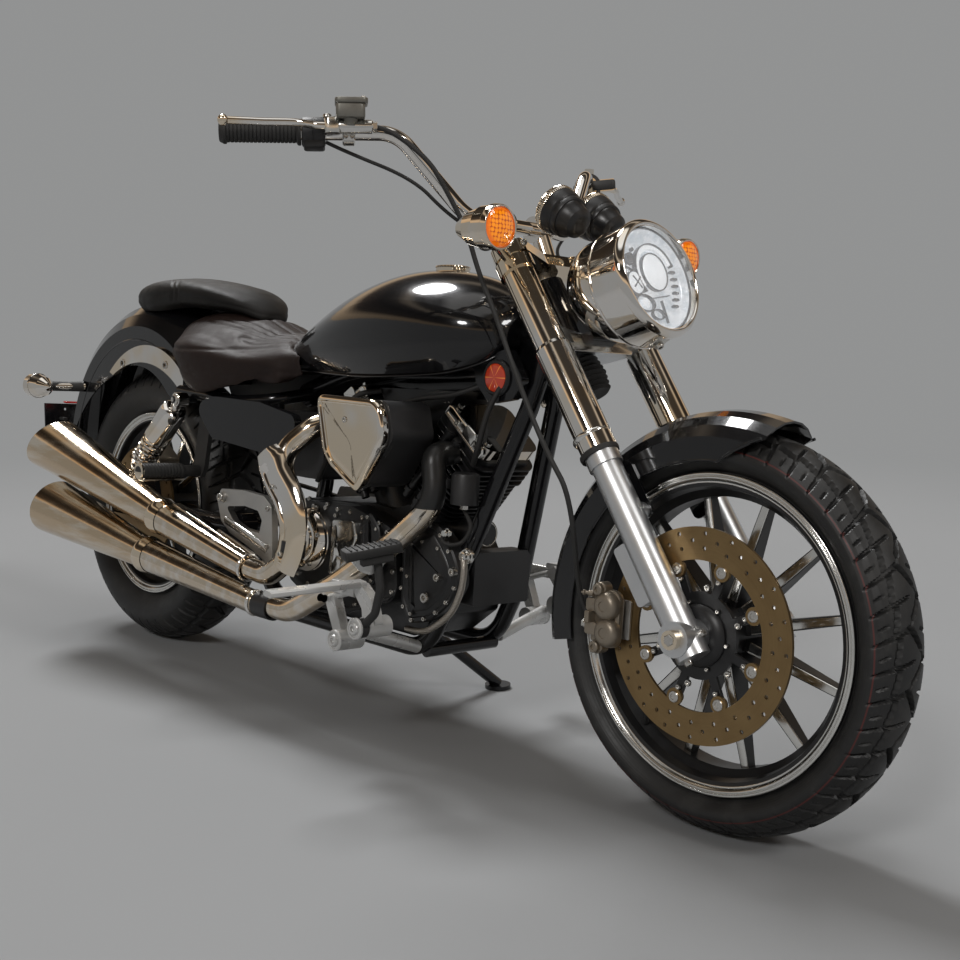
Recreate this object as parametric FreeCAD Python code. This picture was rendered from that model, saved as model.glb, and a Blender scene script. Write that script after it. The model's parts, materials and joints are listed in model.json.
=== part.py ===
"""Cruiser motorcycle, parked leaning on its side stand.

Every piece is drawn on the upright machine: x across (the rider's left is +x), y along (the front is -y),
z up from the ground, with the rear axle at y = 0.  The last section leans the whole machine over onto its
stand and moves the origin to the middle of its footprint on the ground.
"""
import FreeCAD, Part
import math
import os

V = FreeCAD.Vector

# ---------------------------------------------------------------- driving dimensions, millimetres and degrees
WHEELBASE = 1554.5
LEAN = 5.0                     # towards the side stand
CLEAR = 5.0                    # between pieces that move past each other
SEAT_GAP = 0.3                 # between soft pads and what carries them
FIT = 0.05                     # radial clearance of a running fit

FRONT_TYRE_R = 300.0
FRONT_TYRE_W = 126.0
FRONT_CROWN_R = 66.0
FRONT_RIM_R = 236.0            # outside of the rim flange
FRONT_BEAD_R = 219.0
FRONT_RIM_W = 98.0
SPOKE_HUB = (19.0, 40.0)       # spokes at the hub: around, across
SPOKE_RIM = (14.0, 15.0)

REAR_TYRE_R = 311.6
REAR_TYRE_W = 150.0
REAR_CROWN_R = 84.0
REAR_RIM_R = 206.0
REAR_BEAD_R = 190.0
REAR_RIM_W = 112.0

FRONT_SPOKES = 12
REAR_SPOKES = 10
AXLE_R = 8.5
REAR_AXLE_R = 10.0

RAKE = 36.1                    # of the fork legs from the vertical
FORK_X = 110.0                 # centre of a fork leg across
LEG_BACK = -1.0                # of the fork legs behind the front axle, square to the legs
STEER_BACK = 40.0              # of the steering axis behind the front axle
STEM_R = 15.0
STEER_LIMIT = 32.0

SLIDER_R = 25.0
SLIDER_TOP = 305.0             # heights along the fork leg from the axle
COVER_R = 29.0
COVER_STEP = 500.0
UPPER_COVER_R = 26.0
LOWER_YOKE = 504.0
YOKE_THICK = 26.0
UPPER_YOKE = 665.0

DISC_R = 158.0
DISC_IN = 110.0
DISC_LOBE = 13.0               # radius of the disc's inner lobes round its buttons
DISC_BUTTONS = 8
BUTTON_RING = 102.0
DISC_T = 5.0
DISC_X = 76.5
LUG_HALF = 27.0                # half length of the slider's axle lug
REAR_DISC_R = 130.0

FRONT_FENDER_R = 328.0         # outside of the crown
FRONT_FENDER_W = 142.0
FENDER_AHEAD = 14.5            # degrees that the front fender reaches ahead of the axle
FENDER_FACE = FRONT_FENDER_W / 2 + 3.5     # outside of the fender's brackets
SHEET = 3.0                    # fender thickness
REAR_FENDER_R = 356.0
REAR_FENDER_W = 204.0
REAR_FENDER_Y = 15.0
REAR_FENDER_Z = 422.0

TUBE_R = 16.0                  # cradle tubes
SPINE_R = 26.0
RAIL_X = 84.0                  # lower cradle rails
RAIL_Z = 166.0
POST_X = 64.0                  # uprights that carry the swingarm
REAR_RAIL_R = 13.0
ARM_X = 122.0                  # swingarm legs
ARM_R = 15.0
BOSS_HALF = 16.5
DROPOUT_HALF = 14.0
STUD_R = 8.0
PIVOT_Y = -470.0               # swingarm pivot
PIVOT_Z = 325.0

DECK = 112.0                   # top of the crankcase from the crankshaft along a cylinder
HEAD_TOP = 264.0
ROCKER_H = 24.0
BARREL_FINS = 9
HEAD_FINS = 4
FIN_PITCH = 10.0
FIN_T = 3.4
FIN_LONG = 142.0
FIN_WIDE = 148.0
SIDE_CASE_X = 118.0
FILTER_X = -20.0
FILTER_Y = -1002.0
FILTER_Z = 378.0
BELT_X = 84.0
BELT_W = 14.0
BELT_T = 6.0
REAR_PULLEY_R = 100.0
FRONT_PULLEY_R = 36.0

CRANK_Y = -857.0
CRANK_Z = 342.0
FRONT_CYL_LEAN = 40.0          # forwards from the vertical
REAR_CYL_LEAN = -30.0

BAR_R = 12.5
GRIP_R = 17.0

PLATE_HOLE_X = 25.0
PLATE_HOLE_R = 3.3
PLATE_THICK = 4.0
MIRROR_HOLE_R = 4.4            # tapping size of a 10 mm thread
MIRROR_HOLE_DEEP = 18.0
RAIL_HOLE_R = 4.3
RAIL_THICK = 9.0

PIPE_R = 21.0
TIP_R = 61.0

FRONT_AXLE = V(0, -WHEELBASE, FRONT_TYRE_R)
REAR_AXLE = V(0, 0, REAR_TYRE_R)
FRONT_PULLEY = V(0, -546, 335)
RAIL_TOP = RAIL_Z + TUBE_R + 0.2
SHOCK_LOW = V(-150, -104, 408)
SHOCK_TOP = V(-150, -256, 560)
FORK_UP = V(0, math.sin(math.radians(RAKE)), math.cos(math.radians(RAKE)))
FORK_OUT = V(0, -math.cos(math.radians(RAKE)), math.sin(math.radians(RAKE)))
X = V(1, 0, 0)
Y = V(0, 1, 0)
Z = V(0, 0, 1)


# ---------------------------------------------------------------- shape helpers
def fork(x, ahead, along):
    """A point x across, `ahead` of the front axle square to the legs and `along` the legs from it."""
    return FRONT_AXLE + X * x + FORK_OUT * ahead + FORK_UP * along


def stem(along):
    """A point on the steering axis."""
    return fork(0, -STEER_BACK, along)


def fuse(shapes):
    """One solid from shapes that meet."""
    body = shapes[0].fuse(shapes[1:]) if len(shapes) > 1 else shapes[0]
    return body.removeSplitter()


def cut(shape, *tools):
    for tool in tools:
        shape = shape.cut(tool)
    return shape


def flip(shape):
    """The mirror image on the other side of the machine."""
    return shape.mirror(V(0, 0, 0), X)


def pair(shape):
    """A left and a right piece that do not touch."""
    return Part.makeCompound([shape, flip(shape)])


def both(shape):
    """A left and a right piece in one list, for fusing."""
    return [shape, flip(shape)]


def bar(a, b, radius, inner=0.0):
    """A round bar, or a tube where it has an inner radius."""
    body = Part.makeCylinder(radius, (b - a).Length, a, b - a)
    if inner:
        body = body.cut(Part.makeCylinder(inner, (b - a).Length, a, b - a))
    return body


def taper(a, b, ra, rb):
    """A round taper from a to b."""
    return Part.makeCone(ra, rb, (b - a).Length, a, b - a)


def frame_of(direction):
    """Two unit vectors square to a direction."""
    d = V(direction).normalize()
    side = X if abs(d.x) < 0.9 else Y
    u = (side - d * side.dot(d)).normalize()
    return u, d.cross(u)


def turned(profile, origin, direction):
    """A full turn of a closed outline of (along, radius) points about an axis."""
    d = V(direction).normalize()
    u = frame_of(d)[0]
    points = [origin + d * a + u * r for a, r in profile]
    face = Part.Face(Part.makePolygon(points + points[:1]))
    return face.revolve(origin, d, 360)


def loop_edges(points, radii):
    """Straight sides joined by tangent corner arcs, as the edges of one closed loop."""
    count = len(points)
    arcs = []
    for i, p in enumerate(points):
        back = points[i - 1] - p
        on = points[(i + 1) % count] - p
        room = 0.49 * min(back.Length, on.Length)
        back.normalize()
        on.normalize()
        half = (math.pi - back.getAngle(on)) / 2
        reach = min(radii[i] * math.tan(half), room)
        radius = reach / math.tan(half)
        centre = p + (back + on).normalize() * (radius / math.cos(half))
        middle = centre + (p - centre).normalize() * radius
        arcs.append((p + back * reach, middle, p + on * reach))
    edges = []
    for i, (start, middle, end) in enumerate(arcs):
        if radii[i] > 0:
            edges.append(Part.Arc(start, middle, end).toShape())
        following = arcs[(i + 1) % count][0]
        if (following - end).Length > 1e-6:
            edges.append(Part.makeLine(end, following))
    return edges


def loop(points, radius):
    """A closed wire with rounded corners; radius is one value or one for each point."""
    radii = radius if isinstance(radius, (list, tuple)) else [radius] * len(points)
    return Part.Wire(loop_edges(points, radii))


def plate(outline, x0, x1, radius=0.001):
    """A plate standing along the machine: an outline of (y, z) points from x0 to x1."""
    face = Part.Face(loop([V(x0, y, z) for y, z in outline], radius))
    return face.extrude(V(x1 - x0, 0, 0))


def block(centre, size, corner, axis, up):
    """A rounded block: size is (across, up, along the axis), centred on its middle."""
    a = V(axis).normalize()
    v = (V(up) - a * V(up).dot(a)).normalize()
    u = v.cross(a)
    w, h, length = size
    corners = [(-w / 2, -h / 2), (w / 2, -h / 2), (w / 2, h / 2), (-w / 2, h / 2)]
    start = centre - a * (length / 2)
    face = Part.Face(loop([start + u * p + v * q for p, q in corners], corner))
    return face.extrude(a * length)


def route(points, radius=None):
    """Straight runs joined by tangent arcs; with no radius each arc is as large as its runs allow."""
    edges = []
    radii = []
    last = points[0]
    for i in range(1, len(points) - 1):
        back = points[i - 1] - points[i]
        on = points[i + 1] - points[i]
        room = 0.45 * min(back.Length, on.Length)
        back.normalize()
        on.normalize()
        half = (math.pi - back.getAngle(on)) / 2
        reach = room if radius is None else min(radius * math.tan(half), room)
        bend = reach / math.tan(half)
        radii.append(bend)
        centre = points[i] + (back + on).normalize() * (bend / math.cos(half))
        middle = centre + (points[i] - centre).normalize() * bend
        start = points[i] + back * reach
        if (start - last).Length > 1e-6:
            edges.append(Part.makeLine(last, start))
        last = points[i] + on * reach
        edges.append(Part.Arc(start, middle, last).toShape())
    edges.append(Part.makeLine(last, points[-1]))
    return Part.Wire(edges), radii


def pipe(points, tube_radius, bend=None, inner=0.0):
    """A round tube along a route."""
    path = route(points, bend)[0]
    ring = Part.Circle(points[0], points[1] - points[0], tube_radius).toShape()
    body = path.makePipe(Part.Face(Part.Wire(ring)))
    if inner:
        ring = Part.Circle(points[0], points[1] - points[0], inner).toShape()
        body = body.cut(path.makePipe(Part.Face(Part.Wire(ring))))
    return body


def cord(name, points, radius):
    """A held cord: prints its length, its tightest bend and its volume against section times length."""
    path, radii = route(points)
    body = pipe(points, radius)
    ideal = math.pi * radius ** 2 * path.Length
    bends = " ".join("%.0f" % r for r in radii)
    print("%s length %.0f volume/ideal %.4f bends %s" % (name, path.Length, body.Volume / ideal, bends))
    return body


def crowned(y, top, width, shoulder, bottom, floor, spread=52.0):
    """A closed section square to the machine: a crown, tight shoulders and sides drawn in to a flat floor.

    top is the height of the crown, width the half width, shoulder the radius of the shoulders, bottom the
    half width of the floor and floor its height.
    """
    turn = math.radians(spread)
    crown = shoulder + (width - shoulder) / math.sin(turn)
    cz = top - crown + (crown - shoulder) * math.cos(turn)
    cx = (crown - shoulder) * math.sin(turn)

    def on_crown(angle):
        return V(crown * math.sin(angle), y, top - crown + crown * math.cos(angle))

    def on_shoulder(angle):
        return V(cx + shoulder * math.sin(angle), y, cz + shoulder * math.cos(angle))

    def mirror(p):
        return V(-p.x, p.y, p.z)

    side = V(width, y, cz)
    foot = V(bottom, y, floor)
    chord = foot - side
    curl = chord.Length ** 2 / (2 * (width - bottom))
    half = math.asin(min(1.0, chord.Length / (2 * curl)))
    middle = V(width - curl + curl * math.cos(half), y, cz - curl * math.sin(half))
    return Part.Wire([
        Part.Arc(mirror(on_crown(turn)), V(0, y, top), on_crown(turn)).toShape(),
        Part.Arc(on_crown(turn), on_shoulder((turn + math.pi / 2) / 2), side).toShape(),
        Part.Arc(side, middle, foot).toShape(),
        Part.makeLine(foot, mirror(foot)),
        Part.Arc(mirror(foot), mirror(middle), mirror(side)).toShape(),
        Part.Arc(mirror(side), mirror(on_shoulder((turn + math.pi / 2) / 2)),
                 mirror(on_crown(turn))).toShape(),
    ])


def crowned_body(rows, spread, grow=0.0, deeper=0.0):
    """A solid through crowned sections, grown all round by a clearance and downwards by more."""
    sections = []
    for y, top, width, shoulder, bottom, floor in rows:
        sections.append(crowned(y, top + grow, width + grow, shoulder + grow, bottom + grow,
                                floor - grow - deeper, spread))
    return Part.makeLoft(sections, True, False)


# ---------------------------------------------------------------- wheels
def tyre(centre, outer, width, crown, bead, rim_r, rim_w):
    """A hollow tyre: crown, sidewalls and beads seated inside the rim flanges."""
    bead_x = rim_w / 2 - 5.3
    side_r = (outer + rim_r) / 2 - 6
    shoulder_x = 0.37 * width
    wall = 9.0

    def drop(x, radius):
        return radius - math.sqrt(radius ** 2 - x ** 2)

    def at(x, r):
        return centre + V(x, 0, r)

    def half_arc(x0, r0, x1, r1, x2, r2):
        return Part.Arc(at(x0, r0), at(x1, r1), at(x2, r2)).toShape()

    shoulder_r = outer - drop(shoulder_x, crown)
    lip_r = rim_r + 0.8
    inner_x = bead_x - 13
    edges = [half_arc(-shoulder_x, shoulder_r, 0, outer, shoulder_x, shoulder_r)]
    inner_crown = outer - wall
    inner_shoulder = shoulder_r - wall
    for s in (-1, 1):
        edges.append(half_arc(s * shoulder_x, shoulder_r, s * width / 2, side_r, s * bead_x, lip_r))
        edges.append(Part.makeLine(at(s * bead_x, lip_r), at(s * bead_x, bead + FIT)))
        edges.append(Part.makeLine(at(s * bead_x, bead + FIT), at(s * inner_x, bead + FIT)))
        edges.append(Part.makeLine(at(s * inner_x, bead + FIT), at(s * inner_x, lip_r + 4)))
        edges.append(half_arc(s * inner_x, lip_r + 4, s * (width / 2 - wall), side_r + 3,
                              s * (shoulder_x - 6), inner_shoulder))
    edges.append(half_arc(6 - shoulder_x, inner_shoulder, 0, inner_crown, shoulder_x - 6, inner_shoulder))
    face = Part.Face(Part.Wire(Part.__sortEdges__(edges)))
    return face.revolve(centre, X, 360)


def rim(centre, rim_r, bead, rim_w):
    """The rolled rim: flanges, bead seats and a dropped centre."""
    w = rim_w / 2
    outside = [(w, rim_r), (w - 5, rim_r), (w - 5, bead), (w - 20, bead), (w - 31, bead - 12)]
    inside = [(w - 31, bead - 19), (w - 18, bead - 8), (w - 4, bead - 4), (w, rim_r - 8)]
    mirrored_outside = [(-x, r) for x, r in reversed(outside)]
    mirrored_inside = [(-x, r) for x, r in reversed(inside)]
    return turned(outside + mirrored_outside + mirrored_inside + inside, centre, X)


def spoke(centre, angle, hub_r, rim_r, hub_size, rim_size):
    """One straight spoke, wider and deeper at the hub; sizes are (around, across)."""
    out = V(0, math.sin(angle), math.cos(angle))
    around = out.cross(X)
    sections = []
    for radius, (w, d) in ((hub_r, hub_size), (rim_r, rim_size)):
        c = centre + out * radius
        corners = [(-w / 2, -d / 2), (w / 2, -d / 2), (w / 2, d / 2), (-w / 2, d / 2)]
        sections.append(Part.makePolygon([c + around * p + X * q for p, q in corners + corners[:1]]))
    return Part.makeLoft(sections, True, True)


def wheel(centre, rim_r, bead, rim_w, hub_r, hub_profile, axle_r, spokes):
    """A cast wheel: rim, spokes and a turned hub with the axle's bore."""
    parts = [rim(centre, rim_r, bead, rim_w), turned(hub_profile, centre, X)]
    for i in range(spokes):
        angle = 2 * math.pi * (i + 0.5) / spokes
        parts.append(spoke(centre, angle, hub_r - 6, bead - 15, SPOKE_HUB, SPOKE_RIM))
    bore = bar(centre - X * 200, centre + X * 200, axle_r + FIT)
    return fuse(parts), bore


def button_directions():
    """From the front axle to each of the buttons that carry the disc."""
    angles = [math.radians(26) + 2 * math.pi * i / DISC_BUTTONS for i in range(DISC_BUTTONS)]
    return [V(0, math.sin(a), math.cos(a)) for a in angles]


def front_wheel_parts():
    hub_r = 44.0
    face = DISC_X - DISC_T / 2
    hub = [(-face, 0), (-face, 64), (-face + 6, 64), (-face + 9, 54), (-40, hub_r), (40, hub_r), (58, 34),
           (66, 30), (66, 0)]
    body, bore = wheel(FRONT_AXLE, FRONT_RIM_R, FRONT_BEAD_R, FRONT_RIM_W, hub_r, hub, AXLE_R, FRONT_SPOKES)
    arms = []
    for out in button_directions():
        middle = FRONT_AXLE - X * (face - 3) + out * 78
        arms.append(block(middle, (14, 6, 44), 1, out, X))
        boss = FRONT_AXLE + out * BUTTON_RING
        arms.append(bar(boss - X * face, boss - X * (face - 6.5), 9.5))
    body = fuse([body] + arms).cut(bore)
    rubber = tyre(FRONT_AXLE, FRONT_TYRE_R, FRONT_TYRE_W, FRONT_CROWN_R, FRONT_BEAD_R, FRONT_RIM_R,
                  FRONT_RIM_W)
    return body, rubber


def drilled_disc(centre, x, outer, inner, thickness, holes):
    """A brake disc: rings of (radius, hole radius, count, turn) holes."""
    a = centre + X * (x - thickness / 2)
    disc = bar(a, a + X * thickness, outer, inner)
    tools = []
    for radius, hole, count, turn in holes:
        for i in range(count):
            angle = 2 * math.pi * (i + turn) / count
            p = a + V(0, math.sin(angle), math.cos(angle)) * radius
            tools.append(bar(p - X, p + X * (thickness + 1), hole))
    return disc.cut(Part.makeCompound(tools))


def front_disc():
    holes = [(DISC_R - 9, 3.2, 20, 0.0), (DISC_R - 20, 3.2, 20, 0.5), (DISC_R - 31, 3.2, 20, 0.0)]
    disc = drilled_disc(FRONT_AXLE, -DISC_X, DISC_R, DISC_IN, DISC_T, holes)
    face = FRONT_AXLE - X * (DISC_X + DISC_T / 2)
    lobes = []
    for out in button_directions():
        middle = face + out * BUTTON_RING
        lobes.append(bar(middle, middle + X * DISC_T, DISC_LOBE))
    return fuse([disc] + lobes)


def rear_wheel_parts():
    hub_r = 58.0
    hub = [(-76, 0), (-76, 46), (-50, hub_r), (50, hub_r), (81, 60), (81, 0)]
    body, bore = wheel(REAR_AXLE, REAR_RIM_R, REAR_BEAD_R, REAR_RIM_W, hub_r, hub, REAR_AXLE_R, REAR_SPOKES)
    lip = REAR_PULLEY_R + 4
    pulley = [(80, 15), (80, lip), (82, lip), (82, REAR_PULLEY_R), (99.5, REAR_PULLEY_R), (99.5, lip),
              (101, lip),
              (101, 90), (92, 84), (92, 40), (101, 36), (101, 15)]
    body = fuse([body, turned(pulley, REAR_AXLE, X)]).cut(bore)
    rubber = tyre(REAR_AXLE, REAR_TYRE_R, REAR_TYRE_W, REAR_CROWN_R, REAR_BEAD_R, REAR_RIM_R, REAR_RIM_W)
    disc = drilled_disc(REAR_AXLE, -78.5, REAR_DISC_R, 40, DISC_T, [(REAR_DISC_R - 14, 3.5, 24, 0.0)])
    return body, rubber, disc


# ---------------------------------------------------------------- front end
def fork_sliders():
    top = fork(-FORK_X, -LEG_BACK, SLIDER_TOP)
    foot = fork(-FORK_X, -LEG_BACK, -32)
    parts = [
        bar(foot, fork(-FORK_X, -LEG_BACK, 60), SLIDER_R),
        taper(fork(-FORK_X, -LEG_BACK, 60), fork(-FORK_X, -LEG_BACK, SLIDER_TOP - 22), SLIDER_R,
              SLIDER_R - 1.5),
        bar(fork(-FORK_X, -LEG_BACK, SLIDER_TOP - 22), top, SLIDER_R + 2),
        bar(fork(-FORK_X - LUG_HALF, 0, 0), fork(-FORK_X + LUG_HALF, 0, 0), 26),
        bar(fork(-FORK_X, -LEG_BACK, 205), fork(-FENDER_FACE - 0.3, -LEG_BACK, 205), 14),
        block(fork(-FORK_X, -LEG_BACK - 34, 118), (26, 96, 18), 6, X, FORK_UP),
    ]
    bore = bar(fork(-FORK_X - 60, 0, 0), fork(-FORK_X + 60, 0, 0), AXLE_R)
    right = fuse(parts).cut(bore)
    left = flip(fuse(parts[:-1]).cut(bore))
    return Part.makeCompound([right, left])


def fork_covers():
    profile = [(SLIDER_TOP + 0.5, 0), (SLIDER_TOP + 0.5, COVER_R), (COVER_STEP - 6, COVER_R),
               (COVER_STEP, UPPER_COVER_R), (UPPER_YOKE, UPPER_COVER_R), (UPPER_YOKE, 0)]
    return pair(turned(profile, fork(-FORK_X, -LEG_BACK, 0), FORK_UP))


def yoke_plate(along, thick, outline, corner):
    """A plate square to the legs: an outline of (x, ahead) points on the right, mirrored to the left."""
    mirrored = [(-x, a) for x, a in reversed(outline)]
    points = [fork(x, a, along) for x, a in outline + mirrored]
    return Part.Face(loop(points, corner)).extrude(FORK_UP * thick)


def lower_yoke():
    outline = [(-24, -STEER_BACK - 20), (-100, -LEG_BACK - 18), (-100, -LEG_BACK + 18), (-34, 4)]
    plate_body = yoke_plate(LOWER_YOKE, YOKE_THICK, outline, 8)
    legs = [bar(fork(x, -LEG_BACK, 300), fork(x, -LEG_BACK, 700), UPPER_COVER_R) for x in (-FORK_X, FORK_X)]
    body = fuse([cut(plate_body, *legs), bar(stem(LOWER_YOKE), stem(UPPER_YOKE), STEM_R)])
    return body


def upper_yoke():
    outline = [(-28, -STEER_BACK - 28), (-112, -LEG_BACK - 36), (-141, -LEG_BACK - 10),
               (-141, -LEG_BACK + 12),
               (-112, -LEG_BACK + 34), (-30, 6)]
    parts = [yoke_plate(UPPER_YOKE, 22, outline, 14)]
    for x in (-FORK_X, FORK_X):
        profile = [(UPPER_YOKE + 21, 0), (UPPER_YOKE + 21, 24), (UPPER_YOKE + 27, 24), (UPPER_YOKE + 33, 16),
                   (UPPER_YOKE + 34, 0)]
        parts.append(turned(profile, fork(x, -LEG_BACK, 0), FORK_UP))
    parts.append(bar(stem(UPPER_YOKE + 20), stem(UPPER_YOKE + 34), 17))
    clamp = BAR_CENTRE
    for x in (-RISER_X, RISER_X):
        base = fork(x, -STEER_BACK - 12, UPPER_YOKE + 18)
        head = V(x, clamp.y, clamp.z)
        parts.append(bar(base, head, 16))
        parts.append(bar(head - X * 16, head + X * 16, 23))
    bore = bar(clamp - X * 100, clamp + X * 100, BAR_R)
    return fuse(parts).cut(bore)


BAR_CENTRE = V(0, -1066, 907)
RISER_X = 46.0
BAR_BEND = V(-229.5, -1001, 1032)
BAR_END = V(-450, -830, 1013)
BAR_LOW = V(-122, BAR_CENTRE.y, BAR_CENTRE.z)


def mirror_point(p):
    return V(-p.x, p.y, p.z)


def handlebar():
    half = [BAR_END, BAR_BEND, BAR_LOW]
    points = half + [mirror_point(p) for p in reversed(half)]
    return pipe(points, BAR_R, 62)


def along_grip(distance, drop=0.0):
    """A point on the right grip's centre line, measured from its outer end."""
    d = (BAR_BEND - BAR_END).normalize()
    return BAR_END + d * distance - Z * drop


def grips():
    axis = (BAR_BEND - BAR_END).normalize()
    bottom = along_grip(-3)
    profile = [(0, 0), (0, 15), (4, GRIP_R + 3), (8, GRIP_R), (118, GRIP_R), (122, 21), (126, 21),
               (126, BAR_R),
               (3, BAR_R), (3, 0)]
    return pair(turned(profile, bottom, axis))


def switch_housings():
    axis = (BAR_BEND - BAR_END).normalize()
    parts = [turned([(127, BAR_R), (127, 21), (131, 24), (161, 24), (165, 21), (165, BAR_R)], along_grip(0),
                    axis)]
    return pair(fuse(parts))


def lever_front():
    """Forwards from the right grip and square to it."""
    axis = (BAR_BEND - BAR_END).normalize()
    ahead = V(0, -1, 0.15)
    return (ahead - axis * ahead.dot(axis)).normalize()


def mirror_mouth(along):
    """Mouth of the mirror hole over the bar, at a distance along the right grip's line."""
    return along_grip(along) + Z * 34


def mirror_boss(along):
    mouth = mirror_mouth(along)
    return bar(mouth - Z * 26, mouth, 9), bar(mouth - Z * MIRROR_HOLE_DEEP, mouth + Z, MIRROR_HOLE_R)


def brake_master_cylinder():
    axis = (BAR_BEND - BAR_END).normalize()
    middle = along_grip(204)
    front = lever_front()
    clamp = bar(along_grip(192), along_grip(212), 21)
    body = block(middle + front * 32, (26, 22, 72), 4, axis, Z)
    pot = block(middle + front * 38 + Z * 26, (50, 34, 64), 5, axis, Z)
    bore = bar(along_grip(100), along_grip(260), BAR_R)
    boss, hole = mirror_boss(202)
    return cut(fuse([clamp, body, pot, boss]), bore, hole)


def hand_levers():
    axis = (BAR_BEND - BAR_END).normalize()
    front = lever_front()
    points = [along_grip(167.7) + front * 36, along_grip(150) + front * 36, along_grip(118) + front * 52,
              along_grip(70) + front * 52,
              along_grip(8) + front * 58]
    lever = fuse([pipe(points, 6, 60), Part.makeSphere(9, points[-1])])
    perch = bar(along_grip(166), along_grip(184), 21)
    arm = block(along_grip(175) + front * 28, (22, 46, 16), 3, axis, front)
    bore = bar(along_grip(100), along_grip(260), BAR_R)
    boss, hole = mirror_boss(175)
    return Part.makeCompound([lever, flip(cut(fuse([lever, perch, arm, boss]), bore, hole))])


LAMP_FACE = V(0, -1371, 820)
LAMP_TILT = 20.0
LAMP_R = 96.0
LAMP_AXIS = V(0, -math.cos(math.radians(LAMP_TILT)), math.sin(math.radians(LAMP_TILT)))


LAMP_BUCKET = [                # behind the trim ring: centre y, centre z, radius, tilt in degrees
    (-1326, 803.6, 86, 20),
    (-1288, 800, 85, 14),
    (-1254, 804, 72, 6),
    (-1228, 809, 50, 0),
    (-1212, 812, 22, 0),
]


def lamp_bucket(grow):
    rings = []
    for y, z, r, tilt in LAMP_BUCKET:
        t = math.radians(tilt)
        rings.append(Part.Wire(Part.makeCircle(r + grow, V(0, y, z), V(0, -math.cos(t), math.sin(t)))))
    return Part.makeLoft(rings, True)


def headlight_shell():
    ring = turned([(6, 84), (6, 90), (-2, LAMP_R), (-52, LAMP_R), (-58, 89), (-58, 0), (-24, 0), (-24, 84)],
                  LAMP_FACE, LAMP_AXIS)
    return fuse([ring, lamp_bucket(0)])


def headlight_lens():
    return turned([(-23.7, 0), (-23.7, 83.7), (2, 83.7), (7, 60), (10, 30), (11, 0)], LAMP_FACE, LAMP_AXIS)


def headlight_bracket():
    post = block(fork(0, 14.2, LOWER_YOKE + 22), (20, 44, 60), 6, X, FORK_UP)
    return post.cut(lamp_bucket(SEAT_GAP))


def gauges():
    parts = []
    axis = V(0, 0.62, 0.78).normalize()
    for x in (-43, 43):
        centre = V(x, -1222, 908)
        cup = [(-34, 0), (-34, 18), (-26, 26), (-4, 30), (0, 34), (24, 38), (24, 40), (38, 40), (38, 34),
               (34, 34),
               (34, 0)]
        parts.append(turned(cup, centre, axis))
    bridge = block(V(0, -1200, 872), (60, 14, 120), 4, X, Z)
    foot = fork(0, -12, UPPER_YOKE + 22.2)
    knee = foot + FORK_UP * 26
    stay = [bar(foot, knee, 8), Part.makeSphere(8, knee), bar(knee, V(0, -1200, 872), 8)]
    return fuse(parts + [bridge] + stay)


def front_indicators():
    centre = V(-230, -1240, 875)
    axis = V(0, -1, 0)
    bullet = [(8, 0), (8, 30), (2, 34), (-20, 33), (-48, 26), (-72, 14), (-82, 0)]
    shell = turned(bullet, centre, axis)
    root = fork(-FORK_X, -LEG_BACK, UPPER_YOKE - 14)
    stalk = bar(centre - axis * 24, root, 9)
    clamp = bar(fork(-FORK_X, -LEG_BACK, UPPER_YOKE - 26), fork(-FORK_X, -LEG_BACK, UPPER_YOKE - 4), 31,
                UPPER_COVER_R)
    keep = fuse([shell, stalk, clamp])
    return pair(keep.cut(bar(fork(-FORK_X, -LEG_BACK, 600), fork(-FORK_X, -LEG_BACK, UPPER_YOKE),
                             UPPER_COVER_R)))


def sector(profile, centre, start, sweep):
    """Part of a turn of an (x, radius) outline about an axle; angles from straight up, backwards positive."""
    d = math.radians(start)
    out = V(0, math.sin(d), math.cos(d))
    points = [centre + X * x + out * r for x, r in profile]
    face = Part.Face(Part.makePolygon(points + points[:1]))
    return face.revolve(centre, -X, sweep)


def fender_profile(outer, width, wall, skirt, shoulder_drop, steps=8):
    """A domed fender section as (x, radius) points: a round crown, straight skirts, one even wall."""
    half = width / 2
    radius = (half ** 2 + shoulder_drop ** 2) / (2 * shoulder_drop)
    reach = math.asin(half / radius)

    def arc(inset):
        r = radius - inset
        return [(r * math.sin(a), outer - radius + r * math.cos(a))
                for a in (reach * (1 - 2 * i / steps) for i in range(steps + 1))]

    outside = [(half, skirt)] + arc(0) + [(-half, skirt)]
    inside = [(half - wall, skirt)] + [(max(min(x, half - wall), wall - half), r) for x, r in arc(wall)]
    inside += [(wall - half, skirt)]
    return outside + list(reversed(inside))


def front_fender():
    profile = fender_profile(FRONT_FENDER_R, FRONT_FENDER_W, SHEET, 252, 40)
    shell = sector(profile, FRONT_AXLE, -FENDER_AHEAD, FENDER_AHEAD + 102)
    below = [(-1536, 545), (-1666, 607), (-1690, 500), (-1536, 500)]
    shell = shell.cut(plate(below, -FRONT_FENDER_W, FRONT_FENDER_W))
    half = FRONT_FENDER_W / 2
    ear = block(fork(-(half + FENDER_FACE) / 2, -LEG_BACK, 240), (36, 96, FENDER_FACE - half + 0.4), 12, X,
                FORK_UP)
    return fuse([shell] + both(ear))


CALIPER_R = 148.0


def caliper_out():
    """From the front axle through the caliper's middle."""
    return (FORK_OUT * -126 + FORK_UP * 92).normalize()


def caliper_top():
    """The hose's seat on the caliper's outer half."""
    gap = CLEAR + DISC_T / 2
    return FRONT_AXLE + caliper_out() * (CALIPER_R + 33.3) - X * (DISC_X + gap + 17)


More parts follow.
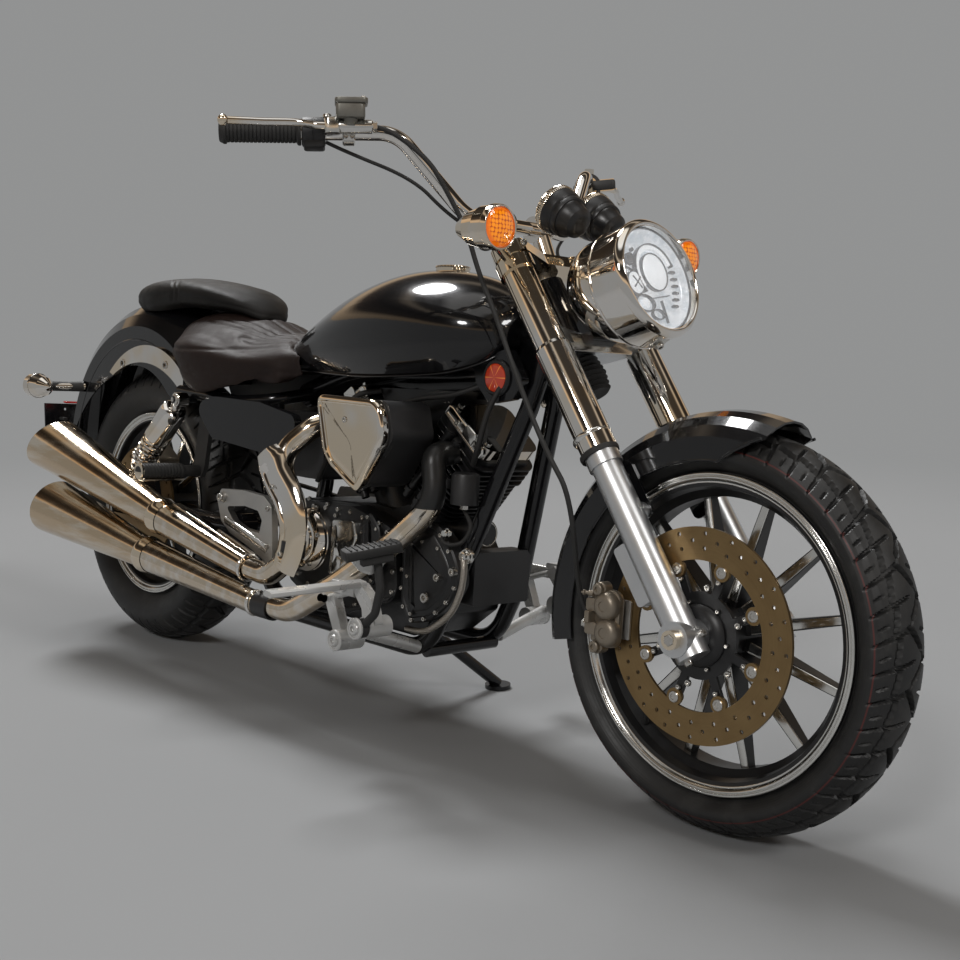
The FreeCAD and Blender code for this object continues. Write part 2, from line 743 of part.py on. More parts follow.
def front_caliper():
    out = caliper_out()
    centre = FRONT_AXLE + out * CALIPER_R
    gap = CLEAR + DISC_T / 2
    outer = block(centre - X * (DISC_X + gap + 17), (96, 66, 34), 14, X, out)
    inner = block(centre + out * 10 - X * (DISC_X - gap - 10), (84, 46, 20), 12, X, out)
    bridge = block(centre + out * 24 - X * (DISC_X + 8), (64, 18, 70), 4, X, out)
    body = fuse([outer, inner, bridge])
    slot = bar(FRONT_AXLE - X * (DISC_X + gap), FRONT_AXLE - X * (DISC_X - gap), DISC_R + CLEAR)
    legs = bar(fork(-FORK_X, -LEG_BACK, -60), fork(-FORK_X, -LEG_BACK, 320), SLIDER_R + 3)
    lug = block(fork(-FORK_X, -LEG_BACK - 34, 118), (26.6, 96.6, 18.6), 6, X, FORK_UP)
    return cut(body, slot, legs, lug)


def front_axle():
    parts = [bar(FRONT_AXLE - X * 141, FRONT_AXLE + X * 141, AXLE_R)]
    for s in (-1, 1):
        nut = FORK_X + LUG_HALF
        hub_face = 66.0 if s > 0 else DISC_X - DISC_T / 2
        parts.append(bar(FRONT_AXLE + X * s * nut, FRONT_AXLE + X * s * (nut + 9), 14))
        parts.append(bar(FRONT_AXLE + X * s * (hub_face + 0.5), FRONT_AXLE + X * s * (FORK_X - LUG_HALF), 14))
    return fuse(parts)


# ---------------------------------------------------------------- frame and rear end
def side_points(points, s):
    return [V(s * x, y, z) for x, y, z in points]


SPINE = [V(0, -1150, 742), V(0, -900, 684), V(0, -640, 636), V(0, -500, 588)]
CRADLE = [(10, -1176, 735), (31, -1145, 600), (81, -1043, 284), (RAIL_X, -985, RAIL_Z),
          (RAIL_X, -600, RAIL_Z),
          (POST_X, PIVOT_Y, 208), (POST_X, PIVOT_Y, PIVOT_Z), (80, -500, 572)]
RAIL_HALF = REAR_FENDER_W / 2 + 0.3 + REAR_RAIL_R
REAR_RAIL = [(0, -540, 596), (92, -505, 576), (RAIL_HALF, -420, 566), (RAIL_HALF, -200, 576)]


def frame():
    parts = [bar(stem(540), stem(655), 30), pipe(SPINE, SPINE_R, 200)]
    for s in (-1, 1):
        parts.append(pipe(side_points(CRADLE, s), TUBE_R, 80))
        parts.append(pipe(side_points(REAR_RAIL, s), REAR_RAIL_R, 50))
        parts.append(bar(V(s * RAIL_HALF, SHOCK_TOP.y, SHOCK_TOP.z), V(s * 168, SHOCK_TOP.y, SHOCK_TOP.z),
                         STUD_R))
        parts.append(plate([(-1192, 724), (-1170, 672), (-1140, 600), (-1070, 660), (-1070, 712),
                            (-1150, 770)],
                           s * 12, s * 18, 6))
        parts.append(bar(V(s * POST_X, PIVOT_Y, PIVOT_Z),
                         V(s * (ARM_X - BOSS_HALF - 0.3), PIVOT_Y, PIVOT_Z), 22))
    for y in (-600, -985):
        parts.append(bar(V(-RAIL_X, y, RAIL_Z), V(RAIL_X, y, RAIL_Z), 12))
    parts.append(stand_lug())
    body = fuse(parts)
    bore = bar(stem(520), stem(680), STEM_R + FIT)
    pivot = bar(V(-200, PIVOT_Y, PIVOT_Z), V(200, PIVOT_Y, PIVOT_Z), 8)
    return cut(body, bore, pivot, stand_bore())


def swingarm():
    pivot = V(0, PIVOT_Y, PIVOT_Z)
    brace = bar(V(-ARM_X, -392, 322), V(ARM_X, -392, 322), 14)
    through = bar(pivot - X * (ARM_X + ARM_R + 6), pivot + X * (ARM_X + ARM_R + 6), 8)
    body = brace.fuse(through)
    for s in (-1, 1):
        leg = bar(V(s * ARM_X, PIVOT_Y + 4, PIVOT_Z), V(s * ARM_X, -40, REAR_TYRE_R), ARM_R)
        boss = bar(pivot + X * s * (ARM_X - BOSS_HALF), pivot + X * s * (ARM_X + BOSS_HALF), 22)
        dropout = plate([(-80, 291), (-80, 333), (30, 332), (40, 311), (30, 290)], s * (ARM_X - DROPOUT_HALF),
                        s * (ARM_X + DROPOUT_HALF), 8)
        ear = plate([(-150, 318), (-70, 316), (-92, 420), (-116, 420)], s * 116, s * 128, 8)
        lower = V(s * ARM_X, SHOCK_LOW.y, SHOCK_LOW.z)
        stud = bar(lower, lower + X * s * 46, STUD_R)
        body = body.fuse(fuse([leg, boss, dropout, ear, stud]))
    return body.cut(bar(REAR_AXLE - X * 200, REAR_AXLE + X * 200, REAR_AXLE_R)).removeSplitter()


def rear_axle():
    parts = [bar(REAR_AXLE - X * 149, REAR_AXLE + X * 149, REAR_AXLE_R)]
    for s, hub_face in ((-1, 81.5), (1, 101.5)):
        outer = ARM_X + DROPOUT_HALF
        parts.append(bar(REAR_AXLE + X * s * outer, REAR_AXLE + X * s * (outer + 9), 16))
        parts.append(bar(REAR_AXLE + X * s * hub_face, REAR_AXLE + X * s * (ARM_X - DROPOUT_HALF), 15))
    return fuse(parts)


def shock_absorbers():
    d = (SHOCK_TOP - SHOCK_LOW).normalize()
    length = (SHOCK_TOP - SHOCK_LOW).Length
    eyes = [bar(p - X * 13, p + X * 13, 15) for p in (SHOCK_LOW, SHOCK_TOP)]
    body = [(8, 0), (8, 12), (16, 24), (22, 24), (22, 9), (96, 9), (96, 0)]
    parts = [turned(body, SHOCK_LOW, d)]
    for i in range(6):
        a = 26 + i * 12
        parts.append(turned([(a, 8), (a, 23), (a + 3, 26), (a + 5, 26), (a + 8, 23), (a + 8, 8)], SHOCK_LOW,
                            d))
    cover = [(95, 0), (95, 27), (98, 28.5), (length - 14, 28.5), (length - 8, 24), (length - 8, 0)]
    parts.append(turned(cover, SHOCK_LOW, d))
    body = fuse(parts + eyes)
    for p in (SHOCK_LOW, SHOCK_TOP):
        body = body.cut(bar(p - X * 40, p + X * 40, STUD_R))
    return pair(body)


TANK = [
    # y, top, half width, shoulder radius, floor half width, floor height
    (-1110, 762, 58, 30, 40, 706),
    (-1080, 790, 100, 44, 70, 676),
    (-1020, 818, 134, 60, 104, 652),
    (-930, 835, 150, 72, 124, 641),
    (-820, 830, 148, 72, 124, 635),
    (-700, 796, 130, 60, 106, 635),
    (-600, 750, 104, 44, 82, 637),
    (-524, 706, 82, 32, 66, 640),
]

RIDER_SEAT = [
    (-705, 700, 88, 20, 84, 644),
    (-610, 714, 112, 28, 106, 622),
    (-500, 726, 142, 36, 132, 596),
    (-390, 744, 162, 44, 148, 580),
    (-290, 752, 168, 48, 150, 577),
    (-210, 736, 152, 44, 134, 622),
    (-150, 698, 116, 30, 104, 636),
]
RIDER_SPREAD = 30.0

PILLION_SEAT = [
    (-372, 748, 44, 8, 40, 716),
    (-330, 780, 80, 16, 74, 724),
    (-230, 808, 104, 26, 96, 722),
    (-110, 820, 110, 30, 102, 728),
    (0, 816, 102, 28, 94, 738),
    (82, 800, 72, 20, 66, 746),
    (132, 776, 36, 8, 32, 750),
]
PILLION_SPREAD = 18.0
TANK_SPREAD = 50.0


def tunnel(inset=SEAT_GAP):
    """The room that the spine takes under the tank."""
    r = SPINE_R + inset
    path = [V(0, -1190, 752.24)] + SPINE[1:]
    under = [(p.y, p.z) for p in path] + [(-480, 560), (-1190, 560)]
    return fuse([pipe(path, r, 200), plate(under, -r, r)])


def fuel_tank():
    return crowned_body(TANK, TANK_SPREAD).cut(tunnel())


def fuel_cap():
    base = V(0, -905, 834)
    profile = [(-6, 0), (-6, 31), (6, 31), (9, 28), (9, 0)]
    return turned(profile, base, V(0, 0.03, 1)).cut(crowned_body(TANK, TANK_SPREAD))


def fender_envelope(grow):
    """The rear fender's outside as a solid, grown by a clearance."""
    outer = REAR_FENDER_R + grow
    half = REAR_FENDER_W / 2 + grow
    profile = fender_profile(outer, 2 * half, 1, 100, 68 + grow)
    outside = profile[:11]
    centre = V(0, REAR_FENDER_Y, REAR_FENDER_Z)
    return sector(outside, centre, -72, 168)


def rider_seat():
    body = crowned_body(RIDER_SEAT, RIDER_SPREAD)
    under = Part.makeBox(268, 396, 132, V(-134, -556, 500)).fuse(
        Part.makeBox(84, 170, 180, V(-42, -722, 500)))
    pad = crowned_body(PILLION_SEAT, PILLION_SPREAD, SEAT_GAP)
    tank = crowned_body(TANK, TANK_SPREAD, SEAT_GAP, 60)
    rails = [Part.makeBox(11, 70, 76, V(x, -206, 600)) for x in (-113, 102)]
    return cut(body, under, pad, tank, fender_envelope(SEAT_GAP), *rails)


def pillion_seat():
    return crowned_body(PILLION_SEAT, PILLION_SPREAD).cut(fender_envelope(SEAT_GAP))


def rear_fender():
    profile = fender_profile(REAR_FENDER_R, REAR_FENDER_W, SHEET, 200, 68)
    centre = V(0, REAR_FENDER_Y, REAR_FENDER_Z)
    shell = sector(profile, centre, -60, 154)
    arch = bar(V(-150, 25, 300), V(150, 25, 300), 306)
    return shell.cut(arch)


def rail_holes():
    """Middles of the right rail's two holes, for luggage or a backrest."""
    x = -REAR_FENDER_W / 2 - 0.3 - RAIL_THICK / 2
    return [V(x, -125, 628), V(x, 58, 625)]


def fender_rails():
    def edge(points):
        return Part.Arc(*[V(-REAR_FENDER_W / 2 - 0.3, y, z) for y, z in points]).toShape()

    upper = edge([(-199.7, 608), (-43, 669), (116, 602)])
    lower = edge([(100, 596), (-34, 630), (-199.7, 566)])
    edges = [upper, Part.makeLine(upper.Vertexes[-1].Point, lower.Vertexes[0].Point), lower,
             Part.makeLine(lower.Vertexes[-1].Point, upper.Vertexes[0].Point)]
    rail = Part.Face(Part.Wire(Part.__sortEdges__(edges))).extrude(V(-RAIL_THICK, 0, 0))
    return pair(cut(rail, *[bar(c - X * 30, c + X * 30, RAIL_HOLE_R) for c in rail_holes()]))


def tail_light():
    centre = V(0, REAR_FENDER_Y, REAR_FENDER_Z)
    r = REAR_FENDER_R
    return sector([(-12, r - 2), (-12, r + 4), (-8, r + 7), (8, r + 7), (12, r + 4), (12, r - 2)], centre,
                  46, 27).cut(
        fender_envelope(0.2))


def rear_indicators():
    centre = V(-195, 285, 558)
    axis = V(0, 1, 0)
    bullet = [(40, 0), (40, 24), (34, 28), (10, 28), (-20, 22), (-42, 10), (-50, 0)]
    stalk = bar(V(-REAR_FENDER_W / 2 + 6, 250, 562), centre, 8)
    return pair(fuse([turned(bullet, centre, axis), stalk]).cut(fender_envelope(0.2)))


PLATE_MIDDLE = V(0, 492, 470)
PLATE_UP = V(0, 0.148, 0.989).normalize()
PLATE_OUT = V(0, PLATE_UP.z, -PLATE_UP.y)


def plate_holes():
    return [PLATE_MIDDLE + PLATE_UP * 24 + X * x for x in (-PLATE_HOLE_X, PLATE_HOLE_X)]


def plate_bracket():
    """The tongue behind the fender, with the two holes of a number plate."""
    r = REAR_FENDER_R + 0.3
    centre = V(0, REAR_FENDER_Y, REAR_FENDER_Z)
    strap = sector([(-28, r), (-28, r + 4), (28, r + 4), (28, r)], centre, 76, 17)
    arm = plate([(366, 426), (366, 434), (430, 445), (489, 457), (489, 449), (430, 437)], -22, 22, 1)
    tongue = block(PLATE_MIDDLE, (PLATE_THICK, 76, 160), 1, X, PLATE_UP)
    holes = [bar(c - PLATE_OUT * 9, c + PLATE_OUT * 9, PLATE_HOLE_R) for c in plate_holes()]
    return cut(fuse([strap, arm, tongue]), fender_envelope(0.2), *holes)


# ---------------------------------------------------------------- engine
CRANK = V(0, CRANK_Y, CRANK_Z)


def cylinder_axis(lean):
    a = math.radians(lean)
    return V(0, -math.sin(a), math.cos(a))


def cylinder_room(lean, grow=SEAT_GAP):
    """The space that one finned cylinder takes above the crankcase deck."""
    a = cylinder_axis(lean)
    return block(CRANK + a * (DECK + 150), (FIN_LONG + 2 * grow, FIN_WIDE + 2 * grow, 300), 24, a, X)


def crankcase():
    outline = [(-1004, 232), (-1010, 320), (-975, 372), (-905, 415), (-860, 400), (-800, 405), (-735, 400),
               (-600, 392), (-522, 350), (-520, 300), (-560, 225), (-640, 188), (-720, RAIL_TOP),
               (-940, RAIL_TOP)]
    main = plate(outline, -70, 70, 16)
    side = [(-940, 250), (-925, 372), (-800, 400), (-650, 395), (-604, 320), (-640, 240), (-800, 205)]
    right = plate(side, -SIDE_CASE_X, -68, 35)
    left = plate(side, 68, 112, 35)
    body = cut(fuse([main, right, left]), cylinder_room(FRONT_CYL_LEAN), cylinder_room(REAR_CYL_LEAN))
    necks = [bar(CRANK, CRANK + cylinder_axis(lean) * DECK, 56) for lean in (FRONT_CYL_LEAN, REAR_CYL_LEAN)]
    filter_boss = bar(V(FILTER_X, -940, FILTER_Z), V(FILTER_X, FILTER_Y, FILTER_Z), 12)
    pulley = [bar(FRONT_PULLEY - X * 10, FRONT_PULLEY + X * (BELT_X - 2), 16),
              bar(FRONT_PULLEY + X * (BELT_X - 2), FRONT_PULLEY + X * (BELT_X + BELT_W + 1), FRONT_PULLEY_R)]
    return fuse([body, filter_boss] + necks + pulley)


def cylinder(lean):
    """One air-cooled cylinder and its head, finned."""
    a = cylinder_axis(lean)
    parts = [bar(CRANK + a * DECK, CRANK + a * 210, 50), block(CRANK + a * 236, (126, 126, 56), 20, a, X)]
    for i in range(BARREL_FINS):
        c = CRANK + a * (DECK + 12 + i * FIN_PITCH)
        parts.append(block(c, (FIN_LONG - 6, FIN_WIDE - 4, FIN_T), 28, a, X))
    for i in range(HEAD_FINS):
        c = CRANK + a * (216 + i * 12)
        parts.append(block(c, (FIN_LONG, FIN_WIDE, FIN_T), 24, a, X))
    return fuse(parts)


def cylinders():
    return Part.makeCompound([cylinder(FRONT_CYL_LEAN), cylinder(REAR_CYL_LEAN)])


def rocker_covers():
    covers = []
    for lean in (FRONT_CYL_LEAN, REAR_CYL_LEAN):
        a = cylinder_axis(lean)
        base = block(CRANK + a * (HEAD_TOP + ROCKER_H / 2), (118, 132, ROCKER_H), 22, a, X)
        covers.append(base)
    return Part.makeCompound(covers)


def engine_covers():
    clutch = turned([(118.2, 0), (118.2, 78), (130, 78), (146, 66), (150, 40), (150, 0)], V(0, -775, 335),
                    V(-1, 0, 0))
    primary = turned([(112.2, 0), (112.2, 74), (124, 74), (134, 60), (136, 0)], V(0, -830, 330), X)
    return Part.makeCompound([clutch, primary])


INTAKE = [V(0, -968, 582), V(0, -880, 548), V(0, -786, 592)]
INTAKE_R = 16.0
THROAT_R = 24.0


def air_cleaner_body():
    """The air box on the right, its throat and the intake to both heads."""
    outline = [(-800, 596), (-978, 600), (-996, 540), (-935, 455), (-905, 445), (-838, 492)]
    box = plate(outline, -196, -104, 22)
    throat = bar(V(-105, -880, 548), V(22, -880, 548), THROAT_R)
    intake = pipe(INTAKE, INTAKE_R, 60)
    rooms = [cylinder_room(lean, 0.2) for lean in (FRONT_CYL_LEAN, REAR_CYL_LEAN)]
    return cut(fuse([box, throat, intake]), *rooms)


def air_cleaner_shield():
    outline = [(-797, 602), (-973, 601), (-992, 536), (-926, 447), (-913, 441), (-831, 489)]
    return plate(outline, -216, -196.2, 24)


def oil_filter():
    return turned([(0, 0), (0, 24), (46, 24), (54, 19), (54, 0)], V(FILTER_X, FILTER_Y - 0.3, FILTER_Z),
                  V(0, -1, 0))


UPPER_PIPE = [(-74.5, -712, 545), (-136, -712, 545), (-186, -656, 478), (-190, -734, 386), (-190, -724, 300),
              (-188, -655, 254), (-190, -540, 262), (-200, -290, 320)]
LOWER_PIPE = [(-74.5, -1012, 515), (-120, -1012, 515), (-126, -1034, 432), (-148, -955, 355),
              (-184, -850, 268),
              (-207, -752, 205), (-207, -620, 202), (-203, -400, 217), (-200, -245, 234)]
UPPER_TIP = V(-202, 189, 430)
LOWER_TIP = V(-202, 172, 286)
SHIELD_R = 35.0                # heat shields, where they meet the silencers
NECK_R = 31.5                  # silencers, at their front ends
UPPER_SHIELD = V(-190, -585, 259)
LOWER_SHIELD = V(-207, -640, 202)


def header(points, shield_start, start_r, tip):
    """A pipe from the head to its silencer, with a heat shield that widens towards the silencer's neck."""
    end = V(*points[-1])
    body = pipe([V(*p) for p in points], PIPE_R, 70)
    shield = taper(shield_start, end, start_r, SHIELD_R)
    d = (tip - end).normalize()
    return fuse([body, shield]).cut(bar(end + d * 0.7, end + d * 30, SHIELD_R * 2))


def exhaust_pipes():
    upper = header(UPPER_PIPE, UPPER_SHIELD, PIPE_R + 3, UPPER_TIP)
    lower = header(LOWER_PIPE, LOWER_SHIELD, PIPE_R + 0.6, LOWER_TIP)
    return Part.makeCompound([upper, lower])


def silencer(start, tip, slant):
    """A megaphone silencer with a slash-cut tip."""
    d = (tip - start).normalize()
    length = (tip - start).Length
    end = length + 80
    body = turned([(1, 0), (1, NECK_R), (end, TIP_R + 8), (end, TIP_R + 5), (length - 60, TIP_R - 11),
                   (length - 60, 0)], start, d)
    s = math.radians(slant)
    normal = V(0, math.cos(s), math.sin(s))
    side = V(0, -normal.z, normal.y) * 200
    corners = [tip - X * 200 + side, tip + X * 200 + side, tip + X * 200 - side, tip - X * 200 - side]
    beyond = Part.Face(Part.makePolygon(corners + corners[:1])).extrude(normal * 300)
    return body.cut(beyond)


def silencers():
    upper = silencer(V(*UPPER_PIPE[-1]), UPPER_TIP, 38)
    lower = silencer(V(*LOWER_PIPE[-1]), LOWER_TIP, 17)
    return Part.makeCompound([upper, lower])


# ---------------------------------------------------------------- covers, controls and small pieces
def side_covers():
    """The covers under the seat and the small ones on the neck."""
    inner = RAIL_HALF + REAR_RAIL_R + 0.3
    panel = plate([(-300, 556), (-372, 490), (-540, 476), (-645, 505), (-655, 552), (-535, 572), (-380, 574)],
                  -inner - 17, -inner, 20)
    neck = plate([(-1040, 676), (-1050, 640), (-1084, 606), (-1140, 616), (-1160, 650), (-1122, 700)], -66,
                 -49, 12)
    boss = bar(V(-50, -1142, 636), V(-26, -1142, 636), 9)
    tubes = pipe(side_points(CRADLE[:3], -1), TUBE_R + SEAT_GAP, 80)
    neck = cut(fuse([neck, boss]), tubes, crowned_body(TANK, TANK_SPREAD, SEAT_GAP))
    return Part.makeCompound([panel, flip(panel), neck, flip(neck)])


def electronics_box():
    box = block(V(0, -1057, 304), (136, 92, 42), 6, Y, Z)
    return cut(box, *[pipe(side_points(CRADLE[:4], s), TUBE_R + SEAT_GAP, 80) for s in (-1, 1)])


def coil_cover():
    """The black cover that fills the room between the heads and the tank."""
    outline = [(-1074, 594), (-1010, 622), (-740, 616), (-772, 590), (-812, 500), (-856, 462), (-900, 500),
               (-950, 566), (-1040, 584)]
    body = plate(outline, -52, 52, 4)
    rooms = [cylinder_room(lean, 2) for lean in (FRONT_CYL_LEAN, REAR_CYL_LEAN)]
    spine = pipe(SPINE, SPINE_R + SEAT_GAP, 200)
    throat = bar(V(-105, -880, 548), V(22.3, -880, 548), THROAT_R + SEAT_GAP)
    intake = pipe(INTAKE, INTAKE_R + SEAT_GAP, 60)
    tubes = [pipe(side_points(CRADLE[:3], s), TUBE_R + 2, 80) for s in (-1, 1)]
    return cut(body, spine, throat, intake, *rooms, *tubes)


def battery_box():
    box = plate([(-640, 430), (-646, 560), (-508, 556), (-496, 430)], -66, 66, 8)
    rooms = [cylinder_room(REAR_CYL_LEAN, 2), pipe(SPINE, SPINE_R + 2, 200)]
    tubes = [pipe(side_points(CRADLE[-3:], s), TUBE_R + SEAT_GAP, 80) for s in (-1, 1)]
    return cut(box, *rooms, *tubes)


def pivot_castings():
    """The polished castings outside the swingarm's pivot, each with a window and a bolt boss."""
    outline = [(-422, 370), (-434, 393), (-510, 398), (-582, 394), (-607, 378), (-613, 329), (-617, 276),
               (-598, 268), (-540, 290), (-471, 309), (-438, 330)]
    x = ARM_X + ARM_R + 6.3
    body = plate(outline, -x - 14, -x, 9)
    window = plate([(-454, 360), (-519, 368), (-563, 364), (-578, 347), (-571, 321), (-515, 324),
                    (-480, 336)],
                   -x - 20, -x + 5, 5)
    boss = bar(V(-x - 18, -442, 377), V(-x, -442, 377), 11)
    return pair(cut(body, window).fuse(boss))


def forward_controls():
    """A bracket of two arms on two bosses, and the folding peg on the arms' pin."""
    low, high = V(-236, -946, 194), V(-236, -1016, 228)
    pin = [V(-236, -900, 258), V(-236, -996, 290)]
    arms = [plate([(-958, 186), (-934, 190), (-898, 258), (-922, 266)], -246, -228, 4),
            plate([(-1006, 216), (-1036, 236), (-1020, 276), (-990, 298), (-972, 284), (-998, 256)], -246,
                  -228, 4)]
    bosses = [bar(c - X * 18, c + X * 30, 18) for c in (low, high)]
    tie = bar(low + X * 14, high + X * 14, 9)
    stay = bar(V(-RAIL_X - TUBE_R - 0.3, -980, RAIL_Z + 8), V(-218, -980, RAIL_Z + 44), 11)
    peg = block(V(-318, -966, 290), (30, 10, 172), 3, V(-1, 0.2, -0.07), V(-0.07, 0, 1))
    hinge = block(V(-240, -946, 282), (14, 22, 60), 3, Y, Z)
    rail = pipe(side_points(CRADLE, -1), TUBE_R + 0.1, 80)
    return pair(fuse(arms + bosses + [tie, stay, bar(pin[0], pin[1], 6), peg, hinge]).cut(rail))


def foot_pedals():
    """The pedals swing on the bracket's upper bosses; each carries a rubber pad across its end."""
    lever = pipe([V(-262, -1018, 228), V(-262, -1052, 258), V(-262, -1062, 300), V(-266, -1056, 346)], 7, 20)
    pad = block(V(-278, -1054, 362), (34, 15, 94), 4, V(-1, 0.38, -0.2), V(-0.2, 0, 1))
    web = block(V(-270, -1056, 350), (26, 14, 52), 3, V(-1, 0.38, -0.2), V(-0.2, 0, 1))
    hub = bar(V(-270, -1016, 228), V(-254.3, -1016, 228), 16)
    return pair(fuse([lever, web, pad, hub]))


def pillion_pegs():
    hanger = plate([(-338, 574), (-296, 574), (-272, 424), (-282, 400), (-302, 400), (-314, 424)], -122,
                   -112, 5)
    rail = pipe(side_points(REAR_RAIL, -1), REAR_RAIL_R + SEAT_GAP, 50)
    peg = bar(V(-116, -291, 415), V(-262, -291, 413), 12)
    return pair(fuse([hanger.cut(rail), peg]))


def belt_loop(rear_r, front_r):
    """The closed outline of a belt round both pulleys, as a solid."""
    span = FRONT_PULLEY - REAR_AXLE
    base = math.atan2(span.z, span.y)
    open_angle = math.acos((rear_r - front_r) / span.Length)
    ends = []
    for s in (1, -1):
        n = V(0, math.cos(base + s * open_angle), math.sin(base + s * open_angle))
        ends.append((REAR_AXLE + n * rear_r, FRONT_PULLEY + n * front_r))
    corners = [ends[0][0], ends[0][1], ends[1][1], ends[1][0]]
    runs = plate([(p.y, p.z) for p in corners], BELT_X, BELT_X + BELT_W)
    rounds = [bar(c + X * BELT_X, c + X * (BELT_X + BELT_W), r)
              for c, r in ((REAR_AXLE, rear_r), (FRONT_PULLEY, front_r))]
    return fuse([runs] + rounds)


def drive_belt():
    rear_r = REAR_PULLEY_R + 0.5
    front_r = FRONT_PULLEY_R + 0.3
    return belt_loop(rear_r + BELT_T, front_r + BELT_T).cut(belt_loop(rear_r, front_r))


def rear_caliper():
    """The rear brake's caliper on its plate, which hangs on the axle."""
    out = V(0, -0.5, 0.87).normalize()
    x = -78.5
    centre = REAR_AXLE + out * (REAR_DISC_R - 8) + X * x
    body = block(centre, (80, 56, 50), 10, X, out)
    slot = bar(REAR_AXLE + X * (x - 7.5), REAR_AXLE + X * (x + 7.5), REAR_DISC_R + CLEAR)
    face = -(ARM_X - DROPOUT_HALF - 0.3)
    hub = REAR_AXLE + X * face
    strip = block(hub + out * 62 + X * 2.5, (30, 124, 5), 6, X, out)
    body = fuse([cut(body, slot), bar(hub, hub + X * 5, 24), strip])
    return body.cut(bar(REAR_AXLE - X * 200, REAR_AXLE, 15.3))


STAND_PIVOT = V(118, -770, 146)
STAND_EYE = 11.5               # half the width of the stand's eye
STAND_FOLD = 100.0             # degrees from parked to folded back
STAND_FOOT = V(262, -830, 0)


def stand_foot():
    """Where the middle of the stand's foot meets the ground, which is tilted by the lean."""
    t = math.tan(math.radians(LEAN))
    return V(STAND_FOOT.x, STAND_FOOT.y, STAND_FOOT.x * t)


def stand_axis():
    leg = stand_foot() - STAND_PIVOT
    back = V(0.06, 1, 0.03)
    return leg.cross(back).normalize()


def stand_lug():
    a = stand_axis()
    face = STAND_PIVOT + a * (STAND_EYE + 0.3)
    body = bar(face, face + a * 18, 16)
    arm = bar(face + a * 12, V(RAIL_X, STAND_PIVOT.y, RAIL_Z + 10), 12)
    return fuse([body, arm]).cut(bar(face - a * 60, face, 24))


def stand_bore():
    a = stand_axis()
    return bar(STAND_PIVOT - a * 40, STAND_PIVOT + a * 40, 6 + FIT)


def side_stand():
    a = stand_axis()
    foot = stand_foot()
    down = V(math.sin(math.radians(LEAN)), 0, -math.cos(math.radians(LEAN)))
    eye = bar(STAND_PIVOT - a * STAND_EYE, STAND_PIVOT + a * STAND_EYE, 17)
    pin = bar(STAND_PIVOT - a * (STAND_EYE + 3), STAND_PIVOT + a * (STAND_EYE + 20), 6)
    leg = bar(STAND_PIVOT, foot - down * 8, 11)
    pad = bar(foot - down * 8, foot, 26)
    return fuse([eye, leg, pad, pin])


BRAKE_HOSE = [(-222, -1072, 988), (-196, -1092, 940), (-166, -1112, 880), (-150, -1128, 815),
              (-150, -1172, 750),
              (-154, -1216, 680), (-157, -1262, 610), (-158, -1312, 540), (-152, -1360, 480)]


def brake_hose():
    """From the master cylinder's inner end, down the leg and to the top of the caliper."""
    start = along_grip(240.3) + lever_front() * 32
    d = (BAR_BEND - BAR_END).normalize()
    end = caliper_top()
    middle = [V(*p) for p in BRAKE_HOSE]
    return cord("brake hose", [start, start + d * 22] + middle + [end + caliper_out() * 26, end], 4)


BAR_CABLE = [(-205, -1020, 962), (-150, -1040, 915), (-96, -1066, 884)]


def bar_cable(name, s, leaves, drop):
    """One cable from a bar control to the top yoke; s is the side, drop how far it dips first."""
    d = (BAR_BEND - BAR_END).normalize()
    start = along_grip(leaves) - Z * 15
    foot = fork(-75, -STEER_BACK - 4, UPPER_YOKE + 22.2)
    points = [start, start + d * 30 - Z * drop] + [V(*p) for p in BAR_CABLE] + [foot + FORK_UP * 42, foot]
    return cord(name, [V(-s * p.x, p.y, p.z) for p in points], 3)


def throttle_cable():
    return bar_cable("throttle cable", -1, 166.4, 14)


def clutch_cable():
    return bar_cable("clutch cable", 1, 187.5, 5)


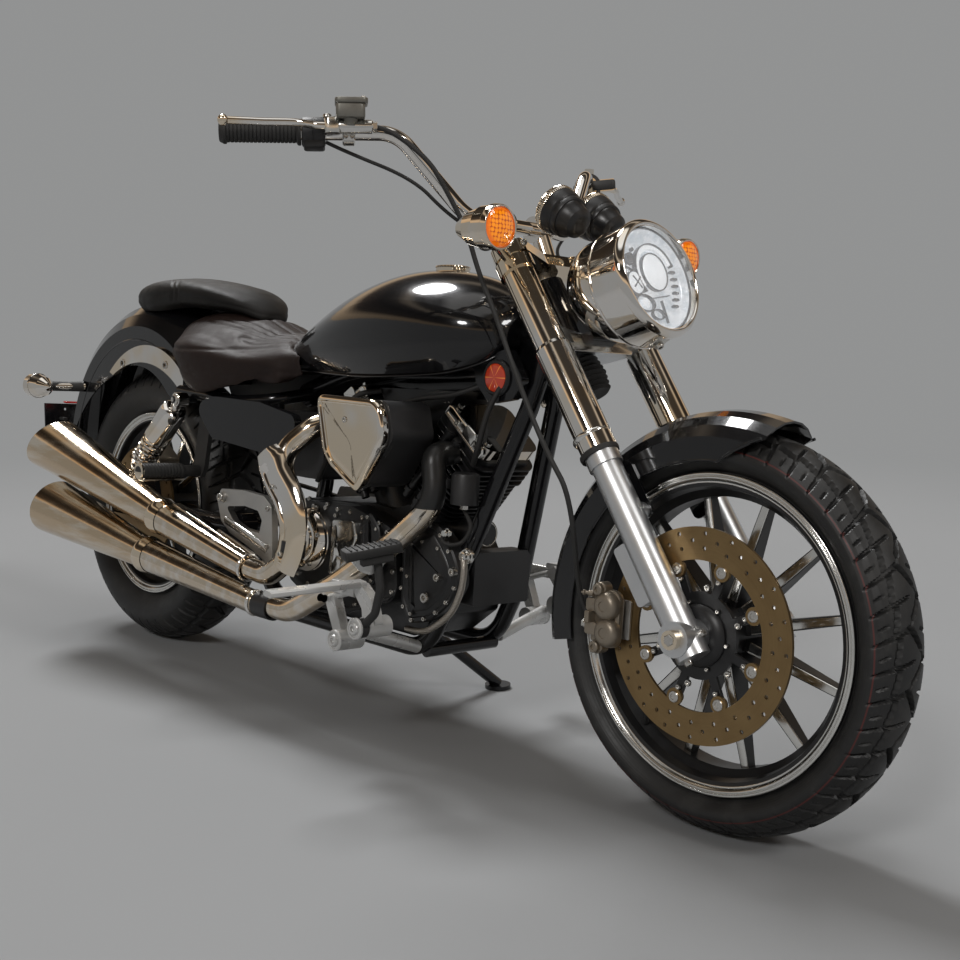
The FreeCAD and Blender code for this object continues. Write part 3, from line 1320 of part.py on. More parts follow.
# ---------------------------------------------------------------- the whole machine
def machine():
    wheel_front, tyre_front = front_wheel_parts()
    wheel_rear, tyre_rear, disc_rear = rear_wheel_parts()
    return {
        "front_wheel": wheel_front, "front_tyre": tyre_front, "front_brake_disc": front_disc(),
        "rear_wheel": wheel_rear, "rear_tyre": tyre_rear, "rear_brake_disc": disc_rear,
        "fork_sliders": fork_sliders(), "fork_covers": fork_covers(), "lower_yoke": lower_yoke(),
        "upper_yoke": upper_yoke(), "handlebar": handlebar(), "grips": grips(),
        "switch_housings": switch_housings(), "brake_master_cylinder": brake_master_cylinder(),
        "hand_levers": hand_levers(), "headlight_shell": headlight_shell(),
        "headlight_lens": headlight_lens(),
        "headlight_bracket": headlight_bracket(), "gauges": gauges(), "front_indicators": front_indicators(),
        "front_fender": front_fender(), "front_caliper": front_caliper(), "front_axle": front_axle(),
        "brake_hose": brake_hose(), "throttle_cable": throttle_cable(), "clutch_cable": clutch_cable(),
        "frame": frame(), "swingarm": swingarm(), "rear_axle": rear_axle(),
        "shock_absorbers": shock_absorbers(),
        "fuel_tank": fuel_tank(), "fuel_cap": fuel_cap(), "rider_seat": rider_seat(),
        "pillion_seat": pillion_seat(), "rear_fender": rear_fender(), "fender_rails": fender_rails(),
        "tail_light": tail_light(), "rear_indicators": rear_indicators(), "plate_bracket": plate_bracket(),
        "crankcase": crankcase(), "cylinders": cylinders(), "rocker_covers": rocker_covers(),
        "engine_covers": engine_covers(), "air_cleaner_body": air_cleaner_body(),
        "air_cleaner_shield": air_cleaner_shield(), "oil_filter": oil_filter(),
        "exhaust_pipes": exhaust_pipes(), "silencers": silencers(), "side_covers": side_covers(),
        "electronics_box": electronics_box(), "coil_cover": coil_cover(), "battery_box": battery_box(),
        "pivot_castings": pivot_castings(), "forward_controls": forward_controls(),
        "foot_pedals": foot_pedals(), "pillion_pegs": pillion_pegs(), "drive_belt": drive_belt(),
        "rear_caliper": rear_caliper(), "side_stand": side_stand(),
    }


def lean_placement():
    """Leans the upright machine over its tyres' contact line and sets it down on the ground."""
    drop = FRONT_CROWN_R * (1 - math.cos(math.radians(LEAN)))
    return FreeCAD.Placement(V(0, 0, drop), FreeCAD.Rotation(Y, LEAN))


def stand_placement(pieces):
    """The lean, and then the shift that puts the origin in the middle of the footprint."""
    lean = lean_placement()
    box = FreeCAD.BoundBox()
    for shape in pieces.values():
        turned_shape = shape.copy()
        turned_shape.Placement = lean.multiply(turned_shape.Placement)
        box.add(turned_shape.optimalBoundingBox(True, False))
    shift = FreeCAD.Placement(V(-box.Center.x, -box.Center.y, 0), FreeCAD.Rotation())
    return shift.multiply(lean)


def main():
    os.makedirs("parts", exist_ok=True)
    pieces = machine()
    place = stand_placement(pieces)
    for name, shape in pieces.items():
        shape.Placement = place.multiply(shape.Placement)
        shape.exportStep("parts/%s.step" % name)


if __name__ == "__main__":
    main()
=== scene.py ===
"""Looks of a cruiser motorcycle that leans on its side stand.

Sizes are millimetres on the upright machine: x across (rider's left is +x), y along (the front is -y), z up,
with the rear axle at y = 0.  placed() turns them into the leaned frame in metres.
"""
import bpy
import bmesh
import json
import math
import numpy as np
from mathutils import Matrix, Vector

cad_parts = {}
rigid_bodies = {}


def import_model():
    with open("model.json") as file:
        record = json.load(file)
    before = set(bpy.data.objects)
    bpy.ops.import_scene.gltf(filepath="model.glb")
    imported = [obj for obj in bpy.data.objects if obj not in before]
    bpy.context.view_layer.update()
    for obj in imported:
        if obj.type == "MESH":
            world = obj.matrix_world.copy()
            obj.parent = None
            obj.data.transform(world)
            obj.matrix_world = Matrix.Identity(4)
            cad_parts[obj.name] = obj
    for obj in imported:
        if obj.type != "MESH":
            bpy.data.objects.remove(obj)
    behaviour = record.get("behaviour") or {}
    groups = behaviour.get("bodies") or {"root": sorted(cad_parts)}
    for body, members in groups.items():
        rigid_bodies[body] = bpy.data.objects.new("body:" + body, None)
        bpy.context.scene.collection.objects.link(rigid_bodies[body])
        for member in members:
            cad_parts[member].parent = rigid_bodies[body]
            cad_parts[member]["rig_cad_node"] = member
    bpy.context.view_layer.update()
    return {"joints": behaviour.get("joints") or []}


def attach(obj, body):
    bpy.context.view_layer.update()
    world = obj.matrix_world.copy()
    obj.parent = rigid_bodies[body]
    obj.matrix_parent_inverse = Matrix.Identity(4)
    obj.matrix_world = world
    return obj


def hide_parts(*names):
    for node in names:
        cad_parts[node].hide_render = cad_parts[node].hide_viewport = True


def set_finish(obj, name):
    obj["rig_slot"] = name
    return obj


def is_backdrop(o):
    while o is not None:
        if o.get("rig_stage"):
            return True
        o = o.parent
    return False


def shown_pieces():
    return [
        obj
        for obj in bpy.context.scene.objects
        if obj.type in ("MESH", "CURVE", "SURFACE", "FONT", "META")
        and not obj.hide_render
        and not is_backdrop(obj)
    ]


bl_info = {
    "name": "Cruiser motorcycle",
    "version": (1, 0, 0),
    "blender": (4, 5, 0),
    "location": "View3D > Sidebar > Cruiser",
    "description": "Builds the finish, the trim and the soft parts of a cruiser motorcycle",
    "category": "Object",
}

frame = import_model()

# ---------------------------------------------------------------- places, taken from the frame
JOINTS = {j["name"]: j for j in frame["joints"]}
LEAN = math.radians(5.0)
UPRIGHT = np.array(Matrix.Rotation(LEAN, 3, "Y"))
REAR_AXLE = np.array([0.0, 0.0, 311.6])
SHIFT = np.array(JOINTS["rear_wheel_spin"]["pos_m"]) - UPRIGHT @ REAR_AXLE / 1000
FRONT_AXLE = (np.array(JOINTS["front_wheel_spin"]["pos_m"]) - SHIFT) @ UPRIGHT * 1000
RAKE = math.radians(36.1)
FORK_UP = np.array([0.0, math.sin(RAKE), math.cos(RAKE)])
FORK_OUT = np.array([0.0, -math.cos(RAKE), math.sin(RAKE)])
X, Y, Z = np.eye(3)
GAUGE_AXIS = np.array([0.0, 0.90, 0.436])
GAUGE_MIDDLE = np.array([0.0, -1216.0, 914.0])
GAUGE_X = 43.0                                  # each gauge's distance from the middle
LAMP_FACE = np.array([0.0, -1371.0, 820.0])
DISC_X = -76.5                                  # middle of the front brake disc
CASE_RIGHT, CASE_LEFT = -118.0, 112.0           # flat faces of the crankcase
PEG = (-160, -291, 415)                         # root of the right pillion peg
CHASSIS, STEERING = "chassis", "steering"
FRONT_WHEEL, REAR_WHEEL = "front_wheel_body", "rear_wheel_body"


def placed(points):
    """Upright millimetres to the leaned frame in metres."""
    return np.asarray(points, float) / 1000 @ UPRIGHT.T + SHIFT


def fork(x, ahead, along):
    """A point beside a fork leg: across, ahead of the legs' line and along it from the axle."""
    return FRONT_AXLE + X * x + FORK_OUT * ahead + FORK_UP * along


def unit(v):
    """The vector of length 1 along v."""
    v = np.asarray(v, float)
    return v / np.linalg.norm(v)


# ---------------------------------------------------------------- surfaces
class Shape:
    """Points in upright millimetres and the faces between them, as arrays of equal-sided faces."""

    def __init__(self, points, faces):
        self.points = np.asarray(points, float).reshape(-1, 3)
        self.faces = [np.asarray(f, int) for f in faces if len(f)]

    def moved(self, matrix, offset=(0, 0, 0)):
        return Shape(self.points @ np.asarray(matrix, float).T + np.asarray(offset, float), self.faces)

    def mirrored(self):
        return Shape(self.points * [-1, 1, 1], [f[:, ::-1] for f in self.faces])


def joined(shapes):
    """Several shapes as one."""
    points, faces, base = [], [], 0
    for s in shapes:
        points.append(s.points)
        faces += [f + base for f in s.faces]
        base += len(s.points)
    return Shape(np.vstack(points), faces)


def both_sides(shape):
    """A shape with its mirror image on the other side of the machine."""
    return joined([shape, shape.mirrored()])


def grid(points, around=False, ends=True, loop=False):
    """Quads over a grid of points (rows, columns, 3).

    around closes each row on itself, loop joins the last row to the first, and ends closes the first and last
    rows with a face each.
    """
    rows, cols = points.shape[:2]
    i = np.arange(rows if loop else rows - 1)[:, None]
    j = np.arange(cols if around else cols - 1)[None, :]
    a, b = i * cols + j, i * cols + (j + 1) % cols
    c, d = (i + 1) % rows * cols + (j + 1) % cols, (i + 1) % rows * cols + j
    faces = [np.stack([a, b, c, d], -1).reshape(-1, 4)]
    if ends and around and not loop:
        faces += [np.arange(cols)[None, ::-1], ((rows - 1) * cols + np.arange(cols))[None, :]]
    return Shape(points, faces)


def square_to(direction):
    """Two unit vectors square to a direction and to each other."""
    d = unit(direction)
    side = X if abs(d @ X) < 0.9 else Y
    u = unit(np.cross(d, side))
    return u, np.cross(d, u)


def turned(profile, origin, direction, sides=64):
    """A surface of revolution: each (along, radius) of the profile goes round the axis."""
    p = np.asarray(profile, float)
    d = unit(direction)
    u, v = square_to(d)
    a = np.linspace(0, 2 * math.pi, sides, endpoint=False)
    ring = np.cos(a)[:, None] * u + np.sin(a)[:, None] * v
    points = np.asarray(origin) + p[:, :1, None] * d + np.maximum(p[:, 1:, None], 0.02) * ring
    return grid(points, around=True)


def smooth(points, count):
    """A Catmull-Rom curve through the points, evenly spread over its parameter."""
    p = np.asarray(points, float)
    p = np.vstack([2 * p[0] - p[1], p, 2 * p[-1] - p[-2]])
    t = np.linspace(0, len(p) - 3 - 1e-9, count)
    i = t.astype(int)
    f = (t - i)[:, None]
    a, b, c, d = p[i], p[i + 1], p[i + 2], p[i + 3]
    return 0.5 * (2 * b + (c - a) * f + (2 * a - 5 * b + 4 * c - d) * f ** 2 + (3 * b - a - 3 * c + d) * f ** 3)


def along_path(path, section, up=None):
    """Carries a section (n, 2), or one per path point (m, n, 2), along a path, square to it."""
    path = np.asarray(path, float)
    t = np.gradient(path, axis=0)
    t /= np.linalg.norm(t, axis=1)[:, None]
    if up is None:
        up = square_to(t[0])[0]
        ups = [up]
        for k in range(1, len(path)):
            w = ups[-1] - t[k] * (ups[-1] @ t[k])
            ups.append(w / np.linalg.norm(w))
        v = np.array(ups)
    else:
        v = np.asarray(up, float) - t * (t @ np.asarray(up, float))[:, None]
        v /= np.linalg.norm(v, axis=1)[:, None]
    u = np.cross(v, t)
    section = np.asarray(section, float)
    if section.ndim == 2:
        section = np.broadcast_to(section, (len(path),) + section.shape)
    points = path[:, None] + section[..., :1] * u[:, None] + section[..., 1:] * v[:, None]
    return grid(points, around=True)


def circle(radius, sides=16):
    """A regular outline about the origin."""
    a = np.linspace(0, 2 * math.pi, sides, endpoint=False)
    return np.stack([np.cos(a), np.sin(a)], -1) * radius


def tube(points, radius, count=None, sides=16):
    """A round tube along a smooth curve through points; radius may be one number or one per point."""
    n = count or 12 * (len(points) - 1) + 1
    path = smooth(points, n)
    r = np.interp(np.linspace(0, 1, n), np.linspace(0, 1, np.size(radius)), np.atleast_1d(radius))
    return along_path(path, circle(1, sides)[None] * r[:, None, None])


def rounded(width, height, radius, per_corner=5):
    """A rectangle's outline with round corners, anticlockwise from the right."""
    a = np.linspace(0, math.pi / 2, per_corner)
    corner = np.stack([np.cos(a), np.sin(a)], -1) * radius
    w, h = width / 2 - radius, height / 2 - radius
    turn = np.array([[0, -1], [1, 0]])
    out = []
    for k, centre in enumerate([(w, h), (-w, h), (-w, -h), (w, -h)]):
        out.append(corner @ np.linalg.matrix_power(turn, k).T + centre)
    return np.vstack(out)


def offset(outline, distance):
    """The outline moved inwards along its normals."""
    e = np.roll(outline, -1, 0) - outline
    e /= np.maximum(np.linalg.norm(e, axis=1), 1e-9)[:, None]
    n = np.stack([-e[:, 1], e[:, 0]], -1)
    m = n + np.roll(n, 1, 0)
    m /= np.maximum((m * m).sum(1), 0.5)[:, None] / 2
    return outline + m * distance


def anticlockwise(outline):
    """The outline, turned round if it runs clockwise."""
    o = np.asarray(outline, float)
    area = np.sum(o[:, 0] * np.roll(o[:, 1], -1) - o[:, 1] * np.roll(o[:, 0], -1))
    return o if area > 0 else o[::-1]


def slab(outline, origin, u, v, thick, bevel=1.0, steps=3):
    """A plate: the outline in the plane of u and v, its rim rounded by a quarter circle on both faces."""
    outline = anticlockwise(outline)
    n = np.cross(u, v)
    a = np.linspace(0, math.pi / 2, steps)
    rings = [(offset(outline, bevel * (1 - math.sin(k))), bevel * (1 - math.cos(k))) for k in a]
    rings += [(offset(outline, bevel * (1 - math.cos(k))), thick - bevel * (1 - math.sin(k))) for k in a]
    points = [np.asarray(origin) + o[:, :1] * u + o[:, 1:] * v + h * n for o, h in rings]
    return grid(np.array(points), around=True)


def brick(centre, size, u, v, radius=2.0, bevel=1.0):
    """A block with rounded edges: size is along u, v and square to both."""
    u, v = unit(u), unit(v)
    n = np.cross(u, v)
    radius = min(radius, size[0] / 2 - 0.1, size[1] / 2 - 0.1)
    return slab(rounded(size[0], size[1], radius), np.asarray(centre) - n * size[2] / 2, u, v, size[2], bevel)


def bolt_head(radius, height):
    """A domed socket screw standing on the plane z = 0."""
    outside = [(0, 0), (0, radius), (height * 0.7, radius), (height, radius * 0.86)]
    socket = [(height, radius * 0.5), (height * 0.35, radius * 0.5), (height * 0.35, 0)]
    return turned(outside + socket, (0, 0, 0), Z, 12)


def hexagon_head(radius, height):
    """A hexagon bolt's head standing on the plane z = 0."""
    outline = circle(radius, 6)
    return slab(outline, (0, 0, 0), X, Y, height, radius * 0.12, 2)


def stood(shape, at, direction, turn=0.0):
    """A small shape modelled on z = 0 stood on a point, looking along a direction."""
    u, v = square_to(direction)
    c, s = math.cos(turn), math.sin(turn)
    return shape.moved(np.stack([u * c + v * s, v * c - u * s, unit(direction)], 1), at)


def mesh_of(name, points, faces):
    """A mesh from an array of points and arrays of equal-sided faces."""
    mesh = bpy.data.meshes.new(name)
    mesh.vertices.add(len(points))
    mesh.vertices.foreach_set("co", np.ravel(points))
    counts = np.concatenate([np.full(len(f), f.shape[1]) for f in faces])
    corners = np.concatenate([f.ravel() for f in faces])
    mesh.loops.add(len(corners))
    mesh.loops.foreach_set("vertex_index", corners)
    mesh.polygons.add(len(counts))
    mesh.polygons.foreach_set("loop_start", np.concatenate([[0], np.cumsum(counts)[:-1]]))
    mesh.update(calc_edges=True)
    return mesh


def linked(name, data):
    """A new object in the scene that holds some data."""
    obj = bpy.data.objects.new(name, data)
    bpy.context.scene.collection.objects.link(obj)
    return obj


def values(items, key, width=1, kind=float):
    """One property of all items of a mesh as an array."""
    out = np.empty(len(items) * width, kind)
    items.foreach_get(key, out)
    return out.reshape(-1, width) if width > 1 else out


def made(name, shape, material, body, slot, smooth_angle=35.0, replaces=()):
    """Puts a shape into a Blender object that rides on a body."""
    mesh = mesh_of(name, placed(shape.points), shape.faces)
    bm = bmesh.new()
    bm.from_mesh(mesh)
    bmesh.ops.remove_doubles(bm, verts=bm.verts, dist=1e-6)
    bmesh.ops.recalc_face_normals(bm, faces=bm.faces)
    bm.to_mesh(mesh)
    bm.free()
    mesh.shade_smooth()
    mesh.set_sharp_from_angle(angle=math.radians(smooth_angle))
    obj = linked(name, mesh)
    mesh.materials.append(material)
    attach(obj, body)
    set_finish(obj, slot)
    if replaces:
        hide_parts(*replaces)
    return obj


# ---------------------------------------------------------------- shader maths
class Socket:
    """A shader output that takes part in Python expressions."""

    def __init__(self, finish, out):
        self.finish, self.out = finish, out

    def math(self, op, *others):
        return self.finish.add("ShaderNodeMath", {"operation": op}, {i: v for i, v in enumerate([self, *others])})

    def __add__(self, o): return self.math("ADD", o)
    def __sub__(self, o): return self.math("SUBTRACT", o)
    def __mul__(self, o): return self.math("MULTIPLY", o)
    def __pow__(self, o): return self.math("POWER", o)
    def __lt__(self, o): return self.math("LESS_THAN", o)
    def __gt__(self, o): return self.math("GREATER_THAN", o)
    def __rsub__(self, o): return self.finish.add("ShaderNodeMath", {"operation": "SUBTRACT"}, {0: o, 1: self})
    def __abs__(self): return self.math("ABSOLUTE")
    __radd__, __rmul__ = __add__, __mul__


class Finish:
    """One material: nodes come from add(), and the surface from surface()."""

    def __init__(self, name):
        self.material = bpy.data.materials.new(name)
        self.material.use_nodes = True
        self.tree = self.material.node_tree
        self.tree.nodes.clear()

    def add(self, kind, settings=None, inputs=None, out=0):
        node = self.tree.nodes.new(kind)
        for key, value in (settings or {}).items():
            if key == "stops":
                self.stops(node.color_ramp, value)
            else:
                setattr(node, key, value)
        for key, value in (inputs or {}).items():
            if isinstance(value, Socket):
                self.tree.links.new(value.out, node.inputs[key])
            else:
                node.inputs[key].default_value = value
        return Socket(self, node.outputs[out])

    @staticmethod
    def stops(ramp, stops):
        while len(ramp.elements) < len(stops):
            ramp.elements.new(0.5)
        for element, (at, value) in zip(ramp.elements, stops):
            element.position = at
            element.color = (value, value, value, 1) if np.ndim(value) == 0 else (*value, 1)

    def place(self, about=(0, 0, 0)):
        """Upright coordinates in metres about a point given in upright millimetres."""
        here = self.add("ShaderNodeTexCoord", out="Object")
        centre = UPRIGHT.T @ placed([about])[0]
        return self.add("ShaderNodeMapping", {"vector_type": "POINT"},
                        {"Vector": here, "Rotation": (0, -LEAN, 0), "Location": tuple(-centre)})

    def split(self, vector):
        return [self.add("ShaderNodeSeparateXYZ", None, {0: vector}, k) for k in range(3)]

    def noise(self, vector, scale, detail=4.0, rough=0.5):
        return self.add("ShaderNodeTexNoise", None,
                        {"Vector": vector, "Scale": scale, "Detail": detail, "Roughness": rough}, "Fac")

    def ramp(self, value, low, high, first=0.0, last=1.0):
        return self.add("ShaderNodeMapRange", {"interpolation_type": "SMOOTHSTEP"},
                        {"Value": value, "From Min": low, "From Max": high, "To Min": first, "To Max": last})

    def mix(self, share, a, b):
        a, b = [(*c, 1) if isinstance(c, (tuple, list)) and len(c) == 3 else c for c in (a, b)]
        return self.add("ShaderNodeMix", {"data_type": "RGBA"}, {"Factor": share, 6: a, 7: b}, 2)

    def bump(self, height, strength=0.3, distance=0.001):
        return self.add("ShaderNodeBump", None, {"Strength": strength, "Distance": distance, "Height": height})

    def surface(self, color, roughness, metallic=0.0, normal=None, **rest):
        color = (*color, 1) if isinstance(color, (tuple, list)) and len(color) == 3 else color
        inputs = {"Base Color": color, "Roughness": roughness, "Metallic": metallic}
        if normal is not None:
            inputs["Normal"] = normal
        inputs.update(rest)
        shader = self.add("ShaderNodeBsdfPrincipled", None, inputs)
        self.add_output(shader)
        return self.material

    def add_output(self, shader):
        node = self.tree.nodes.new("ShaderNodeOutputMaterial")
        self.tree.links.new(shader.out, node.inputs["Surface"])


MATERIALS = {}


def finish(function):
    """Each finish is made once, the first time that it is asked for."""
    def once(*args):
        key = (function.__name__, *args)
        if key not in MATERIALS:
            MATERIALS[key] = function(*args)
        return MATERIALS[key]
    return once


def plain(name, tone, dark, light, rough, metallic=0.0, grain=None, press=()):
    """A finish whose colour and roughness follow one soft noise, with a finer grain pressed into it.

    tone and grain are a noise's scale, detail and roughness; rough is the noise's range and the roughness at its
    ends; press is the grain's strength and its depth in metres.
    """
    def build():
        f = Finish(name)
        p = f.place()
        soft_tone = f.noise(p, *tone)
        normal = f.bump(f.noise(p, *grain), *press) if grain else None
        return f.surface(f.mix(soft_tone, dark, light), f.ramp(soft_tone, *rough), metallic, normal)
    build.__name__ = name
    return finish(build)


satin_black = plain("satin_black", (14.0, 5.0, 0.6), (0.006, 0.006, 0.0065), (0.016, 0.016, 0.017),
                    (0.3, 0.75, 0.30, 0.46), 0.0, (420.0, 3.0), (0.10, 0.0004))
gloss_black = plain("gloss_black", (90.0, 3.0), (0.004, 0.004, 0.005), (0.009, 0.009, 0.010),
                    (0.3, 0.7, 0.10, 0.18), 0.0, (90.0, 3.0), (0.03, 0.0004))
black_plastic = plain("black_plastic", (20.0, 3.0), (0.012, 0.012, 0.013), (0.024, 0.024, 0.025),
                      (0.3, 0.7, 0.42, 0.55), 0.0, (1100.0, 2.0), (0.18, 0.0003))
black_rubber = plain("black_rubber", (25.0, 4.0), (0.010, 0.010, 0.010), (0.024, 0.023, 0.022),
                     (0.3, 0.7, 0.55, 0.72), 0.0, (500.0, 4.0), (0.2, 0.0004))
satin_aluminium = plain("satin_aluminium", (12.0, 4.0), (0.60, 0.61, 0.62), (0.72, 0.73, 0.74),
                        (0.3, 0.7, 0.30, 0.40), 1.0, (800.0, 2.0), (0.08, 0.0003))
bright_casting = plain("bright_casting", (18.0, 4.0), (0.50, 0.50, 0.49), (0.66, 0.66, 0.65),
                       (0.3, 0.7, 0.24, 0.36), 0.45, (500.0, 3.0), (0.10, 0.0003))
cast_aluminium = plain("cast_aluminium", (16.0, 5.0, 0.6), (0.40, 0.39, 0.37), (0.60, 0.59, 0.57),
                       (0.3, 0.7, 0.34, 0.52), 1.0, (300.0, 5.0, 0.6), (0.2, 0.0004))
polished_aluminium = plain("polished_aluminium", (60.0, 6.0, 0.7), (0.66, 0.65, 0.62), (0.78, 0.77, 0.74),
                           (0.3, 0.8, 0.14, 0.24), 1.0, (60.0, 6.0, 0.7), (0.03, 0.0004))
steel = plain("steel", (80.0, 4.0), (0.52, 0.50, 0.47), (0.68, 0.66, 0.62), (0.3, 0.7, 0.18, 0.32), 1.0)
grey_metal = plain("grey_metal", (30.0, 4.0), (0.15, 0.145, 0.13), (0.24, 0.235, 0.21),
                   (0.3, 0.7, 0.38, 0.5), 0.7, (700.0, 3.0), (0.12, 0.0003))


@finish
def chrome():
    """Bright plating, with warm tan patches in places that are a painted reflection of warm surroundings."""
    f = Finish("chrome")
    p = f.place()
    smear = f.noise(p, 9.0, 5.0, 0.6)
    wave = f.noise(p, 30.0, 2.0)
    # warm: where the plating turns tan, a painted reflection of warm surroundings
    warm = f.ramp(f.noise(p, 5.5, 3.0, 0.55), 0.42, 0.60)
    color = f.mix(warm, f.mix(smear, (0.84, 0.82, 0.79), (0.76, 0.73, 0.69)), (0.80, 0.69, 0.54))
    return f.surface(color, f.ramp(smear, 0.4, 0.8, 0.04, 0.10), 1.0, f.bump(wave, 0.04, 0.0006))


@finish
def black_paint():
    """Black lacquer under a clear coat."""
    f = Finish("black_paint")
    p = f.place()
    flake = f.noise(p, 900.0, 1.0)
    dust = f.noise(p, 6.0, 6.0, 0.6)
    color = f.mix(flake, (0.0025, 0.0025, 0.003), (0.007, 0.007, 0.008))
    return f.surface(color, f.ramp(dust, 0.3, 0.8, 0.14, 0.24), 0.0, None,
                     **{"Coat Weight": 0.9, "Coat Roughness": 0.02, "Specular IOR Level": 0.15})


@finish
def bronze_paint():
    f = Finish("bronze_paint")
    p = f.place()
    flake = f.noise(p, 1500.0, 1.0)
    tone = f.noise(p, 40.0, 4.0)
    color = f.mix(flake * 0.5 + tone * 0.5, (0.21, 0.18, 0.14), (0.36, 0.31, 0.25))
    return f.surface(color, 0.42, 0.75, f.bump(flake, 0.05, 0.0002))


@finish
def tyre_rubber(r_line, centre):
    """Tyre black, with fine rings on the sidewall and a thin red line round it."""
    f = Finish("tyre_rubber_%d" % r_line)
    x, y, z = f.split(f.place(centre))
    r = (y * y + z * z) ** 0.5
    side = f.ramp(abs(x), 0.040, 0.046)
    line = (abs(r - r_line / 1000) < 0.0009) * side
    rings = (r * 1900.0).math("SINE") * 0.5 + 0.5
    p = f.place(centre)
    dust = f.noise(p, 26.0, 6.0, 0.65)
    grain = f.noise(p, 700.0, 3.0)
    black = f.mix(f.ramp(dust, 0.45, 0.8), (0.010, 0.010, 0.010), (0.030, 0.029, 0.027))
    color = f.mix(line, black, (0.075, 0.014, 0.012))
    rough = f.ramp(dust, 0.3, 0.8, 0.44, 0.66)
    return f.surface(color, rough, 0.0, f.bump(grain * 0.4 + rings * side * 0.6, 0.22, 0.0006))


@finish
def brake_steel(centre):
    """Bronze-brown disc steel, brushed in rings."""
    f = Finish("brake_steel")
    x, y, z = f.split(f.place(centre))
    r = (y * y + z * z) ** 0.5
    rings = f.noise(f.add("ShaderNodeCombineXYZ", None, {0: r * 900.0, 1: x * 20.0}), 1.0, 3.0)
    tone = f.noise(f.place(centre), 24.0, 4.0)
    color = f.mix(tone * 0.6 + rings * 0.4, (0.17, 0.105, 0.045), (0.36, 0.25, 0.12))
    return f.surface(color, f.ramp(rings, 0.3, 0.7, 0.28, 0.42), 0.9, f.bump(rings, 0.12, 0.0002))


@finish
def silencer_chrome():
    """Chrome with long warm streaks down the megaphones, a painted reflection of warm surroundings."""
    f = Finish("silencer_chrome")
    p = f.add("ShaderNodeMapping", {"vector_type": "POINT"},
              {"Vector": f.place((0, 0, 300)), "Scale": (1.0, 0.12, 1.0), "Rotation": (0.35, 0, 0)})
    streak = f.noise(p, 26.0, 5.0, 0.62)
    # warm: tan streaks that are a painted reflection of warm surroundings
    warm = f.ramp(streak, 0.42, 0.62)
    color = f.mix(warm, (0.66, 0.52, 0.36), (0.80, 0.72, 0.60))
    return f.surface(color, f.ramp(streak, 0.35, 0.7, 0.10, 0.20), 1.0, f.bump(streak, 0.04, 0.0006))


@finish
def header_chrome():
    """Chrome pipes that turn black where they leave the front head, behind the covers."""
    f = Finish("header_chrome")
    p = f.place()
    _, y, z = f.split(p)
    warm_reflection_and_roughness = f.noise(p, 40.0, 4.0)
    near = (z > 0.422) * (y < -0.86)
    # warm: tan patches on the chrome, a painted reflection of warm surroundings; the same noise varies the roughness
    warm = f.mix(f.ramp(warm_reflection_and_roughness, 0.4, 0.7), (0.70, 0.60, 0.47), (0.80, 0.75, 0.68))
    color = f.mix(near, warm, (0.012, 0.012, 0.012))
    return f.surface(color, f.ramp(warm_reflection_and_roughness, 0.3, 0.7, 0.07, 0.16) + near * 0.25, 1.0 - near)


@finish
def lamp_white():
    """The lamp's bright reflector."""
    f = Finish("lamp_white")
    p = f.place(LAMP_FACE)
    facets = f.add("ShaderNodeTexVoronoi", {"feature": "F1"}, {"Vector": p, "Scale": 210.0}, "Distance")
    tone = f.noise(p, 60.0, 4.0)
    color = f.mix(f.ramp(facets, 0.1, 0.6), (0.74, 0.77, 0.80), (0.50, 0.53, 0.57))
    return f.surface(color, 0.2, 0.2, f.bump(facets, 0.15, 0.001),
                     **{"Emission Color": f.mix(f.ramp(tone, 0.35, 0.65), (0.55, 0.62, 0.68), (0.95, 0.97, 1.0)),
                        "Emission Strength": 0.55})


@finish
def lamp_grey():
    """Dark grey of the rings and the gap inside the lamp."""
    f = Finish("lamp_grey")
    p = f.place(LAMP_FACE)
    tone = f.noise(p, 120.0, 3.0)
    return f.surface(f.mix(tone, (0.06, 0.065, 0.07), (0.20, 0.21, 0.22)), 0.18, 0.85)


@finish
def clear_glass():
    """Thin clear cover, nearly all see-through."""
    f = Finish("clear_glass")
    p = f.place(LAMP_FACE)
    haze = f.noise(p, 30.0, 3.0)
    return f.surface((0.95, 0.97, 1.0), f.ramp(haze, 0.3, 0.7, 0.02, 0.05), 0.0, None,
                     Alpha=f.ramp(haze, 0.2, 0.8, 0.08, 0.13))


@finish
def amber(centre):
    """Orange lens with a honeycomb of small prisms."""
    f = Finish("amber_lens")
    x, _, z = f.split(f.place(centre))
    flat = f.add("ShaderNodeCombineXYZ", None, {0: x, 1: z})
    cells = f.add("ShaderNodeTexVoronoi", {"feature": "F1", "distance": "EUCLIDEAN", "voronoi_dimensions": "2D"},
                  {"Vector": flat, "Scale": 150.0, "Randomness": 0.25}, "Distance")
    edge = f.ramp(cells, 0.30, 0.62)
    r = (x * x + z * z) ** 0.5
    rim = f.ramp(r, 0.021, 0.028)
    color = f.mix(edge, (1.0, 0.29, 0.004), (0.42, 0.07, 0.002))
    color = f.mix(rim, color, (0.80, 0.15, 0.002))
    return f.surface(color, 0.12, 0.0, f.bump(cells, 0.5, 0.0015),
                     **{"Emission Color": color, "Emission Strength": 0.45, "Coat Weight": 1.0})


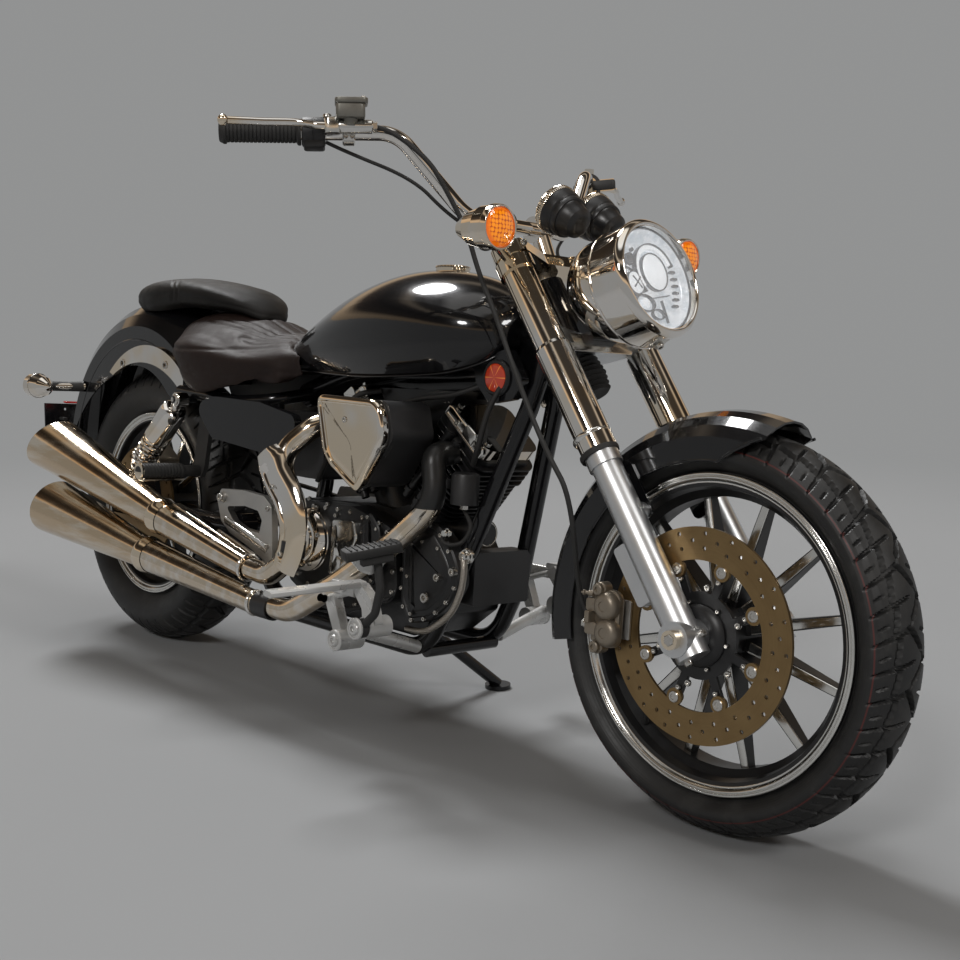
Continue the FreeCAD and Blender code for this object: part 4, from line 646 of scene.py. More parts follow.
@finish
def red_star(centre):
    """Round reflector of orange-red prisms, with six bright rays of painted glint and a faint painted glow, though a
    reflector gives no light of its own.
    """
    f = Finish("red_star")
    _, y, z = f.split(f.place(centre))
    angle = z.math("ARCTAN2", y)
    rays = abs((angle * 3.0).math("SINE"))
    r = (y * y + z * z) ** 0.5
    # painted glint: six bright rays where light would catch the prisms
    painted_glint_rays = f.ramp(rays, 0.20, 0.06) * f.ramp(r, 0.030, 0.026)
    weave = ((y * 2600.0).math("SINE") * (z * 2600.0).math("SINE")) * 0.5 + 0.5
    color = f.mix(weave, (0.36, 0.020, 0.006), (0.58, 0.05, 0.010))
    color = f.mix(painted_glint_rays, color, (0.90, 0.26, 0.04))
    # the emission is a painted glow on a reflector, which is no lamp
    return f.surface(color, 0.18, 0.0, f.bump(weave, 0.3, 0.0006),
                     **{"Emission Color": color, "Emission Strength": 0.10, "Coat Weight": 1.0})


@finish
def red_lens():
    """Red lens with level ribs."""
    f = Finish("red_lens")
    z = f.split(f.place())[2]
    bars = (z * 900.0).math("SINE") * 0.5 + 0.5
    color = f.mix(bars, (0.30, 0.008, 0.008), (0.60, 0.02, 0.016))
    return f.surface(color, 0.14, 0.0, f.bump(bars, 0.25, 0.001), **{"Coat Weight": 1.0})


@finish
def seat_brown():
    """Dark brown hide of the rider's seat."""
    return leather("seat_brown", (0.0085, 0.0046, 0.0038), (0.019, 0.011, 0.009))


@finish
def seat_black():
    """Black hide of the pillion seat."""
    return leather("seat_black", (0.004, 0.004, 0.004), (0.012, 0.011, 0.010))


def leather(name, dark, light):
    """Grained hide: fine cells under soft creases."""
    f = Finish(name)
    p = f.place()
    cells = f.add("ShaderNodeTexVoronoi", {"feature": "DISTANCE_TO_EDGE"}, {"Vector": p, "Scale": 520.0}, "Distance")
    grain = f.ramp(cells, 0.0, 0.12)
    crease = f.noise(p, 34.0, 6.0, 0.62)
    color = f.mix(grain * 0.5 + crease * 0.5, dark, light)
    return f.surface(color, f.ramp(crease, 0.3, 0.75, 0.46, 0.60), 0.0,
                     f.bump(grain * 0.6 + crease * 0.4, 0.30, 0.0007),
                     **{"Specular IOR Level": 0.20})


@finish
def lamp_glow():
    """The bright middle of a lamp's projector."""
    f = Finish("lamp_glow")
    p = f.place(LAMP_FACE)
    facets = f.add("ShaderNodeTexVoronoi", {"feature": "F1"}, {"Vector": p, "Scale": 420.0}, "Distance")
    tone = f.mix(f.ramp(facets, 0.1, 0.6), (0.96, 0.97, 0.98), (0.78, 0.81, 0.84))
    return f.surface(tone, 0.15, 0.1, f.bump(facets, 0.2, 0.001), **{"Emission Color": tone, "Emission Strength": 0.6})


@finish
def soot_and_painted_shade():
    """The inside of a silencer: soot brown towards its mouth, and near black deeper in, which is painted shade."""
    f = Finish("soot_and_painted_shade")
    y = f.split(f.place())[1]
    tone = f.noise(f.place(), 60.0, 5.0)
    # mouth runs from near black deep in the bore, painted shade, to the soot brown by the mouth
    mouth = f.ramp(y, 0.13, 0.19)
    color = f.mix(mouth, (0.004, 0.004, 0.004), f.mix(tone, (0.05, 0.028, 0.016), (0.11, 0.07, 0.045)))
    return f.surface(color, f.ramp(tone, 0.3, 0.7, 0.35, 0.6), 0.6, f.bump(tone, 0.1, 0.0005))


@finish
def braid():
    """Woven steel wire over a hose."""
    f = Finish("braid")
    x, y, z = f.split(f.place())
    weave = ((y * 1500.0 + z * 1500.0).math("SINE") * (x * 1500.0 + z * 1300.0 - y * 900.0).math("SINE")) * 0.5 + 0.5
    color = f.mix(weave, (0.22, 0.19, 0.16), (0.66, 0.61, 0.54))
    return f.surface(color, 0.32, 0.9, f.bump(weave, 0.5, 0.0006))


@finish
def dial():
    """Gauge face: pale marks round its edge on black."""
    f = Finish("dial")
    v = np.cross(GAUGE_AXIS, X)
    x, y, z = f.split(f.place(tuple(GAUGE_MIDDLE)))
    a = abs(x) - GAUGE_X / 1000
    b = y * float(v[1]) + z * float(v[2])
    angle = b.math("ARCTAN2", a)
    r = (a * a + b * b) ** 0.5
    fine = ((angle * 24.0).math("COSINE") > 0.93) * (r > 0.0275) * (r < 0.0325)
    big = ((angle * 6.0).math("COSINE") > 0.985) * (r > 0.0235) * (r < 0.0325)
    tone = f.noise(f.place(), 90.0, 3.0)
    face = f.mix(tone, (0.012, 0.012, 0.013), (0.022, 0.022, 0.024))
    color = f.mix(fine.math("MAXIMUM", big), face, (0.75, 0.75, 0.72))
    return f.surface(color, f.ramp(tone, 0.3, 0.7, 0.35, 0.5))


# ---------------------------------------------------------------- wheels
TYRES = {  # axle centre, outer radius, width, crown radius, bead radius, rim radius, rim width, grooves, red line
    "front": (FRONT_AXLE, 300.0, 126.0, 66.0, 219.0, 236.0, 98.0, 22, 270.0),
    "rear": (REAR_AXLE, 311.6, 150.0, 84.0, 190.0, 206.0, 112.0, 24, 0.0),
}


def tyre_section(outer, width, crown, bead, rim_r, rim_w, count):
    """Right to left over the outside of a tyre: (x, radius, mm from the middle of the tread), then back inside.

    The crown is an arc, and each sidewall is a quadratic curve from the shoulder to the bead.
    """
    shoulder = 0.37 * width
    drop = crown - math.sqrt(crown ** 2 - shoulder ** 2)
    bulge_r = (outer + rim_r) / 2 - 6
    bead_x = rim_w / 2 - 5.0
    a = math.asin(shoulder / crown)
    t = np.linspace(0, a, count)
    x = [crown * np.sin(t)]
    r = [outer - crown + crown * np.cos(t)]
    p0, p2 = np.array([shoulder, outer - drop]), np.array([bead_x, rim_r + 1.2])
    top = np.array([width / 2, bulge_r])
    p1 = 2 * top - (p0 + p2) / 2
    s = np.linspace(0, 1, count // 2 + 1)[1:, None]
    side = (1 - s) ** 2 * p0 + 2 * s * (1 - s) * p1 + s ** 2 * p2
    x.append(side[:, 0])
    r.append(side[:, 1])
    x.append(np.array([bead_x, bead_x - 3, bead_x - 10]))
    r.append(np.array([bead + 4, bead + 0.5, bead + 0.5]))
    return np.concatenate(x), np.concatenate(r)


def tread_depth(x, t, pitch):
    """Depth of the grooves at x across and t along the tread, in mm.

    Each groove is a straight stroke with a half width at each end; a point's depth follows its distance from the
    nearest stroke.  The pattern repeats every two pitches, and the left half is the right one, a pitch later.
    """
    p = pitch
    strokes = [  # from across, along, to across, along, half width at the start and at the end, depth
        (-70, -7, -40, 5, 1.6, 2.6, 6.0), (-40, 5, -14, 17, 2.6, 3.9, 6.5),
        (-70, p - 7, -40, p + 5, 1.6, 2.4, 6.0), (-40, p + 5, -8, p + 16, 2.4, 1.8, 5.5),
        (-36, 12, -31, p + 2, 3.4, 3.2, 6.5), (-36, p + 12, -31, 2 * p + 2, 3.4, 3.2, 6.5),
        (-14, 17, 7, -12, 3.9, 3.6, 6.5), (-12, 19, -3, 19 + 0.5 * p, 1.5, 1.1, 4.0),
        (-58, 0.5 * p - 4, -46, 0.5 * p + 1, 1.0, 1.4, 3.5), (-58, 1.5 * p - 4, -46, 1.5 * p + 1, 1.0, 1.4, 3.5),
    ]
    depth = np.zeros_like(x)
    for side, shift in ((1, 0.0), (-1, p)):
        for x0, t0, x1, t1, w0, w1, d in strokes:
            dx, dt = side * (x1 - x0), t1 - t0
            px = x - side * x0
            pt = (t - shift - t0 + p - dt / 2) % (2 * p) - p + dt / 2
            along = np.clip((px * dx + pt * dt) / (dx * dx + dt * dt), 0, 1)
            away = np.hypot(px - along * dx, pt - along * dt)
            half = w0 + (w1 - w0) * along
            depth = np.maximum(depth, d * np.clip((half + 0.9 - away) / 1.4, 0, 1))
    return depth


def tyre_shape(name):
    centre, outer, width, crown, bead, rim_r, rim_w, pairs, _ = TYRES[name]
    x, r = tyre_section(outer, width, crown, bead, rim_r, rim_w, 30)
    x = np.concatenate([-x[::-1], x[1:]])
    r = np.concatenate([r[::-1], r[1:]])
    steps = pairs * 46
    turn = np.linspace(0, 2 * math.pi, steps, endpoint=False)[:, None]
    pitch = math.pi * outer / pairs
    arc = np.concatenate([[0], np.cumsum(np.hypot(np.diff(x), np.diff(r)))])
    arc -= arc[len(arc) // 2]
    across = np.broadcast_to(arc * 60 / (0.47 * width), (steps, len(x)))
    depth = 1.15 * tread_depth(across * 0.93, np.broadcast_to(turn * outer, across.shape), pitch)
    depth = depth * np.clip((r[None] - (rim_r + 0.45 * (outer - rim_r))) / 12, 0, 1)
    radius = r[None] - depth
    points = np.stack([np.broadcast_to(x, radius.shape), radius * np.sin(turn), radius * np.cos(turn)], -1)
    return grid(points + centre, around=True, loop=True)


def ring(profile, centre, sides=160):
    """A closed ring about an axle: (x, radius) points all the way round its section."""
    a = np.linspace(0, 2 * math.pi, sides, endpoint=False)[:, None]
    p = np.asarray(profile, float)
    points = np.stack([np.broadcast_to(p[:, 0], (sides, len(p))), p[:, 1] * np.sin(a), p[:, 1] * np.cos(a)], -1)
    return grid(points + centre, around=True, loop=True)


def round_about(shape, centre, count, start=0.0):
    """Copies of a shape turned about an axle, evenly spaced."""
    out = []
    for k in range(count):
        m = np.array(Matrix.Rotation(-(start + 2 * math.pi * k / count), 3, "X"))
        out.append(Shape((shape.points - centre) @ m.T + centre, shape.faces))
    return joined(out)


def rim_lip(centre, rim_r, half):
    """The polished outer band of a rim: a rolled edge, a wide band and a step down."""
    p = [(-half - 0.4, rim_r - 1), (-half - 1.6, rim_r + 0.2), (-half - 3.0, rim_r - 1.0), (-half - 3.2, rim_r - 3.4),
         (-half - 1.6, rim_r - 4.6), (-half - 1.4, rim_r - 5.4), (-half - 2.6, rim_r - 6.4), (-half - 2.2, rim_r - 9),
         (-half + 1.5, rim_r - 13), (-half + 5.5, rim_r - 15.6), (-half + 8.5, rim_r - 16.4), (-half + 9.5, rim_r - 18),
         (-half + 7, rim_r - 18.6), (-half + 2.5, rim_r - 16), (-half + 0.8, rim_r - 9)]
    outer = smooth(np.array(p + p[:1]), 45)[:-1]
    return joined([ring(outer, centre), ring(outer * [-1, 1], centre)])


def spoke_face(centre, inner, outer, w0, w1, x0, x1):
    """The machined strip on a spoke's outer face, from hub to rim, with rounded long edges."""
    t = np.linspace(0, 1, 12)[:, None]
    radius = inner + (outer - inner) * t
    half = (w0 + (w1 - w0) * t ** 0.8) / 2
    height = x0 + (x1 - x0) * t
    s = np.array([-1, -0.86, -0.5, 0, 0.5, 0.86, 1])[None]
    rise = np.array([0.0, 0.9, 1.2, 1.3, 1.2, 0.9, 0.0])[None]
    points = np.stack([-(height + rise), half * s, radius + 0 * s], -1)
    under = np.stack([-(height - 1.0 + 0 * s), half * s, radius + 0 * s], -1)[:, ::-1]
    return grid(np.concatenate([points, under], 1) + centre, around=True)


class CRUISER_OT_tyres(bpy.types.Operator):
    """Cut the zigzag tread and the sidewalls of both tyres"""
    bl_idname = "cruiser.tyres"
    bl_label = "Tyres"
    bl_options = {"REGISTER", "UNDO"}

    def execute(self, context):
        for name, body in (("front", FRONT_WHEEL), ("rear", REAR_WHEEL)):
            finish_here = tyre_rubber(TYRES[name][-1], tuple(TYRES[name][0]))
            made(name + "_tyre_tread", tyre_shape(name), finish_here, body, "tyre", 28, (name + "_tyre",))
        return {"FINISHED"}


class CRUISER_OT_wheels(bpy.types.Operator):
    """Add the polished rims, machined spokes, disc buttons, bolts and valves"""
    bl_idname = "cruiser.wheels"
    bl_label = "Wheels and brakes"
    bl_options = {"REGISTER", "UNDO"}

    def execute(self, context):
        for name, body, spokes, hub, across, lean in (
                ("front", FRONT_WHEEL, 12, 52.0, -27.0, (-0.55, -0.5, 0.67)),
                ("rear", REAR_WHEEL, 10, 66.0, 4.0, (0, -0.6, 0.8))):
            centre, _, _, _, bead, rim_r, rim_w, _, _ = TYRES[name]
            made(name + "_rim_lip", rim_lip(centre, rim_r, rim_w / 2), polished_aluminium(), body,
                 "satin_aluminium")
            one = spoke_face(centre, hub, bead - 16, 16.5, 12.2, 19.7, 7.9)
            faces = round_about(joined([one, Shape((one.points - centre) * [-1, 1, 1] + centre, one.faces)]),
                                centre, spokes, math.pi / spokes)
            made(name + "_spoke_faces", faces, polished_aluminium(), body, "satin_aluminium")
            stem_at = centre + np.array([across, 0.6 * (bead - 16), -0.8 * (bead - 16)])
            valve = turned([(0, 0), (0, 5), (4, 5), (8, 3.6), (26, 3.4), (27, 4.4), (36, 4.4), (37, 3.4), (37, 0)],
                           stem_at, lean, 16)
            made(name + "_valve", valve, black_rubber(), body, "black_rubber")
        hub = FRONT_AXLE + X * -76.2
        bolt = stood(bolt_head(5.2, 4.5), hub + Z * 72.3, -X)
        small = stood(bolt_head(3.2, 3.0), hub + Z * 50, -X)
        made("front_hub_bolts", joined([round_about(bolt, FRONT_AXLE, 6, 0.9), round_about(small, FRONT_AXLE, 6, 0.4)]),
             steel(), FRONT_WHEEL, "chrome")
        face = FRONT_AXLE + X * -79.05
        button = stood(turned([(-2, 0), (-2, 8.6), (1.6, 8.6), (2.4, 7.6), (2.4, 4.8), (1.2, 4.4), (1.2, 0)],
                              (0, 0, 0), Z, 20), face + Z * 102, -X)
        start = math.radians(26)
        made("disc_buttons", round_about(button, FRONT_AXLE, 8, start), steel(), FRONT_WHEEL, "chrome")
        inner = stood(bolt_head(4.0, 3.4), face + X * 3 + Z * 86, -X)
        made("carrier_bolts", round_about(inner, FRONT_AXLE, 8, start), steel(), FRONT_WHEEL, "chrome")
        dome = turned([(0, 0), (0, 46), (3, 46), (8, 42), (11, 34), (12, 26), (12, 0)], FRONT_AXLE - X * 74.2, -X, 64)
        made("front_hub_dome", dome, satin_black(), FRONT_WHEEL, "cast_black")
        cap = turned([(0, 0), (0, 40), (5, 40), (9, 34), (10, 0)], REAR_AXLE - X * 81.2, -X, 48)
        made("rear_hub_cap", cap, polished_aluminium(), REAR_WHEEL, "satin_aluminium")
        return {"FINISHED"}


# ---------------------------------------------------------------- front end
LAMP_AXIS = np.array([0.0, -math.cos(math.radians(20)), math.sin(math.radians(20))])
LAMP_UP = np.cross(LAMP_AXIS, X)
LEG_X, LEG_AHEAD = 110.0, 1.0
CALIPER_OUT = unit(FORK_OUT * -126 + FORK_UP * 92)
SLIDER_TOP, YOKE_LOW, YOKE_TOP = 305.0, 504.0, 665.0


def on_lamp(across, up, out=0.0):
    """A point on the lamp's face: across to the rider's left, up its tilt and out of it."""
    return LAMP_FACE + X * across + LAMP_UP * up + LAMP_AXIS * out


def lamp_plate(outline, out, thick):
    """A plate on the lamp's face; its outline's first axis is to the viewer's left, the rider's right."""
    o = np.asarray(outline, float) * [-1, 1]
    return slab(o, on_lamp(0, 0, out), X, LAMP_UP, thick, 0.8)


def band(centre, a, b, wide, high, out, start=0.0, sweep=360.0):
    """A raised ring or arc on the lamp's face, an ellipse a by b."""
    t = np.radians(np.linspace(start, start + sweep, 64, endpoint=sweep < 360))
    path = np.stack([centre[0] + a * np.cos(t), centre[1] + b * np.sin(t)], -1)
    nxt = np.gradient(path, axis=0) if sweep < 360 else np.roll(path, -1, 0) - np.roll(path, 1, 0)
    n = np.stack([nxt[:, 1], -nxt[:, 0]], -1)
    n /= np.linalg.norm(n, axis=1)[:, None]
    section = rounded(wide, high, min(wide, high) * 0.4, 3)
    flat = path[:, None] + n[:, None] * section[None, :, :1]
    lift = out + section[:, 1] + high / 2 + 0 * flat[..., 0]
    points = LAMP_FACE + flat[..., :1] * X + flat[..., 1:] * LAMP_UP + lift[..., None] * LAMP_AXIS
    return grid(points, around=True, loop=sweep >= 360)


class CRUISER_OT_headlight(bpy.types.Operator):
    """Build the headlight's trim ring, its projector and smaller lamps, and the clear lens"""
    bl_idname = "cruiser.headlight"
    bl_label = "Headlight"
    bl_options = {"REGISTER", "UNDO"}

    def execute(self, context):
        bowl = turned([(-23, 0), (-23, 76), (-20, 80), (-3, 83), (-2, 83.4), (-23.4, 83.4), (-23.6, 0)],
                      LAMP_FACE, LAMP_AXIS, 96)
        made("lamp_gap", bowl, lamp_grey(), STEERING, "lens", replaces=("headlight_lens",))
        plate = turned([(-14, 0), (-14, 72), (-11, 77), (-5, 80.5), (-4, 81.6), (-6, 82), (-19, 79), (-19, 0)],
                       LAMP_FACE, LAMP_AXIS, 96)
        made("lamp_reflector", plate, lamp_white(), STEERING, "lens")
        bright = [turned([(-14, 28), (-9, 30), (-6, 24), (-4, 15), (-3, 0), (-14, 0)], on_lamp(8, 14), LAMP_AXIS, 48),
                  band((8, 14), 42, 40, 9, 8, -14, 20, 200),
                  turned([(-14, 17), (-8, 17), (-6, 13), (-5, 0), (-14, 0)], on_lamp(-44, -8), LAMP_AXIS, 32),
                  turned([(-14, 8), (-7, 8), (-5, 5), (-5, 0), (-14, 0)], on_lamp(-30, -40), LAMP_AXIS, 24)]
        made("lamp_projectors", joined(bright), lamp_glow(), STEERING, "lens")
        dark = [band((8, 14), 30.5, 30.5, 2.2, 7, -14), band((8, 14), 47.5, 45.5, 1.6, 9, -14, 15, 215),
                band((-44, -8), 19, 19, 2, 7, -14), band((-30, -40), 22, 13, 2.2, 7, -14),
                band((-2, -56), 14, 8, 1.8, 6, -14), band((-48, 30), 9, 9, 2, 8, -14),
                lamp_plate(circle(6, 40) + (48, 30), -14, 7), lamp_plate(circle(3, 40) + (36, 47), -14, 6)]
        for turn in (0.8, 2.37):
            dark.append(lamp_plate(rounded(26, 2.4, 1) @ np.array([[math.cos(turn), math.sin(turn)],
                                                                   [-math.sin(turn), math.cos(turn)]]) + (44, -8),
                                   -6.5, 2.2))
        for k in range(7):
            y = 30 - k * 11.5
            dark.append(lamp_plate(rounded(13, 4.2, 1.5) + (-57 + 0.006 * (y - 4) ** 2, y), -14, 6))
        for x0, y0, x1, y1 in ((-36, -22, 30, -34), (-14, -32, -20, -68), (62, 18, 34, 10), (60, -30, 20, -26)):
            made_at = np.array([(x0 + x1) / 2, (y0 + y1) / 2])
            run = math.hypot(x1 - x0, y1 - y0)
            c, s = (x1 - x0) / run, (y1 - y0) / run
            dark.append(lamp_plate(rounded(run, 1.6, 0.7) @ np.array([[c, s], [-s, c]]) + made_at, -14, 5))
        made("lamp_rings", joined(dark), lamp_grey(), STEERING, "lens")
        glass = turned([(0.5, 83.2), (3, 82), (8, 70), (12.5, 45), (14.5, 20), (15, 0), (13.4, 0), (12.8, 20),
                        (10.8, 45), (6.4, 70), (1.5, 81), (-1.5, 83.2)], LAMP_FACE, LAMP_AXIS, 96)
        made("lamp_glass", glass, clear_glass(), STEERING, "lens")
        ring = smooth([(-1, 84.2), (7, 85.2), (9.5, 87.5), (8.6, 90.6), (3, 95.6), (-3, 97.2), (-3, 95.8), (3, 93),
                       (6, 89), (5, 86.6), (-2, 85.6)], 33)
        made("lamp_trim", turned_ring(ring, LAMP_FACE, LAMP_AXIS), chrome(), STEERING, "chrome")
        crease = smooth([(-53, 96.6), (-55, 97.6), (-57.5, 96.6), (-59.5, 91), (-58.6, 90.2), (-56, 95)], 19)
        made("lamp_crease", turned_ring(crease, LAMP_FACE, LAMP_AXIS), chrome(), STEERING, "chrome")
        under = on_lamp(0, -97, -22)
        tab = [slab(rounded(26, 30, 4), under + Z * 2, X, unit(LAMP_AXIS * 0.9 + Z * 0.3), 4, 1),
               stood(bolt_head(7, 6), under - Z * 4, -Z + LAMP_AXIS * 0.7)]
        made("lamp_tab", joined(tab), steel(), STEERING, "chrome")
        return {"FINISHED"}


def turned_ring(section, origin, direction, sides=128):
    """A closed ring: the section's (along, radius) points go round an axis."""
    d = unit(direction)
    u, v = square_to(d)
    a = np.linspace(0, 2 * math.pi, sides, endpoint=False)
    spin = np.cos(a)[:, None] * u + np.sin(a)[:, None] * v
    s = np.asarray(section, float)
    return grid(np.asarray(origin) + s[None, :, :1] * d + s[None, :, 1:] * spin[:, None], around=True, loop=True)


class CRUISER_OT_indicators(bpy.types.Operator):
    """Add the orange lenses and chrome bezels of the four indicators"""
    bl_idname = "cruiser.indicators"
    bl_label = "Indicators"
    bl_options = {"REGISTER", "UNDO"}

    def execute(self, context):
        for side, name in ((-1, "right"), (1, "left")):
            at = np.array([side * 230.0, -1240, 875])
            lens = turned([(8.2, 0), (8.2, 29.5), (11, 29.2), (14, 25), (16.5, 14), (17.5, 0)], at, -Y, 64)
            made("front_indicator_lens_" + name, lens, amber(tuple(at)), STEERING, "lens")
            ring = smooth([(6, 30.2), (11.5, 30.2), (13, 32), (11.5, 34), (3, 35.2), (1.5, 34)], 24)
            made("front_indicator_ring_" + name, turned_ring(ring, at, -Y, 64), chrome(), STEERING, "chrome")
            clamp = fork(side * 110, -44, 687.2 + 6)
            along = unit(clamp - (at + Y * 24))
            boot = turned_ring([(30, 9.1), (30, 13), (33, 16.4), (40, 17), (42, 14.6),
                                (46, 14.6), (48, 16.4), (60, 15.6),
                                (66, 12.5), (68, 9.1)], at + Y * 24, along, 32)
            made("front_indicator_boot_" + name, boot, black_rubber(), STEERING, "black_rubber")
            at = np.array([side * 195.0, 285, 558])
            lens = turned([(40.2, 0), (40.2, 24), (43, 23.4), (47, 17), (49, 8), (49.4, 0)], at, Y, 48)
            made("rear_indicator_lens_" + name, lens, red_lens(), CHASSIS, "red_lens")
            stem = tube([at + [-side * 22, -5, 1], at + [-side * 60, -16, 2], at + [-side * 92, -34, 4]],
                        [11.5, 11.5, 12.5], sides=20)
            made("rear_indicator_stem_" + name, stem, black_rubber(), CHASSIS, "black_rubber")
            groove = turned_ring(smooth([(9, 28.2), (11, 29.4), (13, 28.2), (11, 27.8)], 13), at, Y, 48)
            made("rear_indicator_band_" + name, groove, chrome(), CHASSIS, "chrome")
        return {"FINISHED"}


class CRUISER_OT_fork(bpy.types.Operator):
    """Add the seals, clamps, bolts, boot, fender edge and stay bolts of the front end"""
    bl_idname = "cruiser.fork"
    bl_label = "Fork and fender"
    bl_options = {"REGISTER", "UNDO"}

    def execute(self, context):
        seals, bolts, polished = [], [], []
        for side in (-1, 1):
            x = side * LEG_X
            top = fork(x, -LEG_AHEAD, SLIDER_TOP)
            seals.append(turned([(-3, 30.5), (2, 31.6), (5, 31), (6, 29.6), (5, 28), (-3, 28)], top, FORK_UP, 48))
            polished.append(turned_ring(smooth([(330, 29), (333, 31), (337, 31), (340, 29)], 13),
                                    fork(x, -LEG_AHEAD, 0), FORK_UP, 64))
            low = fork(x, -LEG_AHEAD - 10, -26)
            bolts.append(stood(bolt_head(7, 6), low - FORK_UP * 6, -FORK_UP))
            bolts.append(stood(bolt_head(6, 6), fork(x - side * 6, 26, -6), FORK_OUT))
            lug = fork(side * 96, -LEG_AHEAD, 205)
            polished.append(turned([(0, 15), (12, 14.5), (14, 12), (14, 0)], lug, X * -side, 32))
            ear = fork(side * 76, -LEG_AHEAD, 240)
            for away in (-30, 30):
                bolts.append(stood(bolt_head(6.5, 4), ear + FORK_UP * away * 0.9, X * side))
            bolts.append(stood(hexagon_head(9, 6), FRONT_AXLE + X * side * 142, X * side))
            bolts.append(stood(bolt_head(5.5, 5), fork(x, 34, YOKE_TOP + 11), FORK_OUT))
        made("fork_seals", joined(seals), black_rubber(), STEERING, "black_rubber")
        made("fork_rings", joined(polished), polished_aluminium(), STEERING, "satin_aluminium")
        made("fork_bolts", joined(bolts), steel(), STEERING, "chrome")
        edge = np.radians(np.linspace(-14.3, 101.7, 120))
        rims = []
        for side in (-1, 1):
            r = np.interp(np.degrees(edge), [-14.3, -1, 102], [301, 253, 253.5])
            path = FRONT_AXLE + np.stack([0 * r + side * 69.6, r * np.sin(edge), r * np.cos(edge)], -1)
            rims.append(along_path(path, circle(2.4, 10), up=X))
        made("fender_bead", joined(rims), black_paint(), STEERING, "black_paint")
        rings = []
        for k in range(7):
            r = 30 - 1.2 * abs(k - 3)
            rings += [(k * 9, r - 5), (k * 9 + 4.5, r)]
        boot = turned([(0, 0)] + rings + [(63, 22), (63, 0)], fork(0, -38, YOKE_LOW - 64), FORK_UP, 40)
        made("stem_boot", boot, black_rubber(), STEERING, "black_rubber")
        shield = slab(rounded(150, 34, 10), fork(0, 8, YOKE_LOW + 2), X, FORK_UP, 3, 1)
        made("yoke_shield", shield, polished_aluminium(), STEERING, "satin_aluminium")
        return {"FINISHED"}


class CRUISER_OT_caliper(bpy.types.Operator):
    """Shape the front brake caliper with its pistons, bridge, bolts and bleed nipple"""
    bl_idname = "cruiser.caliper"
    bl_label = "Front caliper"
    bl_options = {"REGISTER", "UNDO"}

    def execute(self, context):
        out = CALIPER_OUT
        along = np.cross(out, X)
        middle = FRONT_AXLE + out * 148
        x = -105.0

        def at(a, b, c):
            return middle + along * a + out * b + X * (c - middle[0])

        parts = [slab(rounded(50, 88, 16), at(0, 4, x + 14), out, along, 12, 3)]
        for a in (-20, 20):
            parts.append(turned([(0, 22), (9, 22), (15, 19), (18, 14), (18, 8), (16.6, 7.4), (16.6, 0), (0, 0)],
                                at(a, -2 - 0.1 * a, x + 4), -X, 40))
            parts.append(brick(at(a * 0.9, 26, x + 6), (20, 26, 26), along, out, 5, 2))
        parts.append(brick(at(0, 28, x + 14), (78, 12, 22), along, out, 4, 2))
        parts.append(brick(at(0, 30, x + 8), (18, 9, 44), along, out, 2.5, 1.2))
        made("caliper_body", joined(parts), bronze_paint(), STEERING, "bronze_metal", replaces=("front_caliper",))
        bolts = []
        for a in (-44, 44):
            bolts.append(turned([(0, 9), (6, 9), (7.5, 7.5), (7.5, 4), (5, 4), (5, 0), (0, 0)],
                                at(a, 14, x - 6), -X, 20))
            bolts.append(turned([(0, 11), (16, 11), (18, 9.5), (18, 0), (0, 0)], at(a, 14, x + 12), -X, 24))
        bolts.append(turned([(0, 3.2), (40, 3.2), (40, 0), (0, 0)], at(-20, 38, x + 2), along, 12))
        bolts.append(turned([(0, 5), (7, 5), (7, 3), (13, 3), (14, 4.2), (17, 4.2), (17, 2), (20, 2), (20, 0)],
                            at(-34, 30, x), out - X * 0.3, 14))
        made("caliper_bolts", joined(bolts), bronze_paint(), STEERING, "bronze_metal")
        banjo = [turned([(0, 8.5), (9, 8.5), (9, 0)], at(14, 33, x + 2), out, 20),
                 stood(hexagon_head(7.5, 6), at(14, 42, x + 2), out)]
        made("caliper_banjo", joined(banjo), steel(), STEERING, "chrome")
        pads = [brick(at(0, -12, DISC_X + s * 5.6), (60, 30, 4.5), along, out, 3, 1) for s in (-1, 1)]
        made("brake_pads", joined(pads), cast_aluminium(), STEERING, "engine_alloy")
        return {"FINISHED"}


# ---------------------------------------------------------------- engine and exhaust
CRANK = np.array([0.0, -857.0, 342.0])
FRONT_CYL, REAR_CYL = 40.0, -30.0
UPPER_NECK, UPPER_TIP, UPPER_SLANT = np.array([-200.0, -290, 320]), np.array([-202.0, 189, 430]), 38.0
LOWER_NECK, LOWER_TIP, LOWER_SLANT = np.array([-200.0, -245, 234]), np.array([-202.0, 172, 286]), 17.0
NECK_R, TIP_R = 31.5, 61.0


def soft(points, radius, per=6):
    """A polygon whose corners are quadratic curves that start a radius before each corner."""
    p = np.asarray(points, float)
    back, on = np.roll(p, 1, 0) - p, np.roll(p, -1, 0) - p
    a = p + back * np.minimum(radius / np.linalg.norm(back, axis=1), 0.45)[:, None]
    b = p + on * np.minimum(radius / np.linalg.norm(on, axis=1), 0.45)[:, None]
    t = np.linspace(0, 1, per)[None, :, None]
    return ((1 - t) ** 2 * a[:, None] + 2 * t * (1 - t) * p[:, None] + t ** 2 * b[:, None]).reshape(-1, 2)


def relief(outline, origin, u, v, levels, shares=()):
    """A plate in steps: levels are (distance in from the outline, height); shares shrink the last one inwards."""
    o = anticlockwise(outline)
    rings = [(offset(o, d), h) for d, h in levels]
    last, height = rings[-1]
    middle = last.mean(0)
    rings += [(middle + (last - middle) * s, height) for s in shares]
    n = np.cross(u, v)
    return grid(np.array([np.asarray(origin) + q[:, :1] * u + q[:, 1:] * v + h * n for q, h in rings]), around=True)


